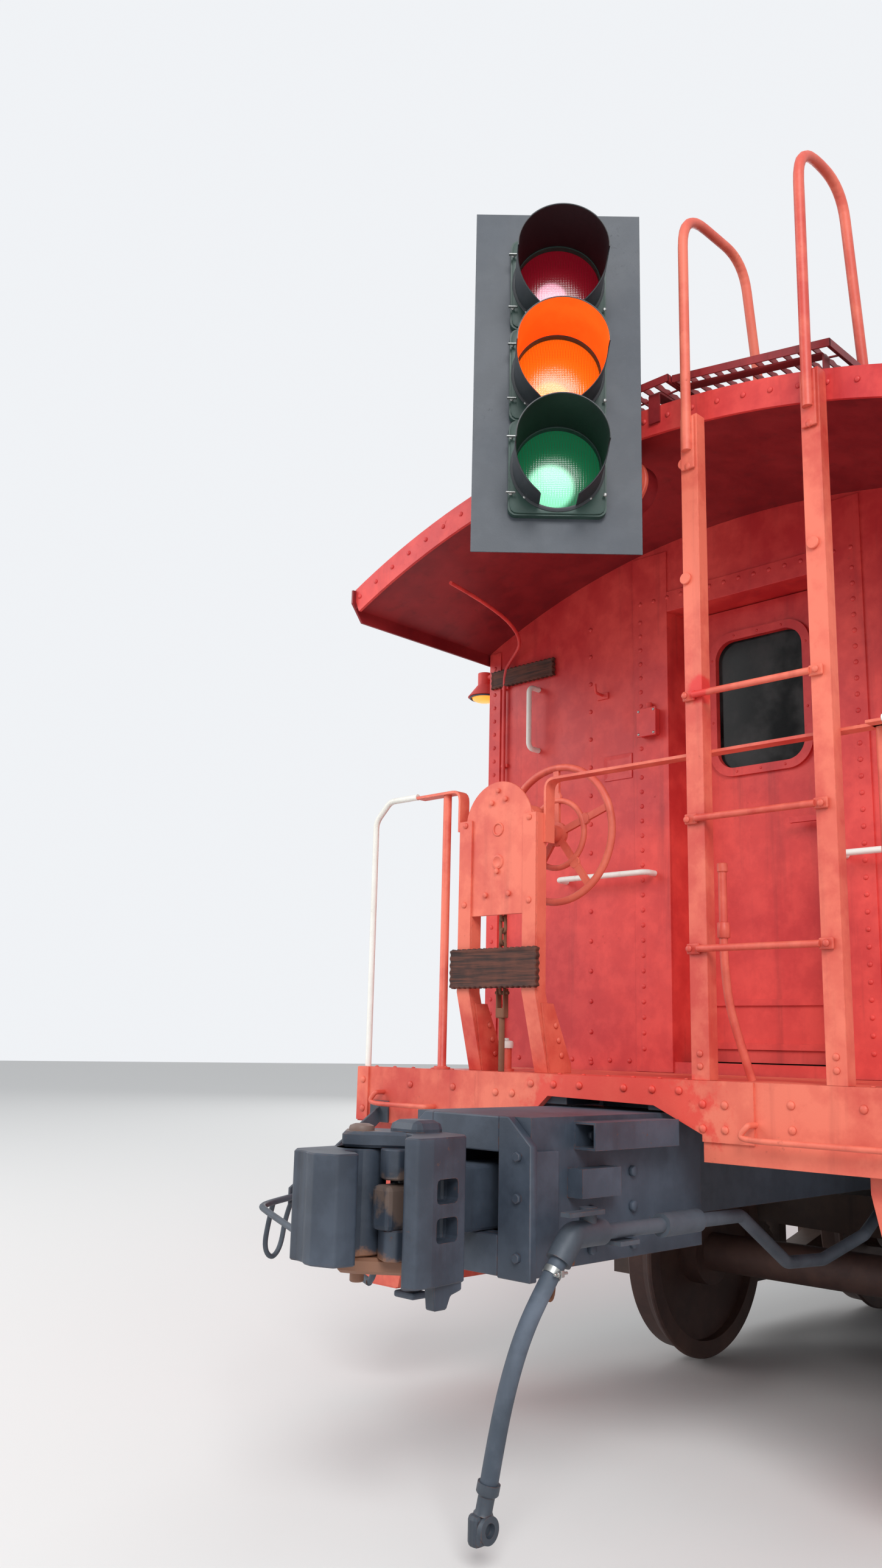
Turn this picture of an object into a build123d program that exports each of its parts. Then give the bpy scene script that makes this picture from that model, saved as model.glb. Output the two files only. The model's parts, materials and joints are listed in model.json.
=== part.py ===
"""Riveted steel cupola caboose, with a road traffic signal fixed to one end.

Millimetres. +X runs along the car, +Z is up, and z = 0 is the lowest point of
the wheel flanges. The end that carries the hand brake and the signal is the -X
end, called the B end. Each end piece is laid out there, by its distance from
the outer face of the end sill, and the A end gets the same piece turned half
round about Z.
"""

import math
import os

from build123d import *

os.makedirs("parts", exist_ok=True)

# Fits
SEAT = 0.3
GLASS_GAP = 0.4
BEARING_GAP = 0.5

# Car body
SILL_LENGTH = 10970.0
PLATFORM_DEPTH = 930.0
BODY_WIDTH = 2750.0
WALL = 60.0
FRAME_TOP = 1212.0
DECK_PLATE = 8.0
FLOOR_TOP = 1263.0
ROOF_RADIUS = 3310.0
ROOF_PEAK = 3555.0
ROOF_DEPTH = 75.0
ROOF_SETBACK = 60.0
EAVE_SKIRT = 10.0
EAVE_LOW = 3115.0

# Wheels and trucks
RAIL_Z = 25.0
TREAD_DIA = 838.0
FLANGE_HEIGHT = 25.0
BACK_TO_BACK = 1348.0
RIM_WIDTH = 140.0
AXLE_DIA = 160.0
JOURNAL_DIA = 127.0
JOURNAL_CENTRES = 1930.0
JOURNAL_LENGTH = 215.0
WHEELBASE = 1676.0
TRUCK_INSET = 2490.0
CENTRE_PLATE_Z = 700.0
CENTRE_PLATE_DIA = 330.0

# Underframe
CENTRE_SILL_WIDTH = 330.0
CENTRE_SILL_LOW = 790.0
SIDE_SILL_LOW = 1000.0
SIDE_SILL_WIDTH = 70.0
END_SILL_TOP = 1220.0
END_SILL_HALF = 1190.0
END_SILL_PLATE = 20.0
END_SILL_LEFT_LOW = 1014.0
END_SILL_RIGHT_LOW = 980.0

# Draft box and coupler
DRAFT_OUT = 620.0
DRAFT_IN = 220.0
DRAFT_HALF = 225.0
DRAFT_LOW = 705.0
DRAFT_HIGH = 1115.0
DRAFT_PLATE = 30.0
COUPLER_Z = 888.0
COUPLER_PIVOT = 370.0
COUPLER_PIN_DIA = 70.0
SHANK_WIDTH = 130.0
SHANK_HEIGHT = 180.0
KNUCKLE_HEIGHT = 277.0
KNUCKLE_PIN_OUT = 950.0
KNUCKLE_PIN_SIDE = 110.0
KNUCKLE_PIN_DIA = 41.0
KNUCKLE_HUB = 72.0
KNUCKLE_GAP = 3.0
LUG = 40.0

# Doorway and door
DOOR_OPENING = 706.0
DOOR_HEAD = 3150.0
DOOR_THICK = 45.0
DOOR_SETBACK = 140.0
DOOR_GAP = 5.0
DOOR_WINDOW_WIDTH = 400.0
DOOR_WINDOW_LOW = 2455.0
DOOR_WINDOW_HIGH = 3005.0

# Side windows and cupola
WINDOW_WIDTH = 620.0
WINDOW_LOW = 2120.0
WINDOW_HIGH = 2830.0
WINDOW_RADIUS = 60.0
WINDOW_FRAME = 55.0
WINDOW_PROUD = 16.0
GLASS = 6.0
CUPOLA_LENGTH = 2500.0
CUPOLA_WIDTH = 2300.0
CUPOLA_EAVE = 4230.0
CUPOLA_PEAK = 4430.0
CUPOLA_OVERHANG = 70.0
CUPOLA_WINDOW_LOW = 3560.0
CUPOLA_WINDOW_HIGH = 4120.0

# Ladder, railing and hand brake at each end
LADDER_LEFT = -342.0
LADDER_RIGHT = -856.0
LADDER_TOP = 3435.0
LADDER_ANGLE = 65.0
LADDER_STEEL = 8.0
RUNG_DIA = 22.0
RUNG_HEIGHTS = (1620.0, 2033.0, 2441.0)
LOST_RUNG_HEIGHTS = (2849.0, 3262.0)
LOOP_DIA = 36.0
LOOP_TOP = 4190.0
LOOP_BEND = 90.0
LOOP_LEAN = 270.0
LOOP_RISE = 60.0
LOOP_FOOT = 24.0
LOOP_FOOT_DIA = 76.0
RAIL_TOP = 2260.0
RAIL_BAR = 50.0
RAIL_STEEL = 10.0
POST_DIA = 32.0
GRAB_DIA = 24.0
BRAKE_LEFT = 677.0
BRAKE_RIGHT = 300.0
BRAKE_TOP = 2271.0
BRAKE_WHEEL_DIA = 540.0
BRAKE_WHEEL_Z = 2095.0
BRAKE_WHEEL_SIDE = 400.0

# Brake pipe and air hose
PIPE_DIA = 42.0
PIPE_SIDE = -330.0
HOSE_DIA = 48.0

# Traffic signal
SIGNAL_SECTION = 356.0
SIGNAL_WIDTH = 343.0
SIGNAL_DEPTH = 150.0
SIGNAL_LENS = 300.0
BACKPLATE_WIDTH = 597.0
BACKPLATE_HEIGHT = 1321.0
SIGNAL_TURN = 44.0

# Worked out from the sizes above
HALF = SILL_LENGTH / 2
WALL_OUT = HALF - PLATFORM_DEPTH
WALL_IN = WALL_OUT - WALL
BODY_HALF = BODY_WIDTH / 2
AXLE_Z = RAIL_Z + TREAD_DIA / 2
ROOF_CENTRE = ROOF_PEAK - ROOF_RADIUS
ROOF_INNER = ROOF_RADIUS - ROOF_DEPTH
ROOF_HALF = HALF - ROOF_SETBACK
ROOF_EDGE = BODY_HALF + EAVE_SKIRT
TRUCK_X = HALF - TRUCK_INSET
ENDS = (("b", 0.0), ("a", 180.0))


def arc_height(radius, centre_z, y):
    """Height of a roof arc at distance y from the car's centreline."""
    return centre_z + math.sqrt(radius**2 - y**2)


def bent_bar(points, diameter, radius):
    """Round bar along straight runs with rounded corners."""
    with BuildPart() as bar:
        with BuildLine():
            path = FilletPolyline(*points, radius=radius)
        with BuildSketch(Plane(origin=path @ 0, z_dir=path % 0)):
            Circle(diameter / 2)
        sweep()
    return bar.part


def keep(piece, label, turn=0.0):
    """Turn a finished piece about Z, label it and write it."""
    placed = piece.rotate(Axis.Z, turn) if turn else piece
    placed.label = label
    export_step(placed, f"parts/{label}.step")


# Wheelsets: an axle and its two wheels are one body
WHEEL_BACK = BACK_TO_BACK / 2
WHEEL_FACE = WHEEL_BACK + RIM_WIDTH
TREAD_R = TREAD_DIA / 2
RIM_INNER_R = TREAD_R - 47
HUB_R = 140.0
HUB_IN = WHEEL_BACK - 24
HUB_OUT = WHEEL_FACE + 16
JOURNAL_IN = JOURNAL_CENTRES / 2 - JOURNAL_LENGTH / 2
JOURNAL_OUT = JOURNAL_CENTRES / 2 + JOURNAL_LENGTH / 2
# Half of the outline, from the middle out: radius, distance along the axle
WHEELSET_OUTLINE = (
    (AXLE_DIA / 2, HUB_IN),
    (HUB_R, HUB_IN),
    (HUB_R, WHEEL_BACK + 64),
    (RIM_INNER_R, WHEEL_BACK + 38),
    (RIM_INNER_R, WHEEL_BACK),
    (TREAD_R + FLANGE_HEIGHT - 6, WHEEL_BACK),
    (TREAD_R + FLANGE_HEIGHT, WHEEL_BACK + 8),
    (TREAD_R + FLANGE_HEIGHT, WHEEL_BACK + 16),
    (TREAD_R + 12, WHEEL_BACK + 31),
    (TREAD_R, WHEEL_BACK + 58),
    (TREAD_R - 5, WHEEL_FACE - 8),
    (TREAD_R - 12, WHEEL_FACE),
    (RIM_INNER_R, WHEEL_FACE),
    (RIM_INNER_R, WHEEL_BACK + 66),
    (HUB_R, WHEEL_BACK + 94),
    (HUB_R, HUB_OUT),
    (AXLE_DIA / 2, HUB_OUT),
    (JOURNAL_DIA / 2, JOURNAL_IN),
    (JOURNAL_DIA / 2, JOURNAL_OUT),
)
WHEELSETS = (
    ("wheelset_b_outer", -TRUCK_X - WHEELBASE / 2),
    ("wheelset_b_inner", -TRUCK_X + WHEELBASE / 2),
    ("wheelset_a_inner", TRUCK_X - WHEELBASE / 2),
    ("wheelset_a_outer", TRUCK_X + WHEELBASE / 2),
)
for label, axle_x in WHEELSETS:
    with BuildPart() as wheelset:
        with BuildSketch(Plane(origin=(axle_x, 0, AXLE_Z))):
            with BuildLine():
                far = [(radius, -along) for radius, along in reversed(WHEELSET_OUTLINE)]
                Polyline(
                    (0, -JOURNAL_OUT), *far, *WHEELSET_OUTLINE, (0, JOURNAL_OUT), close=True
                )
            make_face()
        revolve(axis=Axis((axle_x, 0, AXLE_Z), (0, 1, 0)))
    keep(wheelset.part, label)

# Truck side frames, bolster and springs
FRAME_SIDE = JOURNAL_CENTRES / 2
FRAME_THICK = 130.0
BOX_WIDTH = 250.0
BOX_HEIGHT = 280.0
BOX_IN = JOURNAL_IN + 3
BOX_OUT = JOURNAL_OUT + 28
HALF_BASE = WHEELBASE / 2
BOLSTER_HALF = 150.0
BOLSTER_LOW = 500.0
BOLSTER_FLAT = 800.0
COLUMN_IN = BOLSTER_HALF + 12
FRAME_TOP_Z = 745.0
FRAME_LOW_Z = 200.0
SPRING_SEAT_Z = 262.0
# Half of the side frame's outline: distance from the truck's middle, height
FRAME_OUTLINE = (
    (0, FRAME_TOP_Z),
    (290, FRAME_TOP_Z),
    (HALF_BASE - BOX_WIDTH / 2 - 60, AXLE_Z + 190),
    (HALF_BASE + BOX_WIDTH / 2 - 30, AXLE_Z + 150),
    (HALF_BASE + BOX_WIDTH / 2 - 30, AXLE_Z - 100),
    (HALF_BASE - BOX_WIDTH / 2 + 10, AXLE_Z - 120),
    (330, FRAME_LOW_Z),
    (0, FRAME_LOW_Z),
)
# The gap beside the column, between the frame's upper and lower members
FRAME_GAP = (
    (COLUMN_IN + 70, FRAME_TOP_Z - 75),
    (HALF_BASE - BOX_WIDTH / 2 - 70, AXLE_Z + 110),
    (HALF_BASE - BOX_WIDTH / 2 - 30, AXLE_Z + 40),
    (HALF_BASE - BOX_WIDTH / 2 - 50, AXLE_Z - 60),
    (COLUMN_IN + 70, FRAME_LOW_Z + 78),
)
TRUCKS = (("b", -TRUCK_X), ("a", TRUCK_X))
for end, truck_x in TRUCKS:
    with BuildPart() as truck_frame:
        for side in (-1, 1):
            start = side * FRAME_SIDE - FRAME_THICK / 2
            with BuildSketch(Plane.XZ.offset(-start)):
                with BuildLine():
                    near = [(truck_x + along, up) for along, up in FRAME_OUTLINE]
                    far = [(truck_x - along, up) for along, up in reversed(FRAME_OUTLINE[1:-1])]
                    Polyline(*near, *far, close=True)
                make_face()
                for way in (-1, 1):
                    with BuildLine():
                        Polyline(*[(truck_x + way * along, up) for along, up in FRAME_GAP], close=True)
                    make_face(mode=Mode.SUBTRACT)
                with Locations((truck_x, (SPRING_SEAT_Z + FRAME_TOP_Z - 75) / 2)):
                    Rectangle(2 * COLUMN_IN, FRAME_TOP_Z - 75 - SPRING_SEAT_Z, mode=Mode.SUBTRACT)
            extrude(amount=-FRAME_THICK)
            box_middle = side * (BOX_IN + BOX_OUT) / 2
            for way in (-1, 1):
                axle_x = truck_x + way * HALF_BASE
                with Locations((axle_x, box_middle, AXLE_Z + 10)):
                    Box(BOX_WIDTH, BOX_OUT - BOX_IN, BOX_HEIGHT)
                bore_plane = Plane(origin=(axle_x, side * BOX_IN, AXLE_Z), z_dir=(0, side, 0))
                with BuildSketch(bore_plane):
                    Circle(JOURNAL_DIA / 2 + BEARING_GAP)
                extrude(amount=JOURNAL_OUT - BOX_IN + 4, mode=Mode.SUBTRACT)
    keep(truck_frame.part, f"truck_frame_{end}")

    with BuildPart() as bolster:
        with BuildSketch(Plane.YZ.offset(truck_x - BOLSTER_HALF)):
            with BuildLine():
                reach = FRAME_SIDE + FRAME_THICK / 2 + 20
                Polyline(
                    (-reach, BOLSTER_LOW),
                    (-BOLSTER_FLAT, BOLSTER_LOW),
                    (-380, BOLSTER_LOW - 10),
                    (380, BOLSTER_LOW - 10),
                    (BOLSTER_FLAT, BOLSTER_LOW),
                    (reach, BOLSTER_LOW),
                    (reach, BOLSTER_LOW + 130),
                    (300, CENTRE_PLATE_Z - 30),
                    (-300, CENTRE_PLATE_Z - 30),
                    (-reach, BOLSTER_LOW + 130),
                    close=True,
                )
            make_face()
        extrude(amount=2 * BOLSTER_HALF)
        with BuildSketch(Plane(origin=(truck_x, 0, CENTRE_PLATE_Z - 30))):
            Circle(CENTRE_PLATE_DIA / 2 + 25)
        extrude(amount=30 - SEAT)
    keep(bolster.part, f"truck_bolster_{end}")

    with BuildPart() as springs:
        spring_low = SPRING_SEAT_Z + SEAT
        spring_high = BOLSTER_LOW - SEAT
        for side in (-1, 1):
            with BuildSketch(Plane.XZ.offset(-side * FRAME_SIDE + 55)):
                with Locations((truck_x, (spring_low + spring_high) / 2)):
                    Rectangle(2 * COLUMN_IN - 60, spring_high - spring_low)
            extrude(amount=-110)
    keep(springs.part, f"truck_springs_{end}")

# Underframe: the centre sill, and what is riveted to its sides
with BuildPart() as underframe:
    with BuildSketch(Plane.YZ.offset(-HALF + DRAFT_IN)):
        with Locations((0, (CENTRE_SILL_LOW + FRAME_TOP) / 2)):
            Rectangle(CENTRE_SILL_WIDTH, FRAME_TOP - CENTRE_SILL_LOW)
    extrude(amount=2 * (HALF - DRAFT_IN))
keep(underframe.part, "underframe")

SILL_FACE = CENTRE_SILL_WIDTH / 2 + SEAT
SIDE_SILL_FACE = BODY_HALF - WALL / 2 - SIDE_SILL_WIDTH / 2 - SEAT
BEARER_FLAT = 280.0
# Distance from the car's middle, half width along X, depth beside the centre sill
BEARERS = (
    (WALL_OUT - 90, 90, SIDE_SILL_LOW - 40),
    (TRUCK_X, 190, 760),
    (1500, 60, 860),
)
with BuildPart() as bearers:
    for side in (-1, 1):
        with BuildSketch(Plane.YZ.offset(-WALL_OUT)):
            with Locations((side * (BODY_HALF - WALL / 2), (SIDE_SILL_LOW + FRAME_TOP) / 2)):
                Rectangle(SIDE_SILL_WIDTH, FRAME_TOP - SIDE_SILL_LOW)
        extrude(amount=2 * WALL_OUT)
        for way in (-1, 1):
            for across, half_along, low in BEARERS:
                with BuildSketch(Plane.YZ.offset(way * across - half_along)):
                    with BuildLine():
                        Polyline(
                            (side * SILL_FACE, FRAME_TOP),
                            (side * SIDE_SILL_FACE, FRAME_TOP),
                            (side * SIDE_SILL_FACE, SIDE_SILL_LOW + 20),
                            (side * BEARER_FLAT, low),
                            (side * SILL_FACE, low),
                            close=True,
                        )
                    make_face()
                extrude(amount=2 * half_along)
            # Platform beams, lengthwise and across
            beam_in = WALL_OUT + SEAT
            beam_out = HALF - END_SILL_PLATE
            with Locations((way * (beam_in + beam_out) / 2, side * 640, FRAME_TOP - 70)):
                Box(beam_out - beam_in, 80, 140)
            cross_in = SILL_FACE
            cross_out = 600 - SEAT
            with Locations((way * (beam_out - 90), side * (cross_in + cross_out) / 2, FRAME_TOP - 45)):
                Box(180, cross_out - cross_in, 90)
    for truck_x in (-TRUCK_X, TRUCK_X):
        with BuildSketch(Plane(origin=(truck_x, 0, CENTRE_PLATE_Z))):
            Circle(CENTRE_PLATE_DIA / 2)
        extrude(amount=CENTRE_SILL_LOW - SEAT - CENTRE_PLATE_Z)
keep(bearers.part, "cross_bearers")

# End sills: a plate with a cut-out over the draft box, lower on the ladder side
END_SILL_OUTLINE = (
    (END_SILL_HALF, END_SILL_TOP),
    (END_SILL_HALF, END_SILL_LEFT_LOW),
    (350, END_SILL_LEFT_LOW),
    (298, 1085),
    (226, 1148),
    (-205, 1138),
    (-382, 1060),
    (-382, END_SILL_RIGHT_LOW),
    (-END_SILL_HALF, END_SILL_RIGHT_LOW),
    (-END_SILL_HALF, END_SILL_TOP),
)
SILL_OVERLAY_HALF = 560.0
SILL_OVERLAY = 8.0
for end, turn in ENDS:
    with BuildPart() as end_sill:
        with BuildSketch(Plane.YZ.offset(-HALF)):
            with BuildLine():
                Polyline(*END_SILL_OUTLINE, close=True)
            make_face()
        extrude(amount=END_SILL_PLATE - SEAT)
        with BuildSketch(Plane.YZ.offset(-HALF)) as overlay_sketch:
            with BuildLine():
                Polyline(*END_SILL_OUTLINE, close=True)
            make_face()
            with Locations((0, END_SILL_TOP)):
                Rectangle(2 * SILL_OVERLAY_HALF, 2 * (END_SILL_TOP - 1040), mode=Mode.INTERSECT)
        extrude(amount=-SILL_OVERLAY)
    keep(end_sill.part, f"end_sill_{end}", turn)

# Platform decks, notched over the corner steps
STEP_IN = 880.0
STEP_OUT = 1230.0
STEP_FRONT = 60.0
STEP_BACK = 880.0
with BuildPart() as decks:
    for way in (-1, 1):
        with BuildSketch(Plane.XY.offset(FRAME_TOP)):
            deck_middle = way * (HALF + WALL_OUT) / 2
            with Locations((deck_middle, 0)):
                Rectangle(PLATFORM_DEPTH - 2 * END_SILL_PLATE, 2 * END_SILL_HALF)
                for side in (-1, 1):
                    with Locations((0, side * (STEP_IN + STEP_OUT) / 2)):
                        Rectangle(STEP_BACK - STEP_FRONT, STEP_OUT - STEP_IN, mode=Mode.SUBTRACT)
        extrude(amount=DECK_PLATE)
keep(decks.part, "platform_decks")

# Corner steps: two hanger plates and three treads at each corner
STEP_STEEL = 8.0
TREAD = 30.0
# Tread height, distance of its inner and outer edge from the centreline
STEP_TREADS = ((430.0, 1010.0, 1230.0), (690.0, 950.0, 1180.0), (950.0, 890.0, 1130.0))
with BuildPart() as steps:
    for way in (-1, 1):
        for side in (-1, 1):
            front_x = way * (HALF - STEP_FRONT - 1 - STEP_STEEL / 2) - STEP_STEEL / 2
            back_x = way * (HALF - STEP_BACK + 1 + STEP_STEEL / 2) - STEP_STEEL / 2
            for hang_x in (front_x, back_x):
                with BuildSketch(Plane.YZ.offset(hang_x)):
                    with BuildLine():
                        Polyline(
                            (side * STEP_IN, FRAME_TOP - SEAT),
                            (side * (STEP_OUT - 60), FRAME_TOP - SEAT),
                            (side * STEP_OUT, 900),
                            (side * STEP_OUT, 420),
                            (side * (STEP_OUT - 230), 420),
                            (side * STEP_IN, 930),
                            close=True,
                        )
                    make_face()
                extrude(amount=STEP_STEEL)
            for height, inner, outer in STEP_TREADS:
                tread_x = way * (HALF - (STEP_FRONT + STEP_BACK) / 2)
                with Locations((tread_x, side * (inner + outer) / 2, height)):
                    Box(STEP_BACK - STEP_FRONT - 4, outer - inner, TREAD)
keep(steps.part, "platform_steps")

# Floor
with BuildPart() as floor:
    with Locations((0, 0, (FRAME_TOP + FLOOR_TOP) / 2)):
        Box(2 * WALL_IN - 2 * SEAT, 2 * (BODY_HALF - WALL) - 2 * SEAT, FLOOR_TOP - FRAME_TOP)
keep(floor.part, "floor")

# Side walls, with their windows cut
WINDOW_X = (-3650.0, -2350.0, -1050.0, 1050.0, 2350.0, 3650.0)
WINDOW_MIDDLE = (WINDOW_LOW + WINDOW_HIGH) / 2
WINDOW_HEIGHT = WINDOW_HIGH - WINDOW_LOW
for name, side in (("left", 1), ("right", -1)):
    with BuildPart() as side_wall:
        with BuildSketch(Plane.YZ.offset(-WALL_IN + SEAT)):
            with Locations((side * (BODY_HALF - WALL / 2), (FRAME_TOP + ROOF_PEAK) / 2)):
                Rectangle(WALL, ROOF_PEAK - FRAME_TOP)
            with Locations((0, ROOF_CENTRE)):
                Circle(ROOF_INNER - SEAT, mode=Mode.INTERSECT)
        extrude(amount=2 * (WALL_IN - SEAT))
        with BuildSketch(Plane.XZ.offset(-side * (BODY_HALF - WALL - 5))):
            for window_x in WINDOW_X:
                with Locations((window_x, WINDOW_MIDDLE)):
                    RectangleRounded(WINDOW_WIDTH, WINDOW_HEIGHT, WINDOW_RADIUS)
        extrude(amount=-side * (WALL + 10), mode=Mode.SUBTRACT)
    keep(side_wall.part, f"side_wall_{name}")

with BuildPart() as side_frames:
    for side in (-1, 1):
        with BuildSketch(Plane.XZ.offset(-side * (BODY_HALF - WALL))):
            for window_x in WINDOW_X:
                with Locations((window_x, WINDOW_MIDDLE)):
                    RectangleRounded(
                        WINDOW_WIDTH - 2 * SEAT, WINDOW_HEIGHT - 2 * SEAT, WINDOW_RADIUS - SEAT
                    )
                    RectangleRounded(
                        WINDOW_WIDTH - 2 * WINDOW_FRAME,
                        WINDOW_HEIGHT - 2 * WINDOW_FRAME,
                        WINDOW_RADIUS / 2,
                        mode=Mode.SUBTRACT,
                    )
        extrude(amount=-side * (WALL + WINDOW_PROUD))
keep(side_frames.part, "side_window_frames")

with BuildPart() as side_glass:
    for side in (-1, 1):
        with BuildSketch(Plane.XZ.offset(-side * (BODY_HALF - WALL / 2))):
            for window_x in WINDOW_X:
                with Locations((window_x, WINDOW_MIDDLE)):
                    RectangleRounded(
                        WINDOW_WIDTH - 2 * WINDOW_FRAME - 2 * GLASS_GAP,
                        WINDOW_HEIGHT - 2 * WINDOW_FRAME - 2 * GLASS_GAP,
                        WINDOW_RADIUS / 2 - GLASS_GAP,
                    )
        extrude(amount=-side * GLASS)
keep(side_glass.part, "side_window_glass")

# End walls, with a doorway whose lining reaches back to the door
LINING = 40.0
LINING_DEPTH = DOOR_SETBACK + DOOR_THICK
DOOR_HALF = DOOR_OPENING / 2
HINGE_SETBACK = 8.0
HINGE_AXIS = (-WALL_OUT + LINING_DEPTH + HINGE_SETBACK, DOOR_HALF)
HINGE_BARREL = 7.0
HINGE_PIN = 4.0
HINGE_HEIGHT = 60.0
HINGE_HEIGHTS = (1500.0, 2200.0, 2900.0)
for end, turn in ENDS:
    with BuildPart() as end_wall:
        with BuildSketch(Plane.YZ.offset(-WALL_OUT)):
            with Locations((0, (FRAME_TOP + ROOF_PEAK) / 2)):
                Rectangle(BODY_WIDTH, ROOF_PEAK - FRAME_TOP)
            with Locations((0, ROOF_CENTRE)):
                Circle(ROOF_INNER - SEAT, mode=Mode.INTERSECT)
        extrude(amount=WALL)
        with BuildSketch(Plane.YZ.offset(-WALL_OUT + WALL)):
            with Locations((0, (FLOOR_TOP + DOOR_HEAD + LINING) / 2)):
                Rectangle(DOOR_OPENING + 2 * LINING, DOOR_HEAD + LINING - FLOOR_TOP - 2 * SEAT)
        extrude(amount=LINING_DEPTH - WALL)
        with BuildSketch(Plane.YZ.offset(-WALL_OUT)):
            with Locations((0, (FLOOR_TOP + DOOR_HEAD) / 2)):
                Rectangle(DOOR_OPENING, DOOR_HEAD - FLOOR_TOP)
        extrude(amount=LINING_DEPTH, mode=Mode.SUBTRACT)
        for height in HINGE_HEIGHTS:
            with BuildSketch(Plane.XY.offset(height - HINGE_HEIGHT)):
                with Locations(HINGE_AXIS):
                    Circle(HINGE_PIN)
            extrude(amount=2 * HINGE_HEIGHT)
            for low in (height - HINGE_HEIGHT, height + HINGE_HEIGHT / 2 + SEAT):
                with BuildSketch(Plane.XY.offset(low)):
                    with Locations(HINGE_AXIS):
                        Circle(HINGE_BARREL)
                    with Locations((HINGE_AXIS[0] - HINGE_SETBACK / 2, HINGE_AXIS[1] + 16)):
                        Rectangle(HINGE_SETBACK, 32)
                extrude(amount=HINGE_HEIGHT / 2 - SEAT)
    keep(end_wall.part, f"end_wall_{end}", turn)

    # Door leaf, flush with the back of the lining so that it swings in
    door_window_middle = (DOOR_WINDOW_LOW + DOOR_WINDOW_HIGH) / 2
    door_window_height = DOOR_WINDOW_HIGH - DOOR_WINDOW_LOW
    with BuildPart() as door:
        with BuildSketch(Plane.YZ.offset(-WALL_OUT + DOOR_SETBACK)):
            with Locations((0, (FLOOR_TOP + DOOR_HEAD) / 2)):
                Rectangle(DOOR_OPENING - 2 * DOOR_GAP, DOOR_HEAD - FLOOR_TOP - 2 * DOOR_GAP)
            with Locations((0, door_window_middle)):
                RectangleRounded(DOOR_WINDOW_WIDTH, door_window_height, 80, mode=Mode.SUBTRACT)
        extrude(amount=DOOR_THICK)
        with BuildSketch(Plane.YZ.offset(-WALL_OUT + DOOR_SETBACK - 14)):
            with Locations((0, door_window_middle)):
                RectangleRounded(DOOR_WINDOW_WIDTH + 70, door_window_height + 70, 110)
                RectangleRounded(DOOR_WINDOW_WIDTH, door_window_height, 80, mode=Mode.SUBTRACT)
        extrude(amount=14)
        for height in (1500.0, 1330.0):
            with Locations((-WALL_OUT + DOOR_SETBACK - 5, 0, height)):
                Box(10, DOOR_OPENING - 90, 24)
        # Lever handle on its plate
        with Locations((-WALL_OUT + DOOR_SETBACK - 4, -DOOR_HALF + 90, 2180)):
            Box(8, 60, 200)
        with BuildSketch(Plane.YZ.offset(-WALL_OUT + DOOR_SETBACK - 4)):
            with Locations((-DOOR_HALF + 90, 2200)):
                Circle(11)
        extrude(amount=-50)
        with Locations((-WALL_OUT + DOOR_SETBACK - 50, -DOOR_HALF + 145, 2200)):
            Box(16, 130, 22)
        for height in HINGE_HEIGHTS:
            with BuildSketch(Plane.XY.offset(height - HINGE_HEIGHT / 2)):
                with Locations((HINGE_AXIS[0] - HINGE_SETBACK + 3, HINGE_AXIS[1] - 24)):
                    Rectangle(6, 48)
                with Locations(HINGE_AXIS):
                    Circle(HINGE_BARREL)
                    Circle(HINGE_PIN + BEARING_GAP, mode=Mode.SUBTRACT)
            extrude(amount=HINGE_HEIGHT)
    keep(door.part, f"door_{end}", turn)

    with BuildPart() as door_glass:
        with BuildSketch(Plane.YZ.offset(-WALL_OUT + DOOR_SETBACK + 12)):
            with Locations((0, door_window_middle)):
                RectangleRounded(
                    DOOR_WINDOW_WIDTH - 2 * GLASS_GAP, door_window_height - 2 * GLASS_GAP, 80 - GLASS_GAP
                )
        extrude(amount=GLASS)
    keep(door_glass.part, f"door_glass_{end}", turn)

# Roof: a curved shell over body and platforms, open under the cupola
with BuildPart() as roof:
    with BuildSketch(Plane.YZ.offset(-ROOF_HALF)):
        with Locations((0, ROOF_CENTRE)):
            Circle(ROOF_RADIUS)
            Circle(ROOF_INNER, mode=Mode.SUBTRACT)
        with Locations((0, ROOF_PEAK - 200)):
            Rectangle(2 * ROOF_EDGE, 800, mode=Mode.INTERSECT)
    extrude(amount=2 * ROOF_HALF)
    with Locations((0, 0, ROOF_PEAK)):
        Box(
            CUPOLA_LENGTH - 2 * WALL, CUPOLA_WIDTH - 2 * WALL, 900, mode=Mode.SUBTRACT
        )
    eave_high = arc_height(ROOF_RADIUS, ROOF_CENTRE, ROOF_EDGE)
    for side in (-1, 1):
        with BuildSketch(Plane.XZ.offset(-side * ROOF_EDGE)):
            with BuildLine():
                Polyline(
                    (-ROOF_HALF - 20, eave_high),
                    (-ROOF_HALF - 20, eave_high - 60),
                    (-ROOF_HALF + 40, EAVE_LOW),
                    (ROOF_HALF - 40, EAVE_LOW),
                    (ROOF_HALF + 20, eave_high - 60),
                    (ROOF_HALF + 20, eave_high),
                    close=True,
                )
            make_face()
        extrude(amount=-side * EAVE_SKIRT)
keep(roof.part, "roof")

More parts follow.
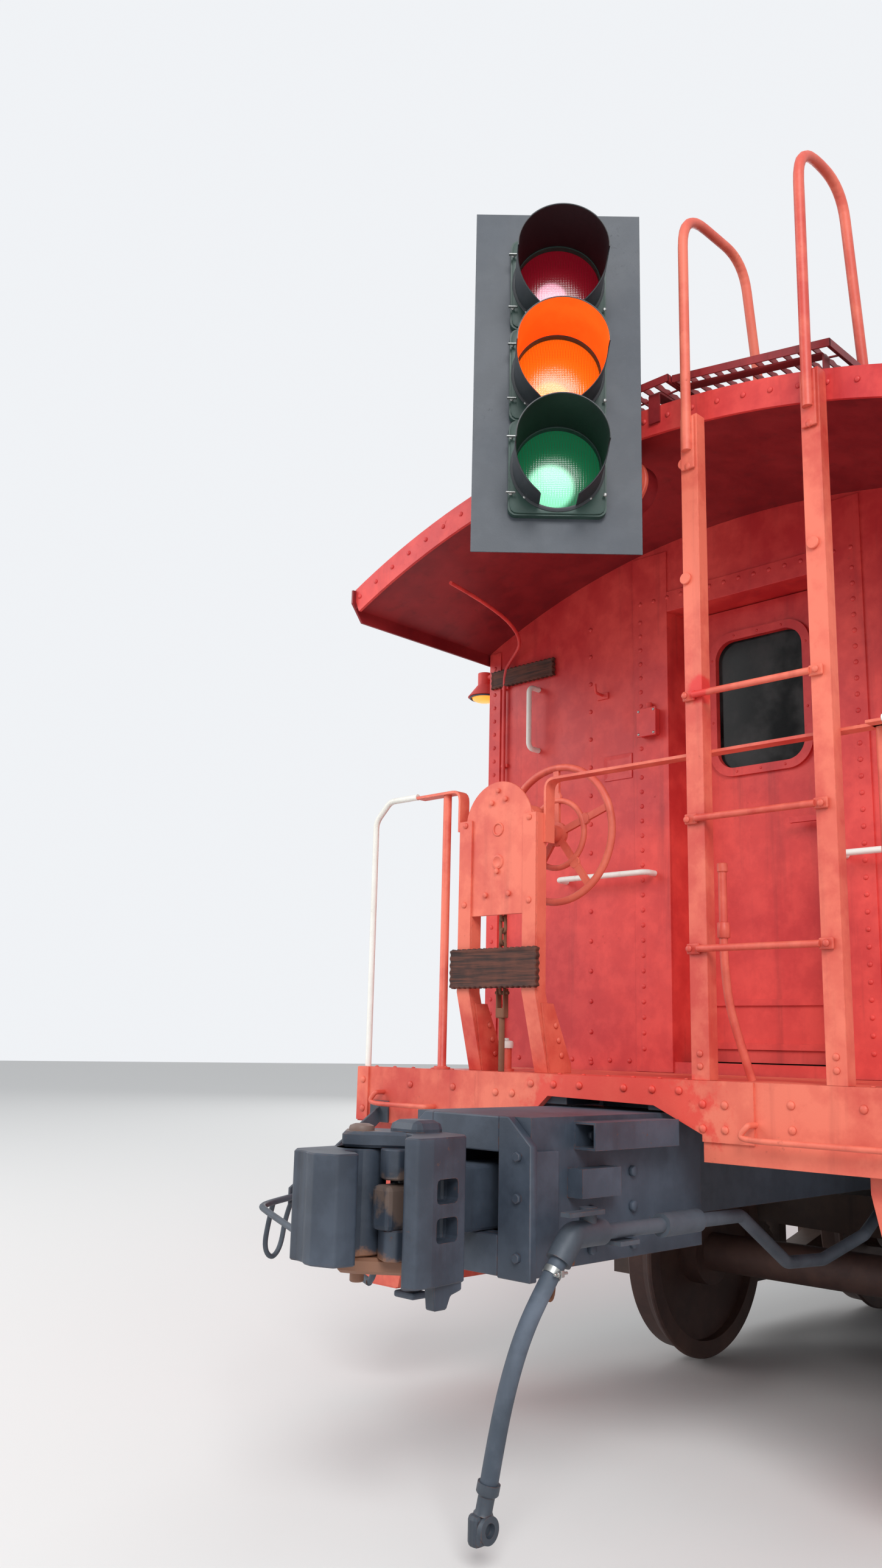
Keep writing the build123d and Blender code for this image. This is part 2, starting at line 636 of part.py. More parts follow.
# Cupola walls stand on the roof, and carry their own curved roof
CUPOLA_WINDOW_MIDDLE = (CUPOLA_WINDOW_LOW + CUPOLA_WINDOW_HIGH) / 2
CUPOLA_WINDOW_HEIGHT = CUPOLA_WINDOW_HIGH - CUPOLA_WINDOW_LOW
CUPOLA_SIDE_X = (-640.0, 640.0)
CUPOLA_END_Y = (-560.0, 560.0)
CUPOLA_RISE = CUPOLA_PEAK - CUPOLA_EAVE
CUPOLA_HALF_SPAN = CUPOLA_WIDTH / 2 + CUPOLA_OVERHANG
CUPOLA_RADIUS = (CUPOLA_HALF_SPAN**2 + CUPOLA_RISE**2) / (2 * CUPOLA_RISE)
CUPOLA_CENTRE = CUPOLA_PEAK - CUPOLA_RADIUS
CUPOLA_INNER = CUPOLA_RADIUS - 60.0
with BuildPart() as cupola:
    with BuildSketch(Plane.YZ.offset(-CUPOLA_LENGTH / 2)):
        with Locations((0, 3700)):
            Rectangle(CUPOLA_WIDTH, 2000)
        with Locations((0, CUPOLA_CENTRE)):
            Circle(CUPOLA_INNER - SEAT, mode=Mode.INTERSECT)
        with Locations((0, ROOF_CENTRE)):
            Circle(ROOF_RADIUS + SEAT, mode=Mode.SUBTRACT)
    extrude(amount=CUPOLA_LENGTH)
    with Locations((0, 0, CUPOLA_EAVE)):
        Box(CUPOLA_LENGTH - 2 * WALL, CUPOLA_WIDTH - 2 * WALL, 3000, mode=Mode.SUBTRACT)
    with BuildSketch(Plane.XZ.offset(-CUPOLA_WIDTH)):
        for window_x in CUPOLA_SIDE_X:
            with Locations((window_x, CUPOLA_WINDOW_MIDDLE)):
                RectangleRounded(WINDOW_WIDTH + 200, CUPOLA_WINDOW_HEIGHT, WINDOW_RADIUS)
    extrude(amount=2 * CUPOLA_WIDTH, mode=Mode.SUBTRACT)
    with BuildSketch(Plane.YZ.offset(-CUPOLA_LENGTH)):
        for window_y in CUPOLA_END_Y:
            with Locations((window_y, CUPOLA_WINDOW_MIDDLE + 60)):
                RectangleRounded(WINDOW_WIDTH, CUPOLA_WINDOW_HEIGHT - 120, WINDOW_RADIUS)
    extrude(amount=2 * CUPOLA_LENGTH, mode=Mode.SUBTRACT)
keep(cupola.part, "cupola_walls")

with BuildPart() as cupola_glass:
    for side in (-1, 1):
        with BuildSketch(Plane.XZ.offset(-side * (CUPOLA_WIDTH / 2 - WALL / 2))):
            for window_x in CUPOLA_SIDE_X:
                with Locations((window_x, CUPOLA_WINDOW_MIDDLE)):
                    RectangleRounded(
                        WINDOW_WIDTH + 200 - 2 * GLASS_GAP,
                        CUPOLA_WINDOW_HEIGHT - 2 * GLASS_GAP,
                        WINDOW_RADIUS - GLASS_GAP,
                    )
        extrude(amount=-side * GLASS)
        with BuildSketch(Plane.YZ.offset(side * (CUPOLA_LENGTH / 2 - WALL / 2))):
            for window_y in CUPOLA_END_Y:
                with Locations((window_y, CUPOLA_WINDOW_MIDDLE + 60)):
                    RectangleRounded(
                        WINDOW_WIDTH - 2 * GLASS_GAP,
                        CUPOLA_WINDOW_HEIGHT - 120 - 2 * GLASS_GAP,
                        WINDOW_RADIUS - GLASS_GAP,
                    )
        extrude(amount=side * GLASS)
keep(cupola_glass.part, "cupola_glass")

with BuildPart() as cupola_roof:
    with BuildSketch(Plane.YZ.offset(-CUPOLA_LENGTH / 2 - CUPOLA_OVERHANG)):
        with Locations((0, CUPOLA_CENTRE)):
            Circle(CUPOLA_RADIUS)
            Circle(CUPOLA_INNER, mode=Mode.SUBTRACT)
        with Locations((0, CUPOLA_PEAK)):
            Rectangle(2 * CUPOLA_HALF_SPAN, 1200, mode=Mode.INTERSECT)
    extrude(amount=CUPOLA_LENGTH + 2 * CUPOLA_OVERHANG)
keep(cupola_roof.part, "cupola_roof")

# Running boards along the roof and out to the ladders, on saddles
BOARD_TOP = 3640.0
BOARD = 28.0
BOARD_WIDTH = 560.0
BOARD_END = HALF - 20
SADDLE_XS = (-5300.0, -4300.0, -3300.0, -2300.0, 2300.0, 3300.0, 4300.0, 5300.0)
with BuildPart() as boards:
    for way in (-1, 1):
        board_in = CUPOLA_LENGTH / 2 + CUPOLA_OVERHANG + 30
        with Locations((way * (board_in + BOARD_END) / 2, 0, BOARD_TOP - BOARD / 2)):
            Box(BOARD_END - board_in, BOARD_WIDTH, BOARD)
        lateral_x = way * (HALF - 320)
        with Locations((lateral_x, way * (BOARD_WIDTH / 2 + 300), BOARD_TOP - BOARD / 2)):
            Box(560, 600, BOARD)
    for saddle_x in SADDLE_XS:
        with BuildSketch(Plane.YZ.offset(saddle_x - 20)):
            with Locations((0, BOARD_TOP - BOARD - 75)):
                Rectangle(BOARD_WIDTH - 40, 150)
            with Locations((0, ROOF_CENTRE)):
                Circle(ROOF_RADIUS + SEAT, mode=Mode.SUBTRACT)
        extrude(amount=40)
    for way in (-1, 1):
        for edge in (-230, 230):
            with BuildSketch(Plane.YZ.offset(way * (HALF - 320) + edge - 20)):
                with Locations((way * (BOARD_WIDTH / 2 + 560), BOARD_TOP - BOARD - 90)):
                    Rectangle(40, 180)
                with Locations((0, ROOF_CENTRE)):
                    Circle(ROOF_RADIUS + SEAT, mode=Mode.SUBTRACT)
            extrude(amount=40)
keep(boards.part, "running_boards")

# End ladders: two angle stiles, three rungs left of five, and two hand loops
RUNG_OUT = HALF + RUNG_DIA / 2 + 2
# Outer edge of the front leg, inner edge, foot of the loop's rear leg behind the sill face
STILES = (
    (LADDER_LEFT, LADDER_LEFT - LADDER_ANGLE, 560.0),
    (LADDER_RIGHT + LADDER_ANGLE, LADDER_RIGHT, 360.0),
)
loop_x = -HALF - LOOP_DIA / 2 + 4
ladder_loops = []
for edge, corner, foot in STILES:
    loop_y = (edge + corner) / 2
    loop_points = (
        (loop_x, loop_y, LADDER_TOP - 90),
        (loop_x, loop_y, LOOP_TOP),
        (-HALF + foot - LOOP_LEAN, loop_y, LOOP_TOP + LOOP_RISE),
        (-HALF + foot, loop_y, BOARD_TOP + LOOP_FOOT),
    )
    ladder_loops.append(bent_bar(loop_points, LOOP_DIA, LOOP_BEND))
for end, turn in ENDS:
    with BuildPart() as ladder:
        for edge, corner, foot in STILES:
            with BuildSketch(Plane.XY.offset(END_SILL_TOP + SEAT)):
                with BuildLine():
                    Polyline(
                        (-HALF, edge),
                        (-HALF, corner),
                        (-HALF + 50, corner),
                        (-HALF + 50, corner + LADDER_STEEL),
                        (-HALF + LADDER_STEEL, corner + LADDER_STEEL),
                        (-HALF + LADDER_STEEL, edge),
                        close=True,
                    )
                make_face()
            extrude(amount=LADDER_TOP - END_SILL_TOP - SEAT)
        for loop in ladder_loops:
            add(loop)
        for edge, corner, foot in STILES:
            with BuildSketch(Plane.XY.offset(BOARD_TOP + SEAT)):
                with Locations((-HALF + foot, (edge + corner) / 2)):
                    Circle(LOOP_FOOT_DIA / 2)
            extrude(amount=LOOP_FOOT)
        rung_from = STILES[0][0] - 13
        rung_to = STILES[1][1] + 38
        for height in RUNG_HEIGHTS:
            bar_plane = Plane(origin=(-RUNG_OUT, rung_to, height), z_dir=(0, 1, 0))
            with BuildSketch(bar_plane):
                Circle(RUNG_DIA / 2)
            extrude(amount=rung_from - rung_to)
            with BuildSketch(Plane.YZ.offset(-HALF - SEAT)):
                with Locations((rung_from, height), (rung_to, height)):
                    Circle(21)
            extrude(amount=-14)
        for height in LOST_RUNG_HEIGHTS:
            with BuildSketch(Plane.YZ.offset(-HALF - SEAT)):
                with Locations((rung_from, height), (rung_to, height)):
                    Circle(20)
            extrude(amount=-10)
    keep(ladder.part, f"ladder_{end}", turn)

# Railings: posts and flat handrail from the corner to the ladder
for end, turn in ENDS:
    with BuildPart() as railing:
        for post_y in (770.0, -970.0):
            with Locations((-HALF + 45, post_y, END_SILL_TOP + SEAT)):
                Cylinder(
                    POST_DIA / 2,
                    RAIL_TOP - END_SILL_TOP - SEAT - 10,
                    align=(Align.CENTER, Align.CENTER, Align.MIN),
                )
        for from_y, to_y in ((690.0, 920.0), (-1000.0, -870.0)):
            with Locations((-HALF + 45, (from_y + to_y) / 2, RAIL_TOP)):
                Box(RAIL_STEEL, to_y - from_y, RAIL_BAR)
        with Locations((-HALF + 75, (290.0 - 1000.0) / 2, RAIL_TOP)):
            Box(RAIL_STEEL, 1290, RAIL_BAR)
        with Locations((-HALF + 60, -985, RAIL_TOP)):
            Box(40, 30, RAIL_BAR)
    keep(railing.part, f"railing_{end}", turn)

# Hand brake stand at the B end
STAND_DEPTH = 60.0
with BuildPart() as brake_stand:
    for outer, inner in ((BRAKE_LEFT, BRAKE_LEFT - 62), (BRAKE_RIGHT + 62, BRAKE_RIGHT)):
        with BuildSketch(Plane.YZ.offset(-HALF + 8)):
            with BuildLine():
                Polyline(
                    (outer, END_SILL_TOP + SEAT),
                    (outer, 2136),
                    (inner, 2136),
                    (inner, END_SILL_TOP + SEAT),
                    close=True,
                )
            make_face()
        extrude(amount=8)
        with BuildSketch(Plane.YZ.offset(-HALF + 8)):
            with BuildLine():
                Polyline(
                    (inner, END_SILL_TOP + SEAT),
                    (inner, 2136),
                    (inner + 8, 2136),
                    (inner + 8, END_SILL_TOP + SEAT),
                    close=True,
                )
            make_face()
        extrude(amount=STAND_DEPTH)
    plate_middle = (BRAKE_LEFT + BRAKE_RIGHT) / 2
    with BuildSketch(Plane.YZ.offset(-HALF)):
        with Locations((plate_middle, (1775 + BRAKE_TOP) / 2)):
            RectangleRounded(270, BRAKE_TOP - 1775, 100)
    extrude(amount=8)
    with Locations((-HALF + 8 + 60, plate_middle, 2060)):
        Box(120, 240, 300)
    with Locations((-HALF + 8 + 150, BRAKE_WHEEL_SIDE, BRAKE_WHEEL_Z)):
        Cylinder(22, 100, rotation=(0, 90, 0))
keep(brake_stand.part, "brake_stand")

WHEEL_PLANE_X = -HALF + 250.0
with BuildPart() as brake_wheel:
    with BuildSketch(Plane.YZ.offset(WHEEL_PLANE_X - 15)):
        with Locations((BRAKE_WHEEL_SIDE, BRAKE_WHEEL_Z)):
            Circle(BRAKE_WHEEL_DIA / 2)
            Circle(BRAKE_WHEEL_DIA / 2 - 28, mode=Mode.SUBTRACT)
            Circle(150)
            Circle(110, mode=Mode.SUBTRACT)
            Circle(45)
            with PolarLocations(150, 5):
                Rectangle(240, 26)
    extrude(amount=30)
    with BuildSketch(Plane.YZ.offset(-HALF + 208 + SEAT)):
        with Locations((BRAKE_WHEEL_SIDE, BRAKE_WHEEL_Z)):
            Circle(30)
    extrude(amount=40)
keep(brake_wheel.part, "brake_wheel")

# Brake chain and rod from the stand's housing to the deck
with BuildPart() as brake_chain:
    with BuildSketch(Plane.XY.offset(1700)):
        with Locations((-HALF + 40, plate_middle)):
            Circle(18)
    extrude(amount=1910 - SEAT - 1700)
    with BuildSketch(Plane.XY.offset(FRAME_TOP + DECK_PLATE + SEAT)):
        with Locations((-HALF + 40, plate_middle)):
            Circle(11)
    extrude(amount=500)
keep(brake_chain.part, "brake_chain")

# White grab irons
start_z = END_SILL_TOP + SEAT
grab_bars = []
for side, inner_y in ((1, 921), (-1, 1001)):
    corner_points = (
        (-HALF + 20, side * 1160, start_z),
        (-HALF + 20, side * 1160, RAIL_TOP - 70),
        (-HALF + 20, side * 1080, RAIL_TOP + 5),
        (-HALF + 20, side * inner_y, RAIL_TOP + 5),
    )
    grab_bars.append(bent_bar(corner_points, GRAB_DIA, 60))
# From and to points in the wall's plane
WALL_GRABS = (
    (1070, 2645, 1070, 2935),
    (430, 2025, 900, 2025),
    (-420, 2025, -900, 2025),
    (-1070, 2645, -1070, 2935),
)
for y_from, z_from, y_to, z_to in WALL_GRABS:
    wall_points = (
        (-WALL_OUT - SEAT, y_from, z_from),
        (-WALL_OUT - 70, y_from, z_from),
        (-WALL_OUT - 70, y_to, z_to),
        (-WALL_OUT - SEAT, y_to, z_to),
    )
    grab_bars.append(bent_bar(wall_points, GRAB_DIA, 28))
with BuildPart() as grabs:
    for bar in grab_bars:
        add(bar)
        add(bar.rotate(Axis.Z, 180))
keep(grabs.part, "grab_irons")

# Blank wooden boards on the brake stand and beside the door
with BuildPart() as boards_blank:
    with Locations((-HALF - 2 - SEAT, plate_middle, 1583)):
        Box(20, 422, 145)
    with Locations((-WALL_OUT - 10 - SEAT, 1160, 3027)):
        Box(20, 385, 88)
keep(boards_blank.part, "sign_boards")

# Round end lamp under each end of the roof
LAMP_R = 95.0
lamp_z = arc_height(ROOF_INNER, ROOF_CENTRE, 0) - SEAT
with BuildPart() as end_lamps:
    for way in (-1, 1):
        lamp_x = way * (ROOF_HALF - 90)
        with BuildSketch(Plane.YZ.offset(lamp_x - 70)):
            with Locations((0, lamp_z - 40 - LAMP_R)):
                Circle(LAMP_R)
        extrude(amount=140)
        with Locations((lamp_x, 0, lamp_z - 30)):
            Box(60, 60, 60)
keep(end_lamps.part, "end_lamps")

# Cone-shaded lamps at the body's four corners, hung just under the eaves
LAMP_SIDE = BODY_HALF + 95.0
LAMP_X = WALL_OUT - 60.0
LAMP_RIM_Z = 2985.0
with BuildPart() as corner_lamps:
    for way in (-1, 1):
        for side in (-1, 1):
            rim = Plane(origin=(way * LAMP_X, side * LAMP_SIDE, LAMP_RIM_Z))
            with BuildSketch(rim):
                Circle(82)
            with BuildSketch(rim.offset(62)):
                Circle(34)
            loft()
            with BuildSketch(rim.offset(60)):
                Circle(34)
            extrude(amount=60)
            arm_y = side * (BODY_HALF + SEAT)
            with BuildSketch(Plane(origin=(way * LAMP_X, arm_y, 3080), z_dir=(0, side, 0))):
                Circle(14)
            extrude(amount=80)
keep(corner_lamps.part, "corner_lamps")

# Draft boxes: two side plates, top, bottom and a front plate with the shank's opening
BOX_LOW_IN = DRAFT_LOW + DRAFT_PLATE
BOX_HIGH_IN = DRAFT_HIGH - DRAFT_PLATE
SHANK_OPENING_HALF = 130.0
with BuildPart() as draft_box:
    box_from = -HALF - DRAFT_OUT
    box_to = -HALF + DRAFT_IN - SEAT
    with Locations(((box_from + box_to) / 2, 0, (DRAFT_LOW + DRAFT_HIGH) / 2)):
        Box(box_to - box_from, 2 * DRAFT_HALF, DRAFT_HIGH - DRAFT_LOW)
    cavity_from = box_from + DRAFT_PLATE
    with Locations(((cavity_from + box_to) / 2 - 30, 0, (BOX_LOW_IN + BOX_HIGH_IN) / 2)):
        Box(
            box_to - cavity_from - 60,
            2 * (DRAFT_HALF - DRAFT_PLATE),
            BOX_HIGH_IN - BOX_LOW_IN,
            mode=Mode.SUBTRACT,
        )
    shank_low = COUPLER_Z - SHANK_HEIGHT / 2 - SEAT
    with Locations((box_from, 0, (shank_low + COUPLER_Z + 130) / 2)):
        Box(200, 2 * SHANK_OPENING_HALF, COUPLER_Z + 130 - shank_low, mode=Mode.SUBTRACT)
    with Locations((-HALF - COUPLER_PIVOT, 0, (DRAFT_LOW + DRAFT_HIGH) / 2)):
        Cylinder(COUPLER_PIN_DIA / 2, DRAFT_HIGH - DRAFT_LOW - 20)
    # Draft key ends, the square tube and the flat wing plate
    for side in (-1, 1):
        with Locations((-HALF - COUPLER_PIVOT, side * (DRAFT_HALF + 25), COUPLER_Z + 45)):
            Box(180, 60, 80)
    with Locations((-HALF - 222, -DRAFT_HALF - 38, 1062)):
        Box(416, 80, 78)
        Box(420, 66, 64, mode=Mode.SUBTRACT)
with BuildPart() as draft_boxes:
    for _, turn in ENDS:
        add(draft_box.part.rotate(Axis.Z, turn))
keep(draft_boxes.part, "draft_boxes")

# Couplers: shank, head with guard arm and pin lugs, and a knuckle that opens
KNUCKLE_LOW = COUPLER_Z - KNUCKLE_HEIGHT / 2
KNUCKLE_HIGH = COUPLER_Z + KNUCKLE_HEIGHT / 2
HEAD_LOW = KNUCKLE_LOW - KNUCKLE_GAP - LUG
HEAD_HIGH = KNUCKLE_HIGH + KNUCKLE_GAP + LUG
PIN_X = -HALF - KNUCKLE_PIN_OUT
# Head outline from above: distance out from the sill, distance from the centreline
HEAD_OUTLINE = (
    (790, -65),
    (805, -150),
    (850, -195),
    (985, -210),
    (1040, -205),
    (1050, -165),
    (985, -120),
    (930, -70),
    (905, 0),
    (880, 34),
    (830, 60),
    (790, 65),
)
LUG_OUTLINE = ((800, -60), (900, -60), (1000, 60), (1022, 110), (950, 182), (860, 165), (800, 70))
KNUCKLE_OUTLINE = (
    (950, 182),
    (1130, 172),
    (1175, 120),
    (1195, 20),
    (1170, -45),
    (1105, -55),
    (1080, -15),
    (1075, 35),
    (1010, 60),
    (960, 38),
)
for end, turn in ENDS:
    with BuildPart() as coupler:
        with BuildSketch(Plane.XY.offset(HEAD_LOW)):
            with BuildLine():
                Polyline(*[(-HALF - out, across) for out, across in HEAD_OUTLINE], close=True)
            make_face()
        extrude(amount=HEAD_HIGH - HEAD_LOW)
        for low in (HEAD_LOW, KNUCKLE_HIGH + KNUCKLE_GAP):
            with BuildSketch(Plane.XY.offset(low)):
                with BuildLine():
                    Polyline(*[(-HALF - out, across) for out, across in LUG_OUTLINE], close=True)
                make_face()
            extrude(amount=LUG)
        with Locations((PIN_X, KNUCKLE_PIN_SIDE, COUPLER_Z)):
            Cylinder(KNUCKLE_HUB + 8, KNUCKLE_HEIGHT + 2 * KNUCKLE_GAP, mode=Mode.SUBTRACT)
            Cylinder(KNUCKLE_PIN_DIA / 2, HEAD_HIGH - HEAD_LOW + 40)
        with Locations((-HALF - (COUPLER_PIVOT + 800) / 2, 0, COUPLER_Z)):
            Box(800 - COUPLER_PIVOT, SHANK_WIDTH, SHANK_HEIGHT)
        with Locations((-HALF - COUPLER_PIVOT, 0, COUPLER_Z)):
            Cylinder(SHANK_WIDTH / 2, SHANK_HEIGHT)
            Cylinder(COUPLER_PIN_DIA / 2 + BEARING_GAP, SHANK_HEIGHT + 10, mode=Mode.SUBTRACT)
        for height in (COUPLER_Z - 48, COUPLER_Z + 48):
            with Locations((-HALF - 925, -190, height)):
                Box(80, 90, 62, mode=Mode.SUBTRACT)
    keep(coupler.part, f"coupler_{end}", turn)

    with BuildPart() as knuckle:
        with BuildSketch(Plane.XY.offset(KNUCKLE_LOW)):
            with BuildLine():
                Polyline(*[(-HALF - out, across) for out, across in KNUCKLE_OUTLINE], close=True)
            make_face()
            with Locations((PIN_X, KNUCKLE_PIN_SIDE)):
                Circle(KNUCKLE_HUB)
                Circle(KNUCKLE_PIN_DIA / 2 + BEARING_GAP, mode=Mode.SUBTRACT)
        extrude(amount=KNUCKLE_HEIGHT)
    keep(knuckle.part, f"knuckle_{end}", turn)

# Uncoupling levers along the end sills
LEVER_POINTS = (
    (-HALF - 60, 1130, 1075),
    (-HALF - 60, 640, 1075),
    (-HALF - 640, 560, 1020),
    (-HALF - 1130, 470, 950),
    (-HALF - 1150, 460, 760),
)
lever_bar = bent_bar(LEVER_POINTS, 22, 30)
with BuildPart() as lever:
    add(lever_bar)
    with Locations((-HALF - 35 - SEAT, 1040, 1085), (-HALF - 35 - SEAT, 700, 1085)):
        Box(70, 30, 60)
with BuildPart() as levers:
    for _, turn in ENDS:
        add(lever.part.rotate(Axis.Z, turn))
keep(levers.part, "uncoupling_levers")

# Brake pipe, angle cock, air hose and its coupling at the B end
PIPE_POINTS = (
    (-HALF - 440, PIPE_SIDE, 810),
    (-HALF + 280, PIPE_SIDE, 800),
    (-HALF + 560, PIPE_SIDE, 632),
    (-HALF + 800, PIPE_SIDE, 618),
    (-HALF + 1110, PIPE_SIDE, 672),
    (-HALF + 1400, -250, 715),
    (-HALF + 3600, -250, 715),
    (-HALF + 3750, -250, 890),
    (-1560 - SEAT, -250, 890),
)
pipe_run = bent_bar(PIPE_POINTS, PIPE_DIA, 60)
with BuildPart() as brake_pipe:
    add(pipe_run)
    with Locations((-HALF - 60, PIPE_SIDE, 805)):
        Cylinder(34, 190, rotation=(0, 90, 0))
    with Locations((-HALF - 340, PIPE_SIDE + 40, 775)):
        Box(90, 130, 12)
keep(brake_pipe.part, "brake_pipe")

COCK = (-HALF - 570, PIPE_SIDE, 812)
HOSE_DIRECTION = Vector(-0.60, 0.10, -0.79).normalized()
GLAND = tuple(Vector(*COCK) + 80 * HOSE_DIRECTION)
elbow_points = ((-HALF - 440 - SEAT, PIPE_SIDE, 812), COCK, GLAND)
elbow = bent_bar(elbow_points, 72, 30)
with BuildPart() as angle_cock:
    add(elbow)
    with Locations((-HALF - 500, PIPE_SIDE, 850)):
        Cylinder(24, 60)
    with Locations((-HALF - 560, PIPE_SIDE - 30, 872)):
        Box(150, 34, 12)
keep(angle_cock.part, "angle_cock")

# Air hose route, from the angle cock to its coupling, hanging under its own weight
HOSE_POINTS = (
    GLAND,
    tuple(Vector(*GLAND) + 85 * HOSE_DIRECTION),
    (-HALF - 712, -285, 580),
    (-HALF - 738, -258, 462),
    (-HALF - 756, -236, 335),
    (-HALF - 766, -216, 205),
)
HOSE_END = HOSE_POINTS[-1]


def corner_radii(points):
    """Radius for each corner: 0.45 of its shorter run over the tangent of half the turn."""
    radii = []
    for before, here, after in zip(points, points[1:], points[2:]):
        come = Vector(*here) - Vector(*before)
        leave = Vector(*after) - Vector(*here)
        half_turn = math.radians(come.get_angle(leave)) / 2
        radii.append(0.45 * min(come.length, leave.length) / math.tan(half_turn))
    return radii


hose_radii = corner_radii(HOSE_POINTS)
print("air hose radii", [round(radius) for radius in hose_radii])
with BuildPart() as air_hose:
    with BuildLine():
        hose_path = FilletPolyline(*HOSE_POINTS, radius=hose_radii)
    with BuildSketch(Plane(origin=hose_path @ 0, z_dir=hose_path % 0)):
        Circle(HOSE_DIA / 2)
    sweep()
hose_section = math.pi * (HOSE_DIA / 2) ** 2
print("air hose length", round(hose_path.length), "volume", round(air_hose.part.volume))
print("section times length", round(hose_section * hose_path.length))
keep(air_hose.part, "air_hose")

with BuildPart() as gladhand:
    with BuildSketch(Plane(origin=hose_path @ 1, z_dir=hose_path % 1)):
        Circle(30)
    extrude(amount=70)
    with Locations((HOSE_END[0] - 8, HOSE_END[1] + 18, 100)):
        Box(80, 70, 90)
keep(gladhand.part, "gladhand")

# Roof stack, and the gear under the floor
with BuildPart() as smoke_jack:
    with BuildSketch(Plane.XY.offset(arc_height(ROOF_RADIUS, ROOF_CENTRE, 700) + 2)):
        with Locations((2600, 700)):
            Circle(90)
    extrude(amount=520)
    with BuildSketch(Plane.YZ.offset(2400)):
        with Locations((0, ROOF_CENTRE)):
            Circle(ROOF_RADIUS + SEAT)
    extrude(amount=400, mode=Mode.SUBTRACT)
    with BuildSketch(Plane.XY.offset(arc_height(ROOF_RADIUS, ROOF_CENTRE, 700) + 440)):
        with Locations((2600, 700)):
            Circle(150)
    extrude(amount=60)
keep(smoke_jack.part, "smoke_jack")

with BuildPart() as underfloor_gear:
    with Locations((-700, 620, 850)):
        Cylinder(160, 420, rotation=(0, 90, 0))
    with Locations((-700, 620, 1050)):
        Box(120, 120, 2 * (FRAME_TOP - 1050) - 2 * SEAT)
    with Locations((700, 640, 850)):
        Cylinder(190, 900, rotation=(0, 90, 0))
    for strap_x in (450, 950):
        with Locations((strap_x, 640, 1050)):
            Box(60, 120, 2 * (FRAME_TOP - 1050) - 2 * SEAT)
    with Locations((700, -780, 950)):
        Box(900, 520, 2 * (FRAME_TOP - 950) - 2 * SEAT)
keep(underfloor_gear.part, "underfloor_gear")

# Traffic signal: backplate, three sections with tunnel visors and lenses, and bracket
SIGNAL_ORIGIN = (-HALF - 200.0, 40.0, 3645.0)
turn_rad = math.radians(SIGNAL_TURN)
SIGNAL = Plane(
    origin=SIGNAL_ORIGIN,
    x_dir=(math.sin(turn_rad), -math.cos(turn_rad), 0),
    z_dir=(-math.cos(turn_rad), -math.sin(turn_rad), 0),
)
SECTION_ROWS = (-1, 0, 1)
VISOR_LENGTH = 240.0
with BuildPart() as backplate:
    with BuildSketch(SIGNAL):
        RectangleRounded(BACKPLATE_WIDTH, BACKPLATE_HEIGHT, 40)
        Rectangle(SIGNAL_WIDTH + 2 * SEAT, 3 * SIGNAL_SECTION + 2 * SEAT, mode=Mode.SUBTRACT)
    extrude(amount=4)
keep(backplate.part, "signal_backplate")

with BuildPart() as signal_housing:
    with BuildSketch(SIGNAL.offset(-SIGNAL_DEPTH + 30)):
        for row in SECTION_ROWS:
            with Locations((0, row * SIGNAL_SECTION)):
                RectangleRounded(SIGNAL_WIDTH, SIGNAL_SECTION, 30)
        Rectangle(SIGNAL_WIDTH - 80, 3 * SIGNAL_SECTION - 80)
    extrude(amount=SIGNAL_DEPTH)
    with BuildSketch(SIGNAL.offset(30 - 40)):
        for row in SECTION_ROWS:
            with Locations((0, row * SIGNAL_SECTION)):
                Circle(SIGNAL_LENS / 2 + SEAT)
    extrude(amount=60, mode=Mode.SUBTRACT)
keep(signal_housing.part, "signal_housing")

with BuildPart() as lenses:
    with BuildSketch(SIGNAL.offset(30 - 40 + SEAT)):
        for row in SECTION_ROWS:
            with Locations((0, row * SIGNAL_SECTION)):
                Circle(SIGNAL_LENS / 2)
    extrude(amount=30)
keep(lenses.part, "signal_lenses")

with BuildPart() as visors:
    with BuildSketch(SIGNAL.offset(30 + SEAT)):
        for row in SECTION_ROWS:
            with Locations((0, row * SIGNAL_SECTION)):
                Circle(SIGNAL_LENS / 2 + 8)
                Circle(SIGNAL_LENS / 2 + 5, mode=Mode.SUBTRACT)
    extrude(amount=VISOR_LENGTH)
keep(visors.part, "signal_visors")

with BuildPart() as signal_bracket:
    with BuildSketch(SIGNAL.offset(-SIGNAL_DEPTH + 30 - SEAT)):
        Rectangle(70, 560)
    extrude(amount=-30)
    arm_from = -HALF - 98.0
    arm_to = -ROOF_HALF - SEAT
    with Locations(((arm_from + arm_to) / 2, 134, 3500)):
        Box(arm_to - arm_from, 40, 60)
keep(signal_bracket.part, "signal_bracket")
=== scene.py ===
"""Looks of a steel cupola caboose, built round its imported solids.

Each sub-assembly is a class that holds its own sizes and builds its pieces. Lengths are in metres, in the
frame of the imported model: X along the car, Y across it, Z up, with the wheels' flanges at zero.
"""

from __future__ import annotations

import json
import logging
import math
from dataclasses import dataclass
from enum import Enum
from typing import Iterable, Sequence

import bpy
from mathutils import Matrix, Vector

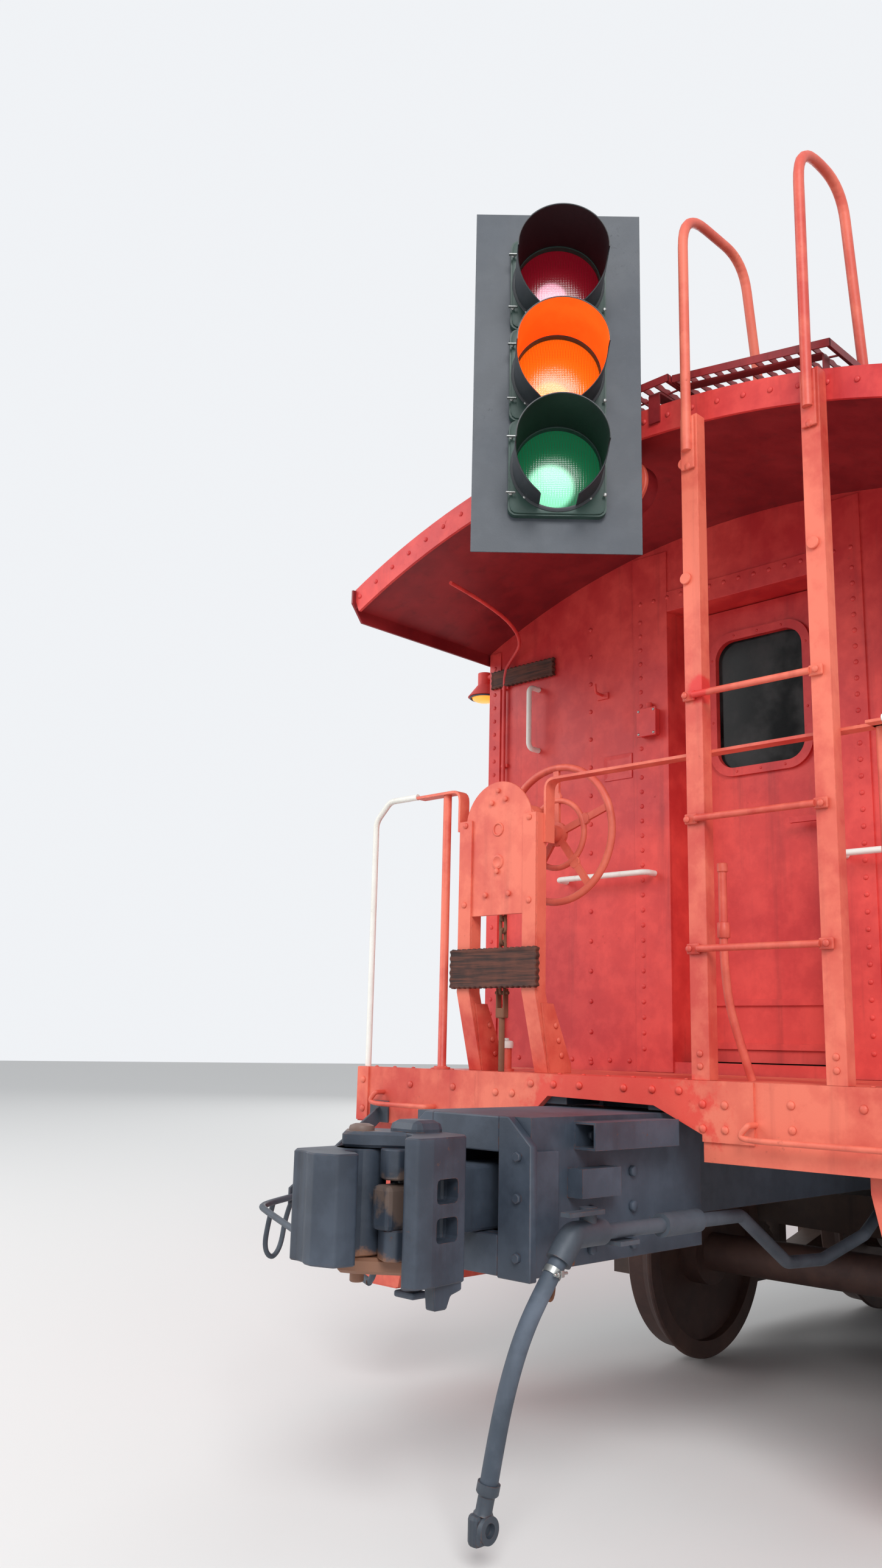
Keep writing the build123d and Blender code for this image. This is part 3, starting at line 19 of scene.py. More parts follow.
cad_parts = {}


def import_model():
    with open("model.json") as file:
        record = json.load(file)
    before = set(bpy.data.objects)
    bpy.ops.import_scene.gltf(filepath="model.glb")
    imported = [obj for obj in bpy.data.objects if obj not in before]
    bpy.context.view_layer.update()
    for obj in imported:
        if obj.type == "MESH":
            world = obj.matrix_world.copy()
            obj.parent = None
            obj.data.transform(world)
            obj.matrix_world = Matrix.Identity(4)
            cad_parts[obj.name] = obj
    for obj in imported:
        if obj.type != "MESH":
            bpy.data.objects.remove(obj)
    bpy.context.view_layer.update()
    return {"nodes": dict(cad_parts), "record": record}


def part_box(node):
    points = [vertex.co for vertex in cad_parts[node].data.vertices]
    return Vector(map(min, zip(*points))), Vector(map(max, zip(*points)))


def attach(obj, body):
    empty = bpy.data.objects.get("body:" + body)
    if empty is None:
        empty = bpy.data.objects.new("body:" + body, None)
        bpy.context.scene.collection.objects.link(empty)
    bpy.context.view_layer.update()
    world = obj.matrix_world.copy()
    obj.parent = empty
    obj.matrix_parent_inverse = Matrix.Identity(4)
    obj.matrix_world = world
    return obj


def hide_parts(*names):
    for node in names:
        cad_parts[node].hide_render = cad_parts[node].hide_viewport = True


LOG = logging.getLogger("caboose")
Point = tuple[float, float, float]

HALF = 5.485
WALL_OUT = 4.555
BODY_HALF = 1.375
ROOF_UNDER = 3.272
ROOF_CENTRE = 0.245
SEAMS = (1.9, 2.8, 3.8, 4.8)
LAPS = (0.0, 1.7, 3.0, 4.24)

# Straight out of the B end, straight up, both ends with their letters, and both sides
AHEAD: Point = (-1.0, 0.0, 0.0)
UP: Point = (0.0, 0.0, 1.0)
ENDS = ((-1, "b"), (1, "a"))
SIDES = (-1, 1)


def shade(red: int, green: int, blue: int) -> tuple[float, float, float, float]:
    """A colour as seen on screen, as the linear colour that a shader takes.

    Args:
        red: Red, 0 to 255.
        green: Green, 0 to 255.
        blue: Blue, 0 to 255.

    Returns:
        The linear colour with a full alpha.
    """
    parts = []
    for part in (red, green, blue):
        share = part / 255
        parts.append(share / 12.92 if share <= 0.04045 else ((share + 0.055) / 1.055) ** 2.4)
    return (parts[0], parts[1], parts[2], 1.0)


class Tree:
    """A shader tree with short ways to add and join its nodes."""

    def __init__(self, tree: bpy.types.NodeTree) -> None:
        """Keeps the tree that the nodes go into."""
        self.tree = tree

    def node(self, kind: str, **values: object) -> bpy.types.Node:
        """Adds a node.

        Args:
            kind: The node's type, without its ShaderNode prefix.
            values: Properties of the node.

        Returns:
            The new node.
        """
        made = self.tree.nodes.new("ShaderNode" + kind)
        for name, value in values.items():
            setattr(made, name, value)
        return made

    def feed(self, socket: bpy.types.NodeSocket, source: object) -> None:
        """Joins a source to a socket, or sets the socket's own value."""
        if isinstance(source, bpy.types.NodeSocket):
            self.tree.links.new(source, socket)
        else:
            socket.default_value = source

    def maths(
        self, operation: str, first: object, second: object = 0.0, clamp: bool = False
    ) -> bpy.types.NodeSocket:
        """A sum of two values.

        Args:
            operation: The Math node's operation.
            first: First value or socket.
            second: Second value or socket.
            clamp: Whether the result stays from 0 to 1.

        Returns:
            The result's socket.
        """
        made = self.node("Math", operation=operation, use_clamp=clamp)
        self.feed(made.inputs[0], first)
        self.feed(made.inputs[1], second)
        return made.outputs[0]

    def blend(
        self, share: object, first: object, second: object, mode: str = "MIX"
    ) -> bpy.types.NodeSocket:
        """A mix of two colours.

        Args:
            share: How much of the second colour shows.
            first: First colour or socket.
            second: Second colour or socket.
            mode: The blend mode.

        Returns:
            The mixed colour's socket.
        """
        made = self.node("Mix", data_type="RGBA", blend_type=mode)
        self.feed(made.inputs[0], share)
        self.feed(made.inputs[6], first)
        self.feed(made.inputs[7], second)
        return made.outputs[2]

    def ramp(self, value: object, low: object, high: object) -> bpy.types.NodeSocket:
        """A value stretched so that low becomes 0 and high becomes 1.

        Args:
            value: The value's socket.
            low: What becomes 0.
            high: What becomes 1.

        Returns:
            The stretched value's socket.
        """
        made = self.node("MapRange", interpolation_type="SMOOTHSTEP")
        self.feed(made.inputs[0], value)
        self.feed(made.inputs[1], low)
        self.feed(made.inputs[2], high)
        return made.outputs[0]

    def noise(
        self, where: object, scale: object, detail: float = 4.0, rough: float = 0.55
    ) -> bpy.types.NodeSocket:
        """Cloudy noise.

        Args:
            where: The coordinates' socket.
            scale: How many clouds there are in a metre.
            detail: Octaves.
            rough: How strong the small octaves are.

        Returns:
            The noise's socket, from 0 to 1.
        """
        made = self.node("TexNoise")
        self.feed(made.inputs["Vector"], where)
        self.feed(made.inputs["Scale"], scale)
        made.inputs["Detail"].default_value = detail
        made.inputs["Roughness"].default_value = rough
        return made.outputs["Fac"]

    def stretched(self, where: object, scale: Point) -> bpy.types.NodeSocket:
        """Coordinates scaled by axis."""
        made = self.node("Mapping")
        self.feed(made.inputs["Vector"], where)
        made.inputs["Scale"].default_value = scale
        return made.outputs[0]


def group_of(
    name: str, inputs: Sequence[tuple[str, str, object]], outputs: Sequence[tuple[str, str]]
) -> Tree:
    """Starts a node group with named sockets.

    Args:
        name: The group's name.
        inputs: Name, socket type and default of each input.
        outputs: Name and socket type of each output.

    Returns:
        The group's tree, with a group input and a group output in it.
    """
    tree = bpy.data.node_groups.new(name, "ShaderNodeTree")
    for label, kind, value in inputs:
        socket = tree.interface.new_socket(name=label, in_out="INPUT", socket_type="NodeSocket" + kind)
        if value is not None:
            socket.default_value = value
    for label, kind in outputs:
        tree.interface.new_socket(name=label, in_out="OUTPUT", socket_type="NodeSocket" + kind)
    made = Tree(tree)
    made.node("TexCoord").name = "place"
    made.tree.nodes.new("NodeGroupInput").name = "in"
    made.tree.nodes.new("NodeGroupOutput").name = "out"
    return made


class Effects:
    """Node groups that more than one finish uses."""

    def __init__(self) -> None:
        """Builds each group once."""
        self.edges = self.edge_wear()
        self.weather = self.weathering()
        self.grain = self.wood_grain()

    def edge_wear(self) -> bpy.types.NodeTree:
        """Where a shape's edges stand out.

        Returns:
            A group that gives a mask from the difference between a rounded normal and the real one.
        """
        made = group_of(
            "edge_wear", [("Width", "Float", 0.004), ("Broken", "Float", 40.0)], [("Mask", "Float")]
        )
        taken, given = made.tree.nodes["in"], made.tree.nodes["out"]
        round_normal = made.node("Bevel", samples=4)
        made.feed(round_normal.inputs["Radius"], taken.outputs["Width"])
        flat_normal = made.node("NewGeometry")
        turn = made.node("VectorMath", operation="DOT_PRODUCT")
        made.feed(turn.inputs[0], round_normal.outputs[0])
        made.feed(turn.inputs[1], flat_normal.outputs["Normal"])
        bare = made.maths("SUBTRACT", 1.0, turn.outputs["Value"])
        cloud = made.noise(made.tree.nodes["place"].outputs["Object"], taken.outputs["Broken"], 5.0, 0.65)
        worn = made.maths("MULTIPLY", made.ramp(bare, 0.02, 0.25), made.ramp(cloud, 0.42, 0.62))
        made.feed(given.inputs["Mask"], worn)
        return made.tree

    def weathering(self) -> bpy.types.NodeTree:
        """Paint that has faded, run and rusted.

        Returns:
            A group that gives the paint's colour, its roughness and its height.
        """
        inputs = [
            ("Paint", "Color", (0.5, 0.1, 0.1, 1)),
            ("Faded", "Color", (0.7, 0.2, 0.2, 1)),
            ("Dirt", "Color", (0.1, 0.03, 0.02, 1)),
            ("Rust", "Color", (0.15, 0.05, 0.02, 1)),
            ("Fade", "Float", 0.6),
            ("Runs", "Float", 0.5),
            ("Spots", "Float", 0.4),
            ("Wear", "Float", 0.5),
            ("Roughness", "Float", 0.5),
        ]
        outputs = [("Color", "Color"), ("Roughness", "Float"), ("Height", "Float")]
        made = group_of("weathering", inputs, outputs)
        taken, given = made.tree.nodes["in"].outputs, made.tree.nodes["out"].inputs
        where = made.tree.nodes["place"].outputs["Object"]
        clouds = made.ramp(made.noise(where, 1.3, 6.0, 0.6), 0.38, 0.66)
        mottle = made.ramp(made.noise(where, 9.0, 5.0, 0.6), 0.40, 0.64)
        faded = made.maths(
            "MULTIPLY", made.maths("ADD", clouds, made.maths("MULTIPLY", mottle, 0.45)), taken["Fade"], True
        )
        colour = made.blend(faded, taken["Paint"], taken["Faded"])
        runs = made.ramp(made.noise(made.stretched(where, (14.0, 14.0, 0.8)), 1.0, 5.0, 0.6), 0.52, 0.78)
        colour = made.blend(made.maths("MULTIPLY", runs, taken["Runs"]), colour, taken["Dirt"])
        fine = made.noise(where, 55.0, 6.0, 0.7)
        patch = made.ramp(made.noise(where, 4.0, 4.0, 0.6), 0.50, 0.72)
        spots = made.maths("MULTIPLY", made.ramp(fine, 0.60, 0.70), patch)
        colour = made.blend(made.maths("MULTIPLY", spots, taken["Spots"], True), colour, taken["Rust"])
        edge = made.tree.nodes.new("ShaderNodeGroup")
        edge.node_tree = self.edges
        worn = made.maths("MULTIPLY", edge.outputs["Mask"], taken["Wear"], True)
        colour = made.blend(worn, colour, taken["Rust"])
        grime = made.maths("ADD", made.maths("MULTIPLY", spots, 0.25), made.maths("MULTIPLY", clouds, 0.12))
        made.feed(given["Color"], colour)
        made.feed(given["Roughness"], made.maths("ADD", taken["Roughness"], grime, True))
        peel = made.maths("MULTIPLY", made.noise(where, 160.0, 3.0, 0.5), 0.35)
        pits = made.maths("SUBTRACT", peel, made.maths("MULTIPLY", spots, 0.9))
        made.feed(given["Height"], made.maths("ADD", pits, made.maths("MULTIPLY", fine, 0.3)))
        return made.tree

    def wood_grain(self) -> bpy.types.NodeTree:
        """Old boards with dark grain and cracks along them.

        Returns:
            A group that gives the wood's colour and its height.
        """
        inputs = [
            ("Dark", "Color", (0.02, 0.01, 0.01, 1)),
            ("Light", "Color", (0.12, 0.05, 0.03, 1)),
            ("Along", "Vector", (3.0, 3.0, 60.0)),
        ]
        made = group_of("wood_grain", inputs, [("Color", "Color"), ("Height", "Float")])
        taken, given = made.tree.nodes["in"].outputs, made.tree.nodes["out"].inputs
        scaled = made.node("VectorMath", operation="MULTIPLY")
        made.feed(scaled.inputs[0], made.tree.nodes["place"].outputs["Object"])
        made.feed(scaled.inputs[1], taken["Along"])
        lines = made.noise(scaled.outputs[0], 1.6, 6.0, 0.65)
        knots = made.noise(made.tree.nodes["place"].outputs["Object"], 11.0, 3.0)
        share = made.ramp(made.maths("ADD", lines, made.maths("MULTIPLY", knots, 0.35)), 0.50, 0.86)
        made.feed(given["Color"], made.blend(share, taken["Dark"], taken["Light"]))
        made.feed(given["Height"], lines)
        return made.tree


@dataclass(frozen=True)
class Patch:
    """A place where a finish has another colour: fresh paint, bare metal or rust."""

    middle: Point
    reach: Point
    colour: tuple[int, int, int]
    share: float = 1.0

    def over(self, tree: Tree, place: bpy.types.NodeSocket, colour: object) -> bpy.types.NodeSocket:
        """Lays the patch over a colour, with a ragged edge.

        Args:
            tree: The material's tree.
            place: Object coordinates.
            colour: What it lies on.

        Returns:
            The colour with the patch on it.
        """
        shift = tree.node("VectorMath", operation="SUBTRACT")
        tree.feed(shift.inputs[0], place)
        shift.inputs[1].default_value = self.middle
        scaled = tree.node("VectorMath", operation="DIVIDE")
        tree.feed(scaled.inputs[0], shift.outputs[0])
        scaled.inputs[1].default_value = self.reach
        length = tree.node("VectorMath", operation="LENGTH")
        tree.feed(length.inputs[0], scaled.outputs[0])
        ragged = tree.maths("MULTIPLY", tree.noise(place, 22.0, 5.0, 0.65), 1.1)
        distance = tree.maths("ADD", length.outputs["Value"], ragged)
        mask = tree.ramp(distance, 1.55, 1.25)
        return tree.blend(tree.maths("MULTIPLY", mask, self.share), colour, shade(*self.colour))


@dataclass(frozen=True)
class Paint:
    """A weathered paint or bare metal."""

    slot: str
    paint: tuple[int, int, int]
    faded: tuple[int, int, int]
    dirt: tuple[int, int, int] = (70, 16, 18)
    rust: tuple[int, int, int] = (92, 48, 32)
    fade: float = 0.6
    runs: float = 0.3
    spots: float = 0.3
    wear: float = 0.4
    roughness: float = 0.45
    metallic: float = 0.0
    relief: float = 0.0012
    glow: float = 0.0
    patches: tuple[Patch, ...] = ()

    def build(self, effects: Effects) -> bpy.types.Material:
        """Makes the finish as a material.

        Args:
            effects: The shared node groups.

        Returns:
            The material, named after its slot.
        """
        made = bpy.data.materials.new(self.slot)
        made.use_nodes = True
        tree = Tree(made.node_tree)
        shader = made.node_tree.nodes["Principled BSDF"]
        cover = made.node_tree.nodes.new("ShaderNodeGroup")
        cover.node_tree = effects.weather
        cover.inputs["Paint"].default_value = shade(*self.paint)
        cover.inputs["Faded"].default_value = shade(*self.faded)
        cover.inputs["Dirt"].default_value = shade(*self.dirt)
        cover.inputs["Rust"].default_value = shade(*self.rust)
        cover.inputs["Fade"].default_value = self.fade
        cover.inputs["Runs"].default_value = self.runs
        cover.inputs["Spots"].default_value = self.spots
        cover.inputs["Wear"].default_value = self.wear
        cover.inputs["Roughness"].default_value = self.roughness
        colour = cover.outputs["Color"]
        place = tree.node("TexCoord").outputs["Object"]
        for patch in self.patches:
            colour = patch.over(tree, place, colour)
        tree.feed(shader.inputs["Base Color"], colour)
        tree.feed(shader.inputs["Roughness"], cover.outputs["Roughness"])
        shader.inputs["Metallic"].default_value = self.metallic
        if self.glow:
            tree.feed(shader.inputs["Emission Color"], colour)
            shader.inputs["Emission Strength"].default_value = self.glow
        relief = tree.node("Bump")
        relief.inputs["Strength"].default_value = 0.6
        relief.inputs["Distance"].default_value = self.relief
        tree.feed(relief.inputs["Height"], cover.outputs["Height"])
        tree.feed(shader.inputs["Normal"], relief.outputs[0])
        return made


@dataclass(frozen=True)
class Wood:
    """Weathered boards."""

    slot: str
    dark: tuple[int, int, int] = (38, 20, 16)
    light: tuple[int, int, int] = (96, 52, 38)
    along: Point = (6.0, 3.0, 70.0)

    def build(self, effects: Effects) -> bpy.types.Material:
        """Makes the finish as a material.

        Args:
            effects: The shared node groups.

        Returns:
            The material, named after its slot.
        """
        made = bpy.data.materials.new(self.slot)
        made.use_nodes = True
        tree = Tree(made.node_tree)
        shader = made.node_tree.nodes["Principled BSDF"]
        grain = made.node_tree.nodes.new("ShaderNodeGroup")
        grain.node_tree = effects.grain
        grain.inputs["Dark"].default_value = shade(*self.dark)
        grain.inputs["Light"].default_value = shade(*self.light)
        grain.inputs["Along"].default_value = self.along
        tree.feed(shader.inputs["Base Color"], grain.outputs["Color"])
        shader.inputs["Roughness"].default_value = 0.75
        relief = tree.node("Bump")
        relief.inputs["Strength"].default_value = 0.7
        relief.inputs["Distance"].default_value = 0.002
        tree.feed(relief.inputs["Height"], grain.outputs["Height"])
        tree.feed(shader.inputs["Normal"], relief.outputs[0])
        return made


@dataclass(frozen=True)
class Glass:
    """Window glass or a coloured lens, closed to the dark behind it."""

    slot: str
    colour: tuple[int, int, int]
    roughness: float = 0.06
    glow: float = 0.0
    prisms: float = 0.0
    specular: float = 0.5

    def build(self, effects: Effects) -> bpy.types.Material:
        """Makes the finish as a material.

        Args:
            effects: The shared node groups, which glass does without.

        Returns:
            The material, named after its slot.
        """
        made = bpy.data.materials.new(self.slot)
        made.use_nodes = True
        tree = Tree(made.node_tree)
        shader = made.node_tree.nodes["Principled BSDF"]
        place = tree.node("TexCoord").outputs["Object"]
        smear = tree.ramp(tree.noise(place, 7.0, 5.0), 0.35, 0.75)
        full = shade(*self.colour)
        dusty = tuple(0.75 * part + 0.03 for part in full[:3]) + (1.0,)
        tree.feed(shader.inputs["Base Color"], tree.blend(smear, full, dusty))
        tree.feed(
            shader.inputs["Roughness"],
            tree.maths("ADD", tree.maths("MULTIPLY", smear, 0.12), self.roughness)
        )
        shader.inputs["Specular IOR Level"].default_value = self.specular
        if self.prisms:
            cells = tree.node("TexVoronoi", feature="F1")
            tree.feed(cells.inputs["Vector"], place)
            cells.inputs["Scale"].default_value = self.prisms
            cells.inputs["Randomness"].default_value = 0.15
            relief = tree.node("Bump")
            relief.inputs["Strength"].default_value = 0.5
            relief.inputs["Distance"].default_value = 0.003
            tree.feed(relief.inputs["Height"], cells.outputs["Distance"])
            tree.feed(shader.inputs["Normal"], relief.outputs[0])
        if self.glow:
            tree.feed(shader.inputs["Emission Color"], tree.blend(smear, full, dusty))
            shader.inputs["Emission Strength"].default_value = self.glow
        return made


@dataclass(frozen=True)
class SignalGlass:
    """Three moulded lenses, red over amber over green, each with a painted highlight: a lighter round patch
    low on the lens that glows with it.
    """

    slot: str
    middle: Point = (-5.685, 0.040, 3.645)
    pitch: float = 0.356
    prisms: float = 150.0

    def build(self, effects: Effects) -> bpy.types.Material:
        """Makes the finish as a material.

        Args:
            effects: The shared node groups, which glass does without.

        Returns:
            The material, named after its slot.
        """
        made = bpy.data.materials.new(self.slot)
        made.use_nodes = True
        tree = Tree(made.node_tree)
        shader = made.node_tree.nodes["Principled BSDF"]
        place = tree.node("TexCoord").outputs["Object"]
        height = tree.node("SeparateXYZ")
        tree.feed(height.inputs[0], place)
        upper = tree.maths("GREATER_THAN", height.outputs[2], self.middle[2] + self.pitch / 2)
        lower = tree.maths("LESS_THAN", height.outputs[2], self.middle[2] - self.pitch / 2)
        deep = tree.blend(upper, shade(255, 118, 20), shade(120, 8, 26))
        deep = tree.blend(lower, deep, shade(16, 104, 66))
        # Lighter colours of each lens, used for its painted highlight.
        highlight_colour = tree.blend(upper, shade(255, 160, 44), shade(226, 140, 164))
        highlight_colour = tree.blend(lower, highlight_colour, shade(140, 240, 190))
        glow: object = 0.0
        # Painted highlights: a soft round mask low on each lens, lighter than the lens and cast by no light.
        for row, drop, reach in ((1, 0.045, 0.062), (0, 0.095, 0.080), (-1, 0.070, 0.095)):
            patch = tree.node("VectorMath", operation="DISTANCE")
            tree.feed(patch.inputs[0], place)
            patch.inputs[1].default_value = (
                self.middle[0] - 0.030,
                self.middle[1] + 0.005,
                self.middle[2] + row * self.pitch - drop,
            )
            spot = tree.ramp(patch.outputs["Value"], reach, reach * 0.72)
            glow = tree.maths("MAXIMUM", glow, spot)
        colour = tree.blend(glow, deep, highlight_colour)
        cells = tree.node("TexVoronoi", feature="F1")
        tree.feed(cells.inputs["Vector"], place)
        cells.inputs["Scale"].default_value = self.prisms
        cells.inputs["Randomness"].default_value = 0.05
        dots = tree.ramp(cells.outputs["Distance"], 0.30, 0.75)
        colour = tree.blend(tree.maths("MULTIPLY", dots, 0.30), colour, shade(60, 20, 8))
        tree.feed(shader.inputs["Base Color"], colour)
        shader.inputs["Roughness"].default_value = 0.16
        # The emission carries the painted highlights too, so they glow with the lens.
        tree.feed(shader.inputs["Emission Color"], colour)
        shader.inputs["Emission Strength"].default_value = 0.50
        relief = tree.node("Bump")
        relief.inputs["Strength"].default_value = 0.35
        relief.inputs["Distance"].default_value = 0.0015
        tree.feed(relief.inputs["Height"], cells.outputs["Distance"])
        tree.feed(shader.inputs["Normal"], relief.outputs[0])
        return made


FINISHES = (
    Paint(
        "body_red", (188, 36, 40), (230, 78, 70), (112, 18, 24), (88, 40, 30), fade=0.70, runs=0.34,
        spots=0.30, wear=0.25, roughness=0.48
    ),
    Paint(
        "trim_red", (194, 62, 52), (228, 115, 92), (124, 36, 31), (110, 56, 36), fade=0.85, runs=0.26,
        spots=0.45, wear=0.55,
        patches=(
            Patch((-5.49, -0.05, 1.11), (0.30, 0.42, 0.20), (220, 56, 46), 0.75),
            Patch((-5.49, -0.40, 2.46), (0.08, 0.05, 0.06), (214, 40, 40), 0.80),
        )
    ),
    # roof_red is darkened well below the body's red as painted shade, standing in for the dark under the
    # eaves.
    Paint(
        "roof_red", (112, 15, 23), (160, 42, 44), (60, 10, 16), fade=0.50, runs=0.35, spots=0.40, wear=0.35
    ),
    Paint(
        "white_paint", (222, 220, 212), (240, 238, 232), (150, 140, 126), (120, 74, 50), runs=0.3,
        spots=0.5, wear=0.5
    ),
    Paint(
        "underframe_grey", (46, 54, 66), (76, 86, 100), (34, 30, 32), (112, 68, 46), fade=0.65, runs=0.40,
        spots=0.95, wear=0.85, roughness=0.48,
        patches=(
            Patch((-6.47, 0.05, 0.715), (0.14, 0.16, 0.06), (150, 102, 72), 0.75),
            Patch((-6.435, 0.110, 1.085), (0.07, 0.07, 0.05), (132, 104, 88), 0.65),
            Patch((-6.43, -0.03, 0.90), (0.06, 0.08, 0.09), (132, 108, 92), 0.60),
        )
    ),
    Paint(
        "running_gear", (56, 42, 38), (86, 66, 56), (34, 27, 25), (108, 62, 40), runs=0.4, spots=0.9,
        wear=0.6, roughness=0.65
    ),
    Paint(
        "wheel_steel", (66, 46, 42), (100, 74, 64), (38, 28, 27), (122, 70, 46), runs=0.1, spots=0.9,
        wear=0.5, roughness=0.6, metallic=0.15
    ),
    Paint(
        "hose_rubber", (60, 70, 82), (98, 108, 122), (40, 44, 50), (88, 80, 74), fade=0.75, runs=0.2,
        spots=0.3, wear=0.1, roughness=0.6
    ),
    Paint(
        "fitting_metal", (54, 62, 72), (90, 98, 108), (34, 34, 36), (116, 72, 48), runs=0.3, spots=0.9,
        wear=0.9, roughness=0.5, metallic=0.1
    ),
    Glass("dark_glass", (8, 9, 10), 0.12, specular=0.10),
    Wood("sign_wood"),
    Paint(
        "signal_black", (34, 38, 42), (52, 58, 64), (22, 24, 27), (104, 104, 100), fade=0.4, runs=0.15,
        spots=0.25, wear=0.35, roughness=0.42
    ),
    Paint(
        "signal_green", (34, 58, 52), (58, 86, 78), (22, 34, 31), (104, 112, 106), fade=0.5, runs=0.1,
        spots=0.2, wear=0.3, roughness=0.45
    ),
    SignalGlass("signal_lens"),
    Paint(
        "backplate_slate", (62, 68, 76), (84, 90, 98), (44, 48, 54), (190, 188, 184), fade=0.5, runs=0.12,
        spots=0.35, wear=0.3, roughness=0.5
    ),
    # Visor linings as painted lamp light and painted shade inside the visors. The amber one is a painted
    # orange glow that also emits. The red one is near black with a painted red cast, and the green one near
    # black with a painted green cast.
    Paint(
        "visor_painted_amber_glow", (250, 84, 16), (255, 112, 30), (190, 56, 14), (120, 40, 14), fade=0.5, runs=0.1,
        spots=0.2, wear=0.1, roughness=0.4, glow=0.55
    ),
    Paint(
        "visor_painted_red_cast", (26, 12, 16), (40, 16, 20), (14, 8, 10), (40, 18, 18), fade=0.5, runs=0.1,
        spots=0.2, wear=0.1, roughness=0.5
    ),
    Paint(
        "visor_painted_green_cast", (16, 26, 26), (26, 38, 36), (10, 16, 16), (40, 48, 46), fade=0.5, runs=0.1,
        spots=0.2, wear=0.1, roughness=0.45
    ),
    Paint(
        "bright_zinc", (150, 152, 150), (196, 198, 196), (90, 90, 88), (120, 96, 70), fade=0.6, runs=0.1,
        spots=0.4, wear=0.2, roughness=0.32, metallic=0.8
    ),
    Paint(
        "iron_rust", (96, 62, 46), (132, 86, 62), (58, 40, 34), (150, 84, 50), fade=0.7, runs=0.3,
        spots=0.9, wear=0.5, roughness=0.75
    ),
    Glass("lamp_amber", (255, 170, 60), 0.2, glow=0.9),
    Glass("lamp_glass", (196, 200, 196), 0.15, prisms=60.0),
)


class Head(Enum):
    """The shapes of a fastener's head."""

    ROUND = "round"
    HEX = "hex"
    SQUARE = "square"


@dataclass(frozen=True)
class Spot:
    """Where a copied piece goes, and which way its Z axis then points."""

    place: Point
    normal: Point
    turn: float = 0.0
    size: float = 1.0

    def matrix(self) -> Matrix:
        """The spot as a matrix."""
        aim = Vector(self.normal).to_track_quat("Z", "Y").to_matrix().to_4x4()
        spin = Matrix.Rotation(self.turn, 4, "Z")
        return Matrix.Translation(self.place) @ aim @ spin @ Matrix.Scale(self.size, 4)

    def at_end(self, way: int) -> "Spot":
        """The spot at the B end for -1, or turned half round to the A end for 1."""
        if way < 0:
            return self
        x, y, z = self.place
        across, along, up = self.normal
        return Spot((-x, -y, z), (-across, -along, up), self.turn, self.size)


def steps(start: float, stop: float, pitch: float) -> list[float]:
    """Evenly spread places from start to stop, about a pitch apart."""
    count = max(1, round(abs(stop - start) / pitch))
    return [start + (stop - start) * number / count for number in range(count + 1)]


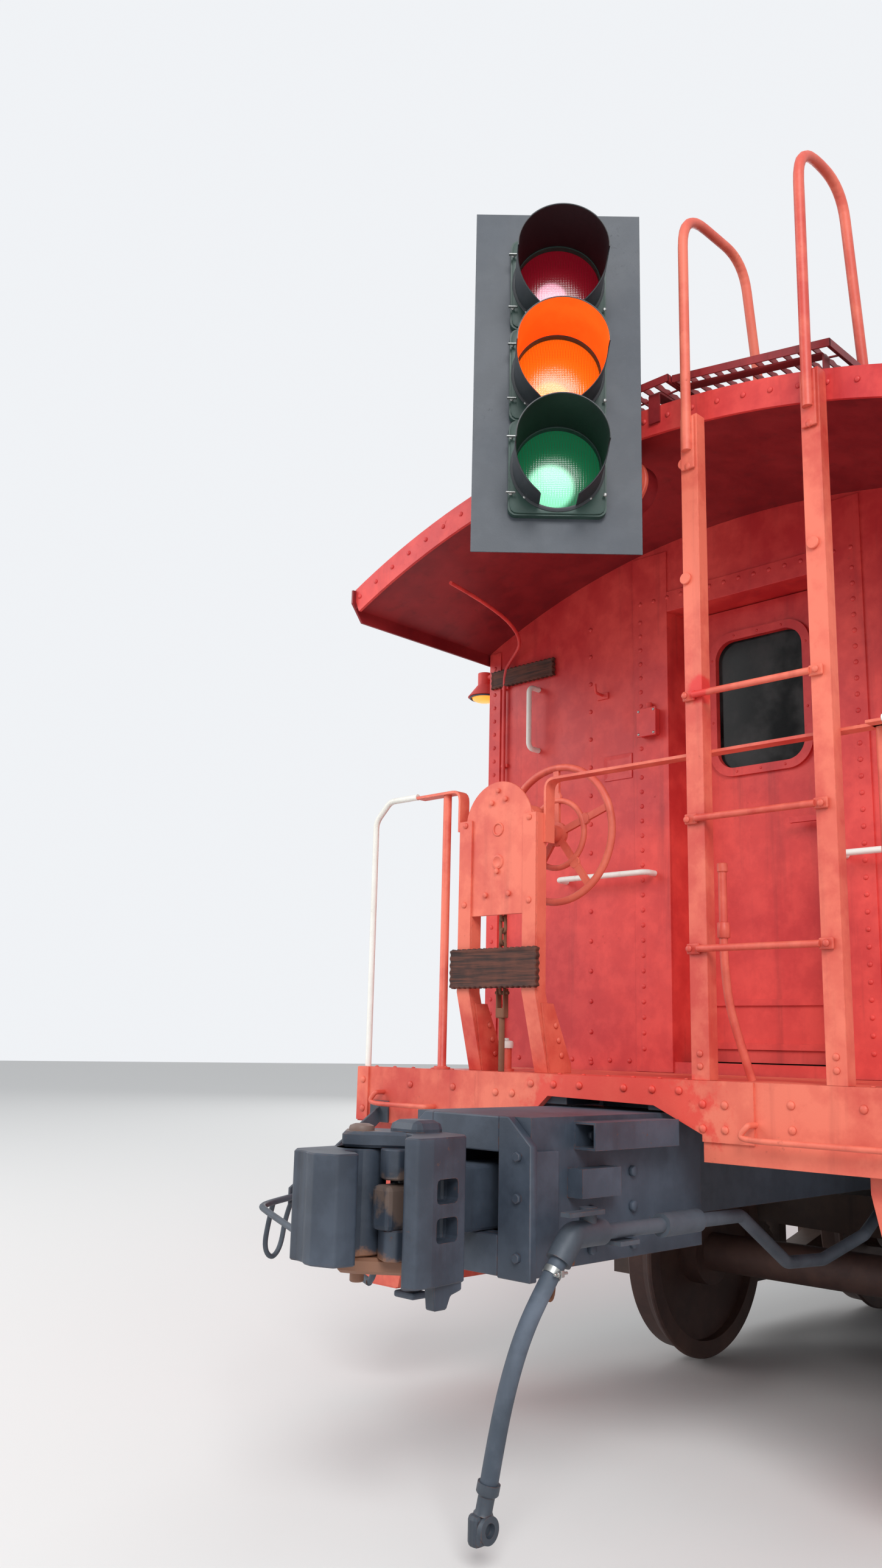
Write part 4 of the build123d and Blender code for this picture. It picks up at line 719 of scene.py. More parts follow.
class Shop:
    """Hand tools: adds a primitive, shapes it in edit mode and sets the finished piece on its body."""

    def __init__(self, materials: dict[str, bpy.types.Material]) -> None:
        """Keeps the finishes by slot."""
        self.materials = materials

    def clear(self) -> None:
        """Leaves nothing selected, and object mode on."""
        if bpy.context.object and bpy.context.object.mode != "OBJECT":
            bpy.ops.object.mode_set(mode="OBJECT")
        bpy.ops.object.select_all(action="DESELECT")

    def pick(self, piece: bpy.types.Object) -> None:
        """Selects one piece alone and makes it active."""
        self.clear()
        piece.select_set(True)
        bpy.context.view_layer.objects.active = piece

    def apply(self, piece: bpy.types.Object) -> None:
        """Settles a piece's place, turn and scale into its mesh."""
        self.pick(piece)
        bpy.ops.object.transform_apply(location=True, rotation=True, scale=True)

    def round_edges(self, piece: bpy.types.Object, width: float, segments: int = 2) -> None:
        """Bevels a piece's sharp edges.

        Args:
            piece: The piece.
            width: The bevel's width.
            segments: How many faces cross the bevel.
        """
        self.pick(piece)
        bevel = piece.modifiers.new("edges", "BEVEL")
        bevel.width = width
        bevel.segments = segments
        bevel.limit_method = "ANGLE"
        bevel.angle_limit = math.radians(35)
        bpy.ops.object.modifier_apply(modifier=bevel.name)

    def block(self, size: Point, centre: Point, bevel: float = 0.002) -> bpy.types.Object:
        """Models a block with rounded edges.

        Args:
            size: Its lengths along X, Y and Z.
            centre: Its middle.
            bevel: The width of its rounded edges.

        Returns:
            The block.
        """
        self.clear()
        bpy.ops.mesh.primitive_cube_add(size=1, location=centre, scale=size)
        piece = bpy.context.object
        self.apply(piece)
        self.round_edges(piece, bevel)
        return piece

    def rod(
        self, radius: float, start: Point, stop: Point, sides: int = 24, bevel: float = 0.001
    ) -> bpy.types.Object:
        """Models a round bar with broken edges between two points.

        Args:
            radius: Its radius.
            start: Middle of one end.
            stop: Middle of the other end.
            sides: How many sides stand for its round.
            bevel: The width of its broken edges.

        Returns:
            The bar.
        """
        self.clear()
        run = Vector(stop) - Vector(start)
        bpy.ops.mesh.primitive_cylinder_add(vertices=sides, radius=radius, depth=run.length)
        piece = bpy.context.object
        self.round_edges(piece, bevel, 1)
        middle = (Vector(start) + Vector(stop)) / 2
        piece.matrix_world = Matrix.Translation(middle) @ run.to_track_quat("Z", "Y").to_matrix().to_4x4()
        self.apply(piece)
        self.smooth(piece)
        return piece

    def ring(self, major: float, minor: float, spot: Spot, sides: int = 40) -> bpy.types.Object:
        """Models a round ring about a spot's normal.

        Args:
            major: Radius of the ring's middle line.
            minor: Radius of its section.
            spot: Its middle and its axis.
            sides: How many steps go round it.

        Returns:
            The ring.
        """
        self.clear()
        bpy.ops.mesh.primitive_torus_add(
            major_radius=major, minor_radius=minor, major_segments=sides, minor_segments=12
        )
        piece = bpy.context.object
        piece.matrix_world = spot.matrix()
        self.apply(piece)
        self.smooth(piece)
        return piece

    def lathe(
        self, profile: Sequence[tuple[float, float]], spot: Spot, sides: int = 32
    ) -> bpy.types.Object:
        """Spins a profile about a spot's normal.

        Args:
            profile: Radius and height of each point, from one end of the axis to the other.
            spot: Where the axis starts, and its direction.
            sides: How many steps go round it.

        Returns:
            The turned piece.
        """
        self.clear()
        start, low = profile[0]
        bpy.ops.mesh.primitive_circle_add(
            vertices=sides, radius=start, location=(0, 0, low), fill_type="NOTHING"
        )
        piece = bpy.context.object
        self.apply(piece)
        bpy.ops.object.mode_set(mode="EDIT")
        bpy.ops.mesh.select_mode(type="VERT")
        bpy.ops.mesh.select_all(action="SELECT")
        for (before, below), (radius, height) in zip(profile, profile[1:]):
            bpy.ops.mesh.extrude_region_move(TRANSFORM_OT_translate={"value": (0, 0, height - below)})
            share = radius / before
            bpy.ops.transform.resize(value=(share, share, 1), center_override=(0, 0, height))
        bpy.ops.mesh.select_all(action="SELECT")
        bpy.ops.mesh.remove_doubles(threshold=0.00025)
        bpy.ops.mesh.normals_make_consistent(inside=False)
        bpy.ops.object.mode_set(mode="OBJECT")
        piece.matrix_world = spot.matrix()
        self.apply(piece)
        self.smooth(piece)
        return piece

    def line(
        self, points: Sequence[Point], radius: float, closed: bool = False, bend: int = 3
    ) -> bpy.types.Object:
        """Models a bent rod, pipe or wire along a smooth line.

        Args:
            points: The line's control points.
            radius: Radius of its section.
            closed: Whether it comes back to its start.
            bend: Order of the line: 2 is straight runs, 3 rounds the corners.

        Returns:
            The rod, as a mesh.
        """
        self.clear()
        path = bpy.data.curves.new("line", "CURVE")
        path.dimensions = "3D"
        path.bevel_depth = radius
        path.bevel_resolution = 3
        path.resolution_u = 5
        path.use_fill_caps = True
        spline = path.splines.new("NURBS")
        spline.points.add(len(points) - 1)
        for point, place in zip(spline.points, points):
            point.co = (*place, 1.0)
        spline.order_u = bend
        spline.use_cyclic_u = closed
        spline.use_endpoint_u = not closed
        piece = bpy.data.objects.new("line", path)
        bpy.context.scene.collection.objects.link(piece)
        self.pick(piece)
        bpy.ops.object.convert(target="MESH")
        piece = bpy.context.object
        self.smooth(piece)
        return piece

    def smooth(self, piece: bpy.types.Object, angle: float = 40.0) -> None:
        """Shades a piece smooth up to an angle between faces, in degrees."""
        self.pick(piece)
        bpy.ops.object.shade_smooth_by_angle(angle=math.radians(angle))

    def join(self, pieces: Sequence[bpy.types.Object]) -> bpy.types.Object:
        """Joins pieces into the first one."""
        self.pick(pieces[0])
        for piece in pieces[1:]:
            piece.select_set(True)
        bpy.ops.object.join()
        return bpy.context.object

    def fastener(self, head: Head, radius: float) -> bpy.types.Object:
        """Models a fastener's head that stands on the origin.

        Args:
            head: Its shape.
            radius: Its radius.

        Returns:
            The head.
        """
        self.clear()
        if head is Head.ROUND:
            bpy.ops.mesh.primitive_uv_sphere_add(segments=10, ring_count=6, radius=radius)
            piece = bpy.context.object
            bpy.ops.object.mode_set(mode="EDIT")
            bpy.ops.mesh.select_all(action="SELECT")
            bpy.ops.mesh.bisect(plane_co=(0, 0, 0), plane_no=(0, 0, 1), use_fill=True, clear_inner=True)
            bpy.ops.object.mode_set(mode="OBJECT")
            piece.scale = (1, 1, 0.62)
            self.apply(piece)
        else:
            sides = 6 if head is Head.HEX else 4
            depth = radius * 0.9
            bpy.ops.mesh.primitive_cylinder_add(
                vertices=sides, radius=radius, depth=depth, location=(0, 0, depth / 2)
            )
            piece = bpy.context.object
            self.apply(piece)
            self.round_edges(piece, radius * 0.12, 1)
        self.smooth(piece)
        return piece

    def scatter(
        self, model: bpy.types.Object, spots: Iterable[Spot], name: str, body: str, slot: str,
        finish: str = ""
    ) -> bpy.types.Object:
        """Copies a modelled piece to each spot, as one mesh.

        Args:
            model: The piece, at the origin, which is used up.
            spots: Where the copies go.
            name: Name of the joined piece.
            body: The body that it moves with.
            slot: The record's slot.
            finish: The finish, where it isn't the slot's own.

        Returns:
            The joined piece.
        """
        corners = [vertex.co.copy() for vertex in model.data.vertices]
        faces = [tuple(polygon.vertices) for polygon in model.data.polygons]
        smooth = [polygon.use_smooth for polygon in model.data.polygons]
        all_corners, all_faces, all_smooth = [], [], []
        for spot in spots:
            matrix = spot.matrix()
            first = len(all_corners)
            all_corners.extend(matrix @ corner for corner in corners)
            all_faces.extend(tuple(first + number for number in face) for face in faces)
            all_smooth.extend(smooth)
        mesh = bpy.data.meshes.new(name)
        mesh.from_pydata(all_corners, [], all_faces)
        mesh.polygons.foreach_set("use_smooth", all_smooth)
        mesh.update()
        bpy.data.objects.remove(model)
        piece = bpy.data.objects.new(name, mesh)
        bpy.context.scene.collection.objects.link(piece)
        return self.dress(piece, name, body, slot, finish)

    def dress(
        self, piece: bpy.types.Object, name: str, body: str, slot: str, finish: str = ""
    ) -> bpy.types.Object:
        """Names a piece, settles its place into its mesh, paints it and sets it on its body.

        Args:
            piece: The piece.
            name: Its name.
            body: The body that it moves with.
            slot: The record's slot.
            finish: The finish, where it isn't the slot's own.

        Returns:
            The piece.
        """
        self.clear()
        piece.name = name
        piece.data.name = name
        if piece.type == "MESH":
            self.apply(piece)
        piece.data.materials.clear()
        piece.data.materials.append(self.materials[finish or slot])
        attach(piece, body)
        LOG.info("piece %s rides on %s", name, body)
        return piece


@dataclass
class BodyRivets:
    """The rivet rows of the end walls, the sides, the roof and the cupola."""

    head: float = 0.0105
    strip_out: float = WALL_OUT + 0.006
    side_out: float = BODY_HALF + 0.006
    roof_centre: float = ROOF_CENTRE
    seam_radius: float = 3.318
    seams: tuple[float, ...] = SEAMS
    laps: tuple[float, ...] = LAPS
    cupola_half: Point = (1.25, 1.15, 4.18)

    def end_rows(self) -> list[Spot]:
        """Rivets of one end wall: plate seams, door posts, corners and the band over the door."""
        spots = []
        for side in SIDES:
            for height in steps(1.249, 3.16, 0.128):
                spots.append(Spot((-WALL_OUT, side * 0.768, height), AHEAD))
            for height in steps(1.312, 3.13, 0.063):
                spots.append(Spot((-self.strip_out, side * 0.491, height), AHEAD))
            for height in steps(1.255, 3.09, 0.066):
                spots.append(Spot((-self.strip_out, side * 1.341, height), AHEAD))
            for side_place in steps(0.57, 1.27, 0.10):
                spots.append(Spot((-WALL_OUT, side * side_place, 1.262), AHEAD))
        for side_place in steps(-0.49, 0.49, 0.070):
            spots.append(Spot((-self.strip_out, side_place, 3.213), AHEAD))
        return spots

    def side_rows(self) -> list[Spot]:
        """Rivets of both sides: plate laps, the belt under the windows and the foot strip."""
        spots = []
        for side in SIDES:
            out = (0.0, float(side), 0.0)
            face = side * self.side_out
            for lap in sorted({way * place for place in self.laps for way in SIDES}):
                for height in steps(1.33, 3.07, 0.085):
                    for shift in (-0.019, 0.019):
                        spots.append(Spot((lap + shift, face, height), out))
            for along in steps(-4.50, 4.50, 0.075):
                spots.append(Spot((along, face, 1.252), out))
                spots.append(Spot((along, face, 2.030), out))
            for across in steps(-1.36, 1.36, 0.100):
                rise = math.sqrt(ROOF_UNDER**2 - across**2)
                spots.append(Spot((side * 5.427, across, self.roof_centre + rise), (float(side), 0.0, 0.0)))
        return spots

    def roof_rows(self) -> list[Spot]:
        """Rivets of the roof's seams and the eaves."""
        spots = []
        for way in SIDES:
            for seam in self.seams:
                for across in steps(-1.34, 1.34, 0.092):
                    spots.append(self.roof_spot(way * seam, across))
            for along in steps(-5.36, 5.36, 0.105):
                spots.append(Spot((along, way * 1.395, 3.140), (0.0, float(way), 0.0)))
        return spots

    def roof_spot(self, along: float, across: float) -> Spot:
        """A rivet's place on a roof seam.

        Args:
            along: Its place along the car.
            across: Its place across the car.

        Returns:
            The spot, which points out of the roof.
        """
        rise = math.sqrt(self.seam_radius**2 - across**2)
        return Spot(
            (along, across, self.roof_centre + rise),
            (0.0, across / self.seam_radius, rise / self.seam_radius)
        )

    def cupola_rows(self) -> list[Spot]:
        """Rivets under the cupola's eaves and down its corners."""
        half_x, half_y, high = self.cupola_half
        spots = []
        for way in SIDES:
            for along in steps(-1.2, 1.2, 0.08):
                spots.append(Spot((along, way * half_y, high), (0.0, float(way), 0.0)))
                spots.append(Spot((along, way * half_y, 3.47), (0.0, float(way), 0.0)))
            for across in steps(-1.10, 1.10, 0.08):
                spots.append(Spot((way * half_x, across, high), (float(way), 0.0, 0.0)))
            for side in SIDES:
                for height in steps(3.50, 4.15, 0.08):
                    spots.append(
                        Spot((way * half_x, side * (half_y - 0.035), height), (float(way), 0.0, 0.0))
                    )
                    spots.append(
                        Spot((way * (half_x - 0.035), side * half_y, height), (0.0, float(side), 0.0))
                    )
        return spots

    def build(self, shop: Shop) -> None:
        """Sets every row as one mesh for each part of the body."""
        rows = (
            ("end_wall_rivets_b", self.end_rows(), "body_red"),
            ("end_wall_rivets_a", [spot.at_end(1) for spot in self.end_rows()], "body_red"),
            ("side_rivets", self.side_rows(), "body_red"),
            ("roof_rivets", self.roof_rows(), "roof_red"),
            ("cupola_rivets", self.cupola_rows(), "body_red"),
        )
        for name, spots, slot in rows:
            shop.scatter(shop.fastener(Head.ROUND, self.head), spots, name, "car", slot)


@dataclass
class EndWallFittings:
    """The small box, the bracket and the framed patch on the end wall, and the soffit's conduit."""

    face: float = -WALL_OUT

    def build(self, shop: Shop) -> None:
        """Builds the fittings at the B end, and their like at the A end.

        Args:
            shop: The hand tools.
        """
        for way, end in ENDS:
            self.box(shop, way, end)
            self.patch(shop, way, end)
            self.conduit(shop, way, end)

    def box(self, shop: Shop, way: int, end: str) -> None:
        """A junction box with a lid and four screws."""
        body = shop.block((0.034, 0.090, 0.115), (self.face - 0.0235, 0.439, 2.668), 0.006)
        lid = shop.block((0.006, 0.098, 0.123), (self.face - 0.0430, 0.439, 2.668), 0.002)
        hub = shop.rod(0.014, (self.face - 0.022, 0.439, 2.722), (self.face - 0.022, 0.439, 2.756))
        box = shop.join([body, lid, hub])
        self.turned(box, way)
        shop.dress(box, "wall_box_" + end, "car", "body_red")
        corners = [(side, rise) for side in (-0.038, 0.038) for rise in (-0.050, 0.050)]
        spots = [
            Spot((self.face - 0.046, 0.439 + side, 2.668 + rise), AHEAD).at_end(way)
            for side, rise in corners
        ]
        shop.scatter(
            shop.fastener(Head.ROUND, 0.006), spots, "wall_box_screws_" + end, "car", "body_red",
            "bright_zinc"
        )

    def patch(self, shop: Shop, way: int, end: str) -> None:
        """A riveted patch plate with a raised rim, and the bracket above it."""
        plate = shop.block((0.005, 0.150, 0.110), (self.face - 0.0020, 0.618, 2.503), 0.0015)
        shop.pick(plate)
        bpy.ops.object.mode_set(mode="EDIT")
        bpy.ops.mesh.select_mode(type="FACE")
        bpy.ops.mesh.select_all(action="DESELECT")
        bpy.ops.object.mode_set(mode="OBJECT")
        for polygon in plate.data.polygons:
            polygon.select = polygon.normal.x < -0.99 and polygon.area > 0.005
        bpy.ops.object.mode_set(mode="EDIT")
        bpy.ops.mesh.inset(thickness=0.016, depth=0.0)
        bpy.ops.transform.translate(value=(0.0025, 0, 0))
        bpy.ops.object.mode_set(mode="OBJECT")
        foot = shop.block((0.008, 0.060, 0.030), (self.face - 0.004, 0.697, 2.836), 0.002)
        hook = shop.line(
            [
                (self.face - 0.006, 0.697, 2.840),
                (self.face - 0.045, 0.697, 2.840),
                (self.face - 0.060, 0.697, 2.850),
                (self.face - 0.060, 0.697, 2.880),
            ],
            0.006,
        )
        fitting = shop.join([plate, foot, hook])
        self.turned(fitting, way)
        shop.dress(fitting, "wall_patch_" + end, "car", "body_red")

    def conduit(self, shop: Shop, way: int, end: str) -> None:
        """The thin conduit that climbs the corner to the lamps."""
        face = self.face - 0.018
        run = shop.line(
            [
                (face, 1.27, 1.270),
                (face, 1.27, 2.000),
                (face, 1.27, 2.900),
                (face, 1.27, 3.060),
                (face - 0.015, 1.22, 3.100),
                (face - 0.060, 1.10, 3.165),
                (-4.900, 1.02, 3.225),
                (-5.250, 0.98, 3.240),
            ],
            0.0085,
        )
        clips = [
            shop.block((0.016, 0.040, 0.016), (self.face - 0.008, 1.27, height), 0.003)
            for height in (1.50, 2.05, 2.60, 2.98)
        ]
        pipe = shop.join([run, *clips])
        self.turned(pipe, way)
        shop.dress(pipe, "wall_conduit_" + end, "car", "body_red")

    def turned(self, piece: bpy.types.Object, way: int) -> None:
        """Turns a piece of the B end half round for the A end."""
        if way > 0:
            piece.matrix_world = Matrix.Rotation(math.pi, 4, "Z") @ piece.matrix_world


@dataclass
class EndSillHeads:
    """Rivet and bolt heads of the end sill, the deck's edge and the draft gear's striker."""

    face: float = HALF
    overlay: float = 0.008

    def heads(self) -> list[Spot]:
        """The sill's large heads at the B end."""
        plain = -self.face
        raised = plain - self.overlay
        places = [
            (raised, 1.155, 1.170),
            (raised, 1.155, 1.062),
            (raised, -1.155, 1.170),
            (raised, -1.155, 1.062),
            (plain, -0.678, 1.160),
            (plain, -0.680, 1.090),
            (plain, -0.900, 1.160),
            (plain, 0.678, 1.160),
            (plain, 0.900, 1.160),
        ]
        for side in SIDES:
            places.extend((raised, side * 0.462, height) for height in (1.078, 1.150))
            places.extend((raised, side * 0.385, height) for height in (1.078, 1.150))
            places.extend((raised, side * across, 1.186) for across in (0.09, 0.20, 0.30))
        return [Spot(place, AHEAD) for place in places]

    def edge(self) -> list[Spot]:
        """The small heads along the deck's front edge."""
        return [
            Spot((-self.face + 0.030, across, 1.220), UP)
            for across in steps(-1.12, 1.12, 0.100)
            if not 0.28 < across < 0.70 and not -0.88 < across < -0.32
        ]

    def striker(self) -> list[Spot]:
        """The bolts of the striker and of the draft box's cheeks."""
        spots = []
        for side in SIDES:
            for height in (0.745, 0.85, 0.95, 1.060):
                spots.append(Spot((-5.640, side * 0.225, height), (0.0, float(side), 0.0), size=1.1))
                spots.append(Spot((-5.840, side * 0.225, height), (0.0, float(side), 0.0), size=1.1))
        return spots

    def build(self, shop: Shop) -> None:
        """Sets the heads at both ends."""
        for way, end in ENDS:
            for name, head, radius, spots, slot in (
                ("end_sill_heads_", Head.ROUND, 0.0135, self.heads(), "trim_red"),
                ("deck_edge_heads_", Head.ROUND, 0.0080, self.edge(), "trim_red"),
                ("draft_bolts_", Head.HEX, 0.0150, self.striker(), "underframe_grey"),
            ):
                placed = [spot.at_end(way) for spot in spots]
                shop.scatter(shop.fastener(head, radius), placed, name + end, "car", slot)


@dataclass
class BrakeStandFittings:
    """Rivets and bolts of the hand brake's stand, and the stub pipe at its foot."""

    plate: float = -5.4687
    flange: float = -5.477
    middle: float = 0.4885

    def build(self, shop: Shop) -> None:
        """Builds the fittings.

        Args:
            shop: The hand tools.
        """
        bolts = [(0.519, 2.192), (0.452, 2.201), (0.490, 1.935), (0.432, 1.850), (0.545, 1.850)]
        spots = [Spot((self.plate, side, height), AHEAD, size=0.9) for side, height in bolts]
        spots += [Spot((self.plate, self.middle, 2.236), AHEAD, size=0.8)]
        shop.scatter(shop.fastener(Head.HEX, 0.012), spots, "stand_bolts", "car", "trim_red")
        rivets = [
            Spot((self.flange, side, height), AHEAD)
            for side in (0.646, 0.331)
            for height in (2.119, 1.819)
        ]
        shop.scatter(shop.fastener(Head.ROUND, 0.0120), rivets, "stand_rivets", "car", "trim_red")
        self.gussets(shop)
        self.stub(shop)

    def gussets(self, shop: Shop) -> None:
        """The rivets of the gussets on both sides of the legs."""
        spots = []
        for side in (0.609, 0.2938):
            for along, height in ((-5.368, 1.384), (-5.352, 1.333), (-5.336, 1.282)):
                spots.append(Spot((along, side, height), (0.0, -1.0, 0.0)))
        shop.scatter(shop.fastener(Head.ROUND, 0.0120), spots, "stand_gusset_rivets", "car", "trim_red")

    def stub(self, shop: Shop) -> None:
        """A short capped pipe that stands on the deck between the legs."""
        pipe = shop.lathe(
            [(0.0001, 0.0), (0.030, 0.0), (0.030, 0.008), (0.021, 0.010), (0.021, 0.085), (0.0001, 0.085)],
            Spot((-5.330, 0.560, 1.220), UP),
        )
        shop.dress(pipe, "stub_pipe", "car", "trim_red")
        cap = shop.lathe(
            [
                (0.0001, 0.082),
                (0.026, 0.082),
                (0.0275, 0.086),
                (0.0275, 0.104),
                (0.025, 0.108),
                (0.012, 0.110),
                (0.011, 0.118),
                (0.0001, 0.119),
            ],
            Spot((-5.330, 0.560, 1.220), UP),
        )
        shop.dress(cap, "stub_pipe_cap", "car", "white_paint")


@dataclass
class LadderFittings:
    """Bolts of the ladders, the bolts that lost rungs left behind, and the railings' foot bolts."""

    stile_out: float = -5.485
    eyes: tuple[float, float] = (-0.355, -0.818)
    rungs: tuple[float, ...] = (1.62, 2.03, 2.44)
    lost: tuple[float, ...] = (2.85, 3.26)

    def ladder_spots(self) -> list[Spot]:
        """Bolt heads of one ladder at the B end."""
        spots = []
        for side in self.eyes:
            spots.extend(Spot((-5.5075, side, height), AHEAD, turn=height) for height in self.rungs)
            spots.extend(Spot((self.stile_out, side, height), AHEAD, turn=height) for height in self.lost)
        for side in (-0.374, -0.824):
            for height in (1.262, 1.300):
                spots.append(Spot((self.stile_out, side, height), AHEAD, size=0.95))
        return spots

    def washer_spots(self) -> list[Spot]:
        """Washers under the lost rungs' bolts."""
        return [Spot((self.stile_out, side, height), AHEAD) for side in self.eyes for height in self.lost]

    def tongue_spots(self) -> list[Spot]:
        """Bolt heads through the stiles' tongues on the fascia."""
        return [
            Spot((-5.487, side, height), AHEAD) for side in (-0.3745, -0.8235) for height in (3.245, 3.345)
        ]

    def foot_spots(self) -> list[Spot]:
        """Bolts of the railing posts' round feet."""
        spots = []
        for along, side in ((-5.451, 0.770), (-5.410, -0.970)):
            for number in range(3):
                turn = math.tau * number / 3 + 0.4
                place = (along + 0.024 * math.cos(turn), side + 0.024 * math.sin(turn), 1.226)
                spots.append(Spot(place, UP, turn=turn, size=0.5))
        return spots

    def build(self, shop: Shop) -> None:
        """Sets the bolts at both ends."""
        for way, end in ENDS:
            washer = shop.lathe(
                [(0.008, 0.0), (0.019, 0.0), (0.019, 0.003), (0.008, 0.003), (0.008, 0.0)],
                Spot((0.0, 0.0, 0.0), UP),
                20,
            )
            for name, model, spots in (
                ("ladder_bolts_", shop.fastener(Head.ROUND, 0.0120), self.ladder_spots()),
                ("ladder_washers_", washer, self.washer_spots()),
                ("ladder_tongue_bolts_", shop.fastener(Head.HEX, 0.0125), self.tongue_spots()),
                ("railing_foot_bolts_", shop.fastener(Head.HEX, 0.0120), self.foot_spots()),
            ):
                placed = [spot.at_end(way) for spot in spots]
                shop.scatter(model, placed, name + end, "car", "trim_red")
        square = [Spot((-5.4147, 0.326, height), AHEAD) for height in (2.066, 2.126)]
        shop.scatter(shop.fastener(Head.SQUARE, 0.0120), square, "railing_end_bolts", "car", "trim_red")


@dataclass
class SignBoards:
    """Two blank carved boards, one on the stand and one on the wall."""

    stand: tuple[Point, Point] = ((-5.497, 0.2775, 1.5105), (-5.477, 0.6995, 1.6555))
    wall: tuple[Point, Point] = ((-4.5813, 0.9675, 2.983), (-4.5613, 1.3525, 3.071))
    scallop: float = 0.0026
    rim: float = 0.010

    def build(self, shop: Shop) -> None:
        """Carves both boards in place of the plain ones.

        Args:
            shop: The hand tools.
        """
        for name, (low, high) in (("stand_board", self.stand), ("wall_board", self.wall)):
            board = self.carve(shop, low, high)
            shop.dress(board, name, "car", "sign_wood")
            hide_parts("sign_boards")

    def carve(self, shop: Shop, low: Point, high: Point) -> bpy.types.Object:
        """Shapes one board: a scalloped outline, a sunk field and a soft rim.

        Args:
            shop: The hand tools.
            low: Lowest corner of its box.
            high: Highest corner of its box.

        Returns:
            The board.
        """
        shop.clear()
        middle = [(first + last) / 2 for first, last in zip(low, high)]
        width, height = high[1] - low[1], high[2] - low[2]
        across, up = 84, max(12, round(84 * height / width))
        bpy.ops.mesh.primitive_grid_add(x_subdivisions=across, y_subdivisions=up, size=1)
        board = bpy.context.object
        for vertex in board.data.vertices:
            self.carve_point(vertex, width, height)
        bpy.ops.object.mode_set(mode="EDIT")
        bpy.ops.mesh.select_all(action="SELECT")
        bpy.ops.mesh.extrude_region_move(
            TRANSFORM_OT_translate={"value": (0, 0, -(high[0] - low[0]) + 0.001)}
        )
        bpy.ops.mesh.select_all(action="SELECT")
        bpy.ops.mesh.normals_make_consistent(inside=False)
        bpy.ops.object.mode_set(mode="OBJECT")
        for vertex in board.data.vertices:
            if vertex.co.z < -0.012:
                vertex.co.z = -(high[0] - low[0])
        face = Matrix(((0, 0, -1, low[0]), (-1, 0, 0, middle[1]), (0, 1, 0, middle[2]), (0, 0, 0, 1)))
        board.matrix_world = face
        shop.apply(board)
        shop.smooth(board, 30)
        return board

    def carve_point(self, vertex: bpy.types.MeshVertex, width: float, height: float) -> None:
        """Moves one point of the flat grid to the carved face.

        Args:
            vertex: The point.
            width: The board's width.
            height: The board's height.
        """
        across, up = vertex.co.x * width, vertex.co.y * height
        gap_side = width / 2 - abs(across)
        gap_top = height / 2 - abs(up)
        wave_top = self.scallop * (1 + math.cos(across * math.tau / 0.026))
        wave_side = self.scallop * (1 + math.cos(up * math.tau / 0.026))
        fade_top = max(0.0, 1 - gap_top / 0.012)
        fade_side = max(0.0, 1 - gap_side / 0.012)
        across -= math.copysign(wave_side * fade_side, across)
        up -= math.copysign(wave_top * fade_top, up)
        edge = min(gap_side, gap_top)
        share = min(1.0, max(0.0, (edge - self.rim) / 0.006))
        drop = 0.0026 * share * share * (3 - 2 * share)
        lip = 0.0030 * max(0.0, 1 - edge / 0.004)
        vertex.co = (across, up, -drop - lip)


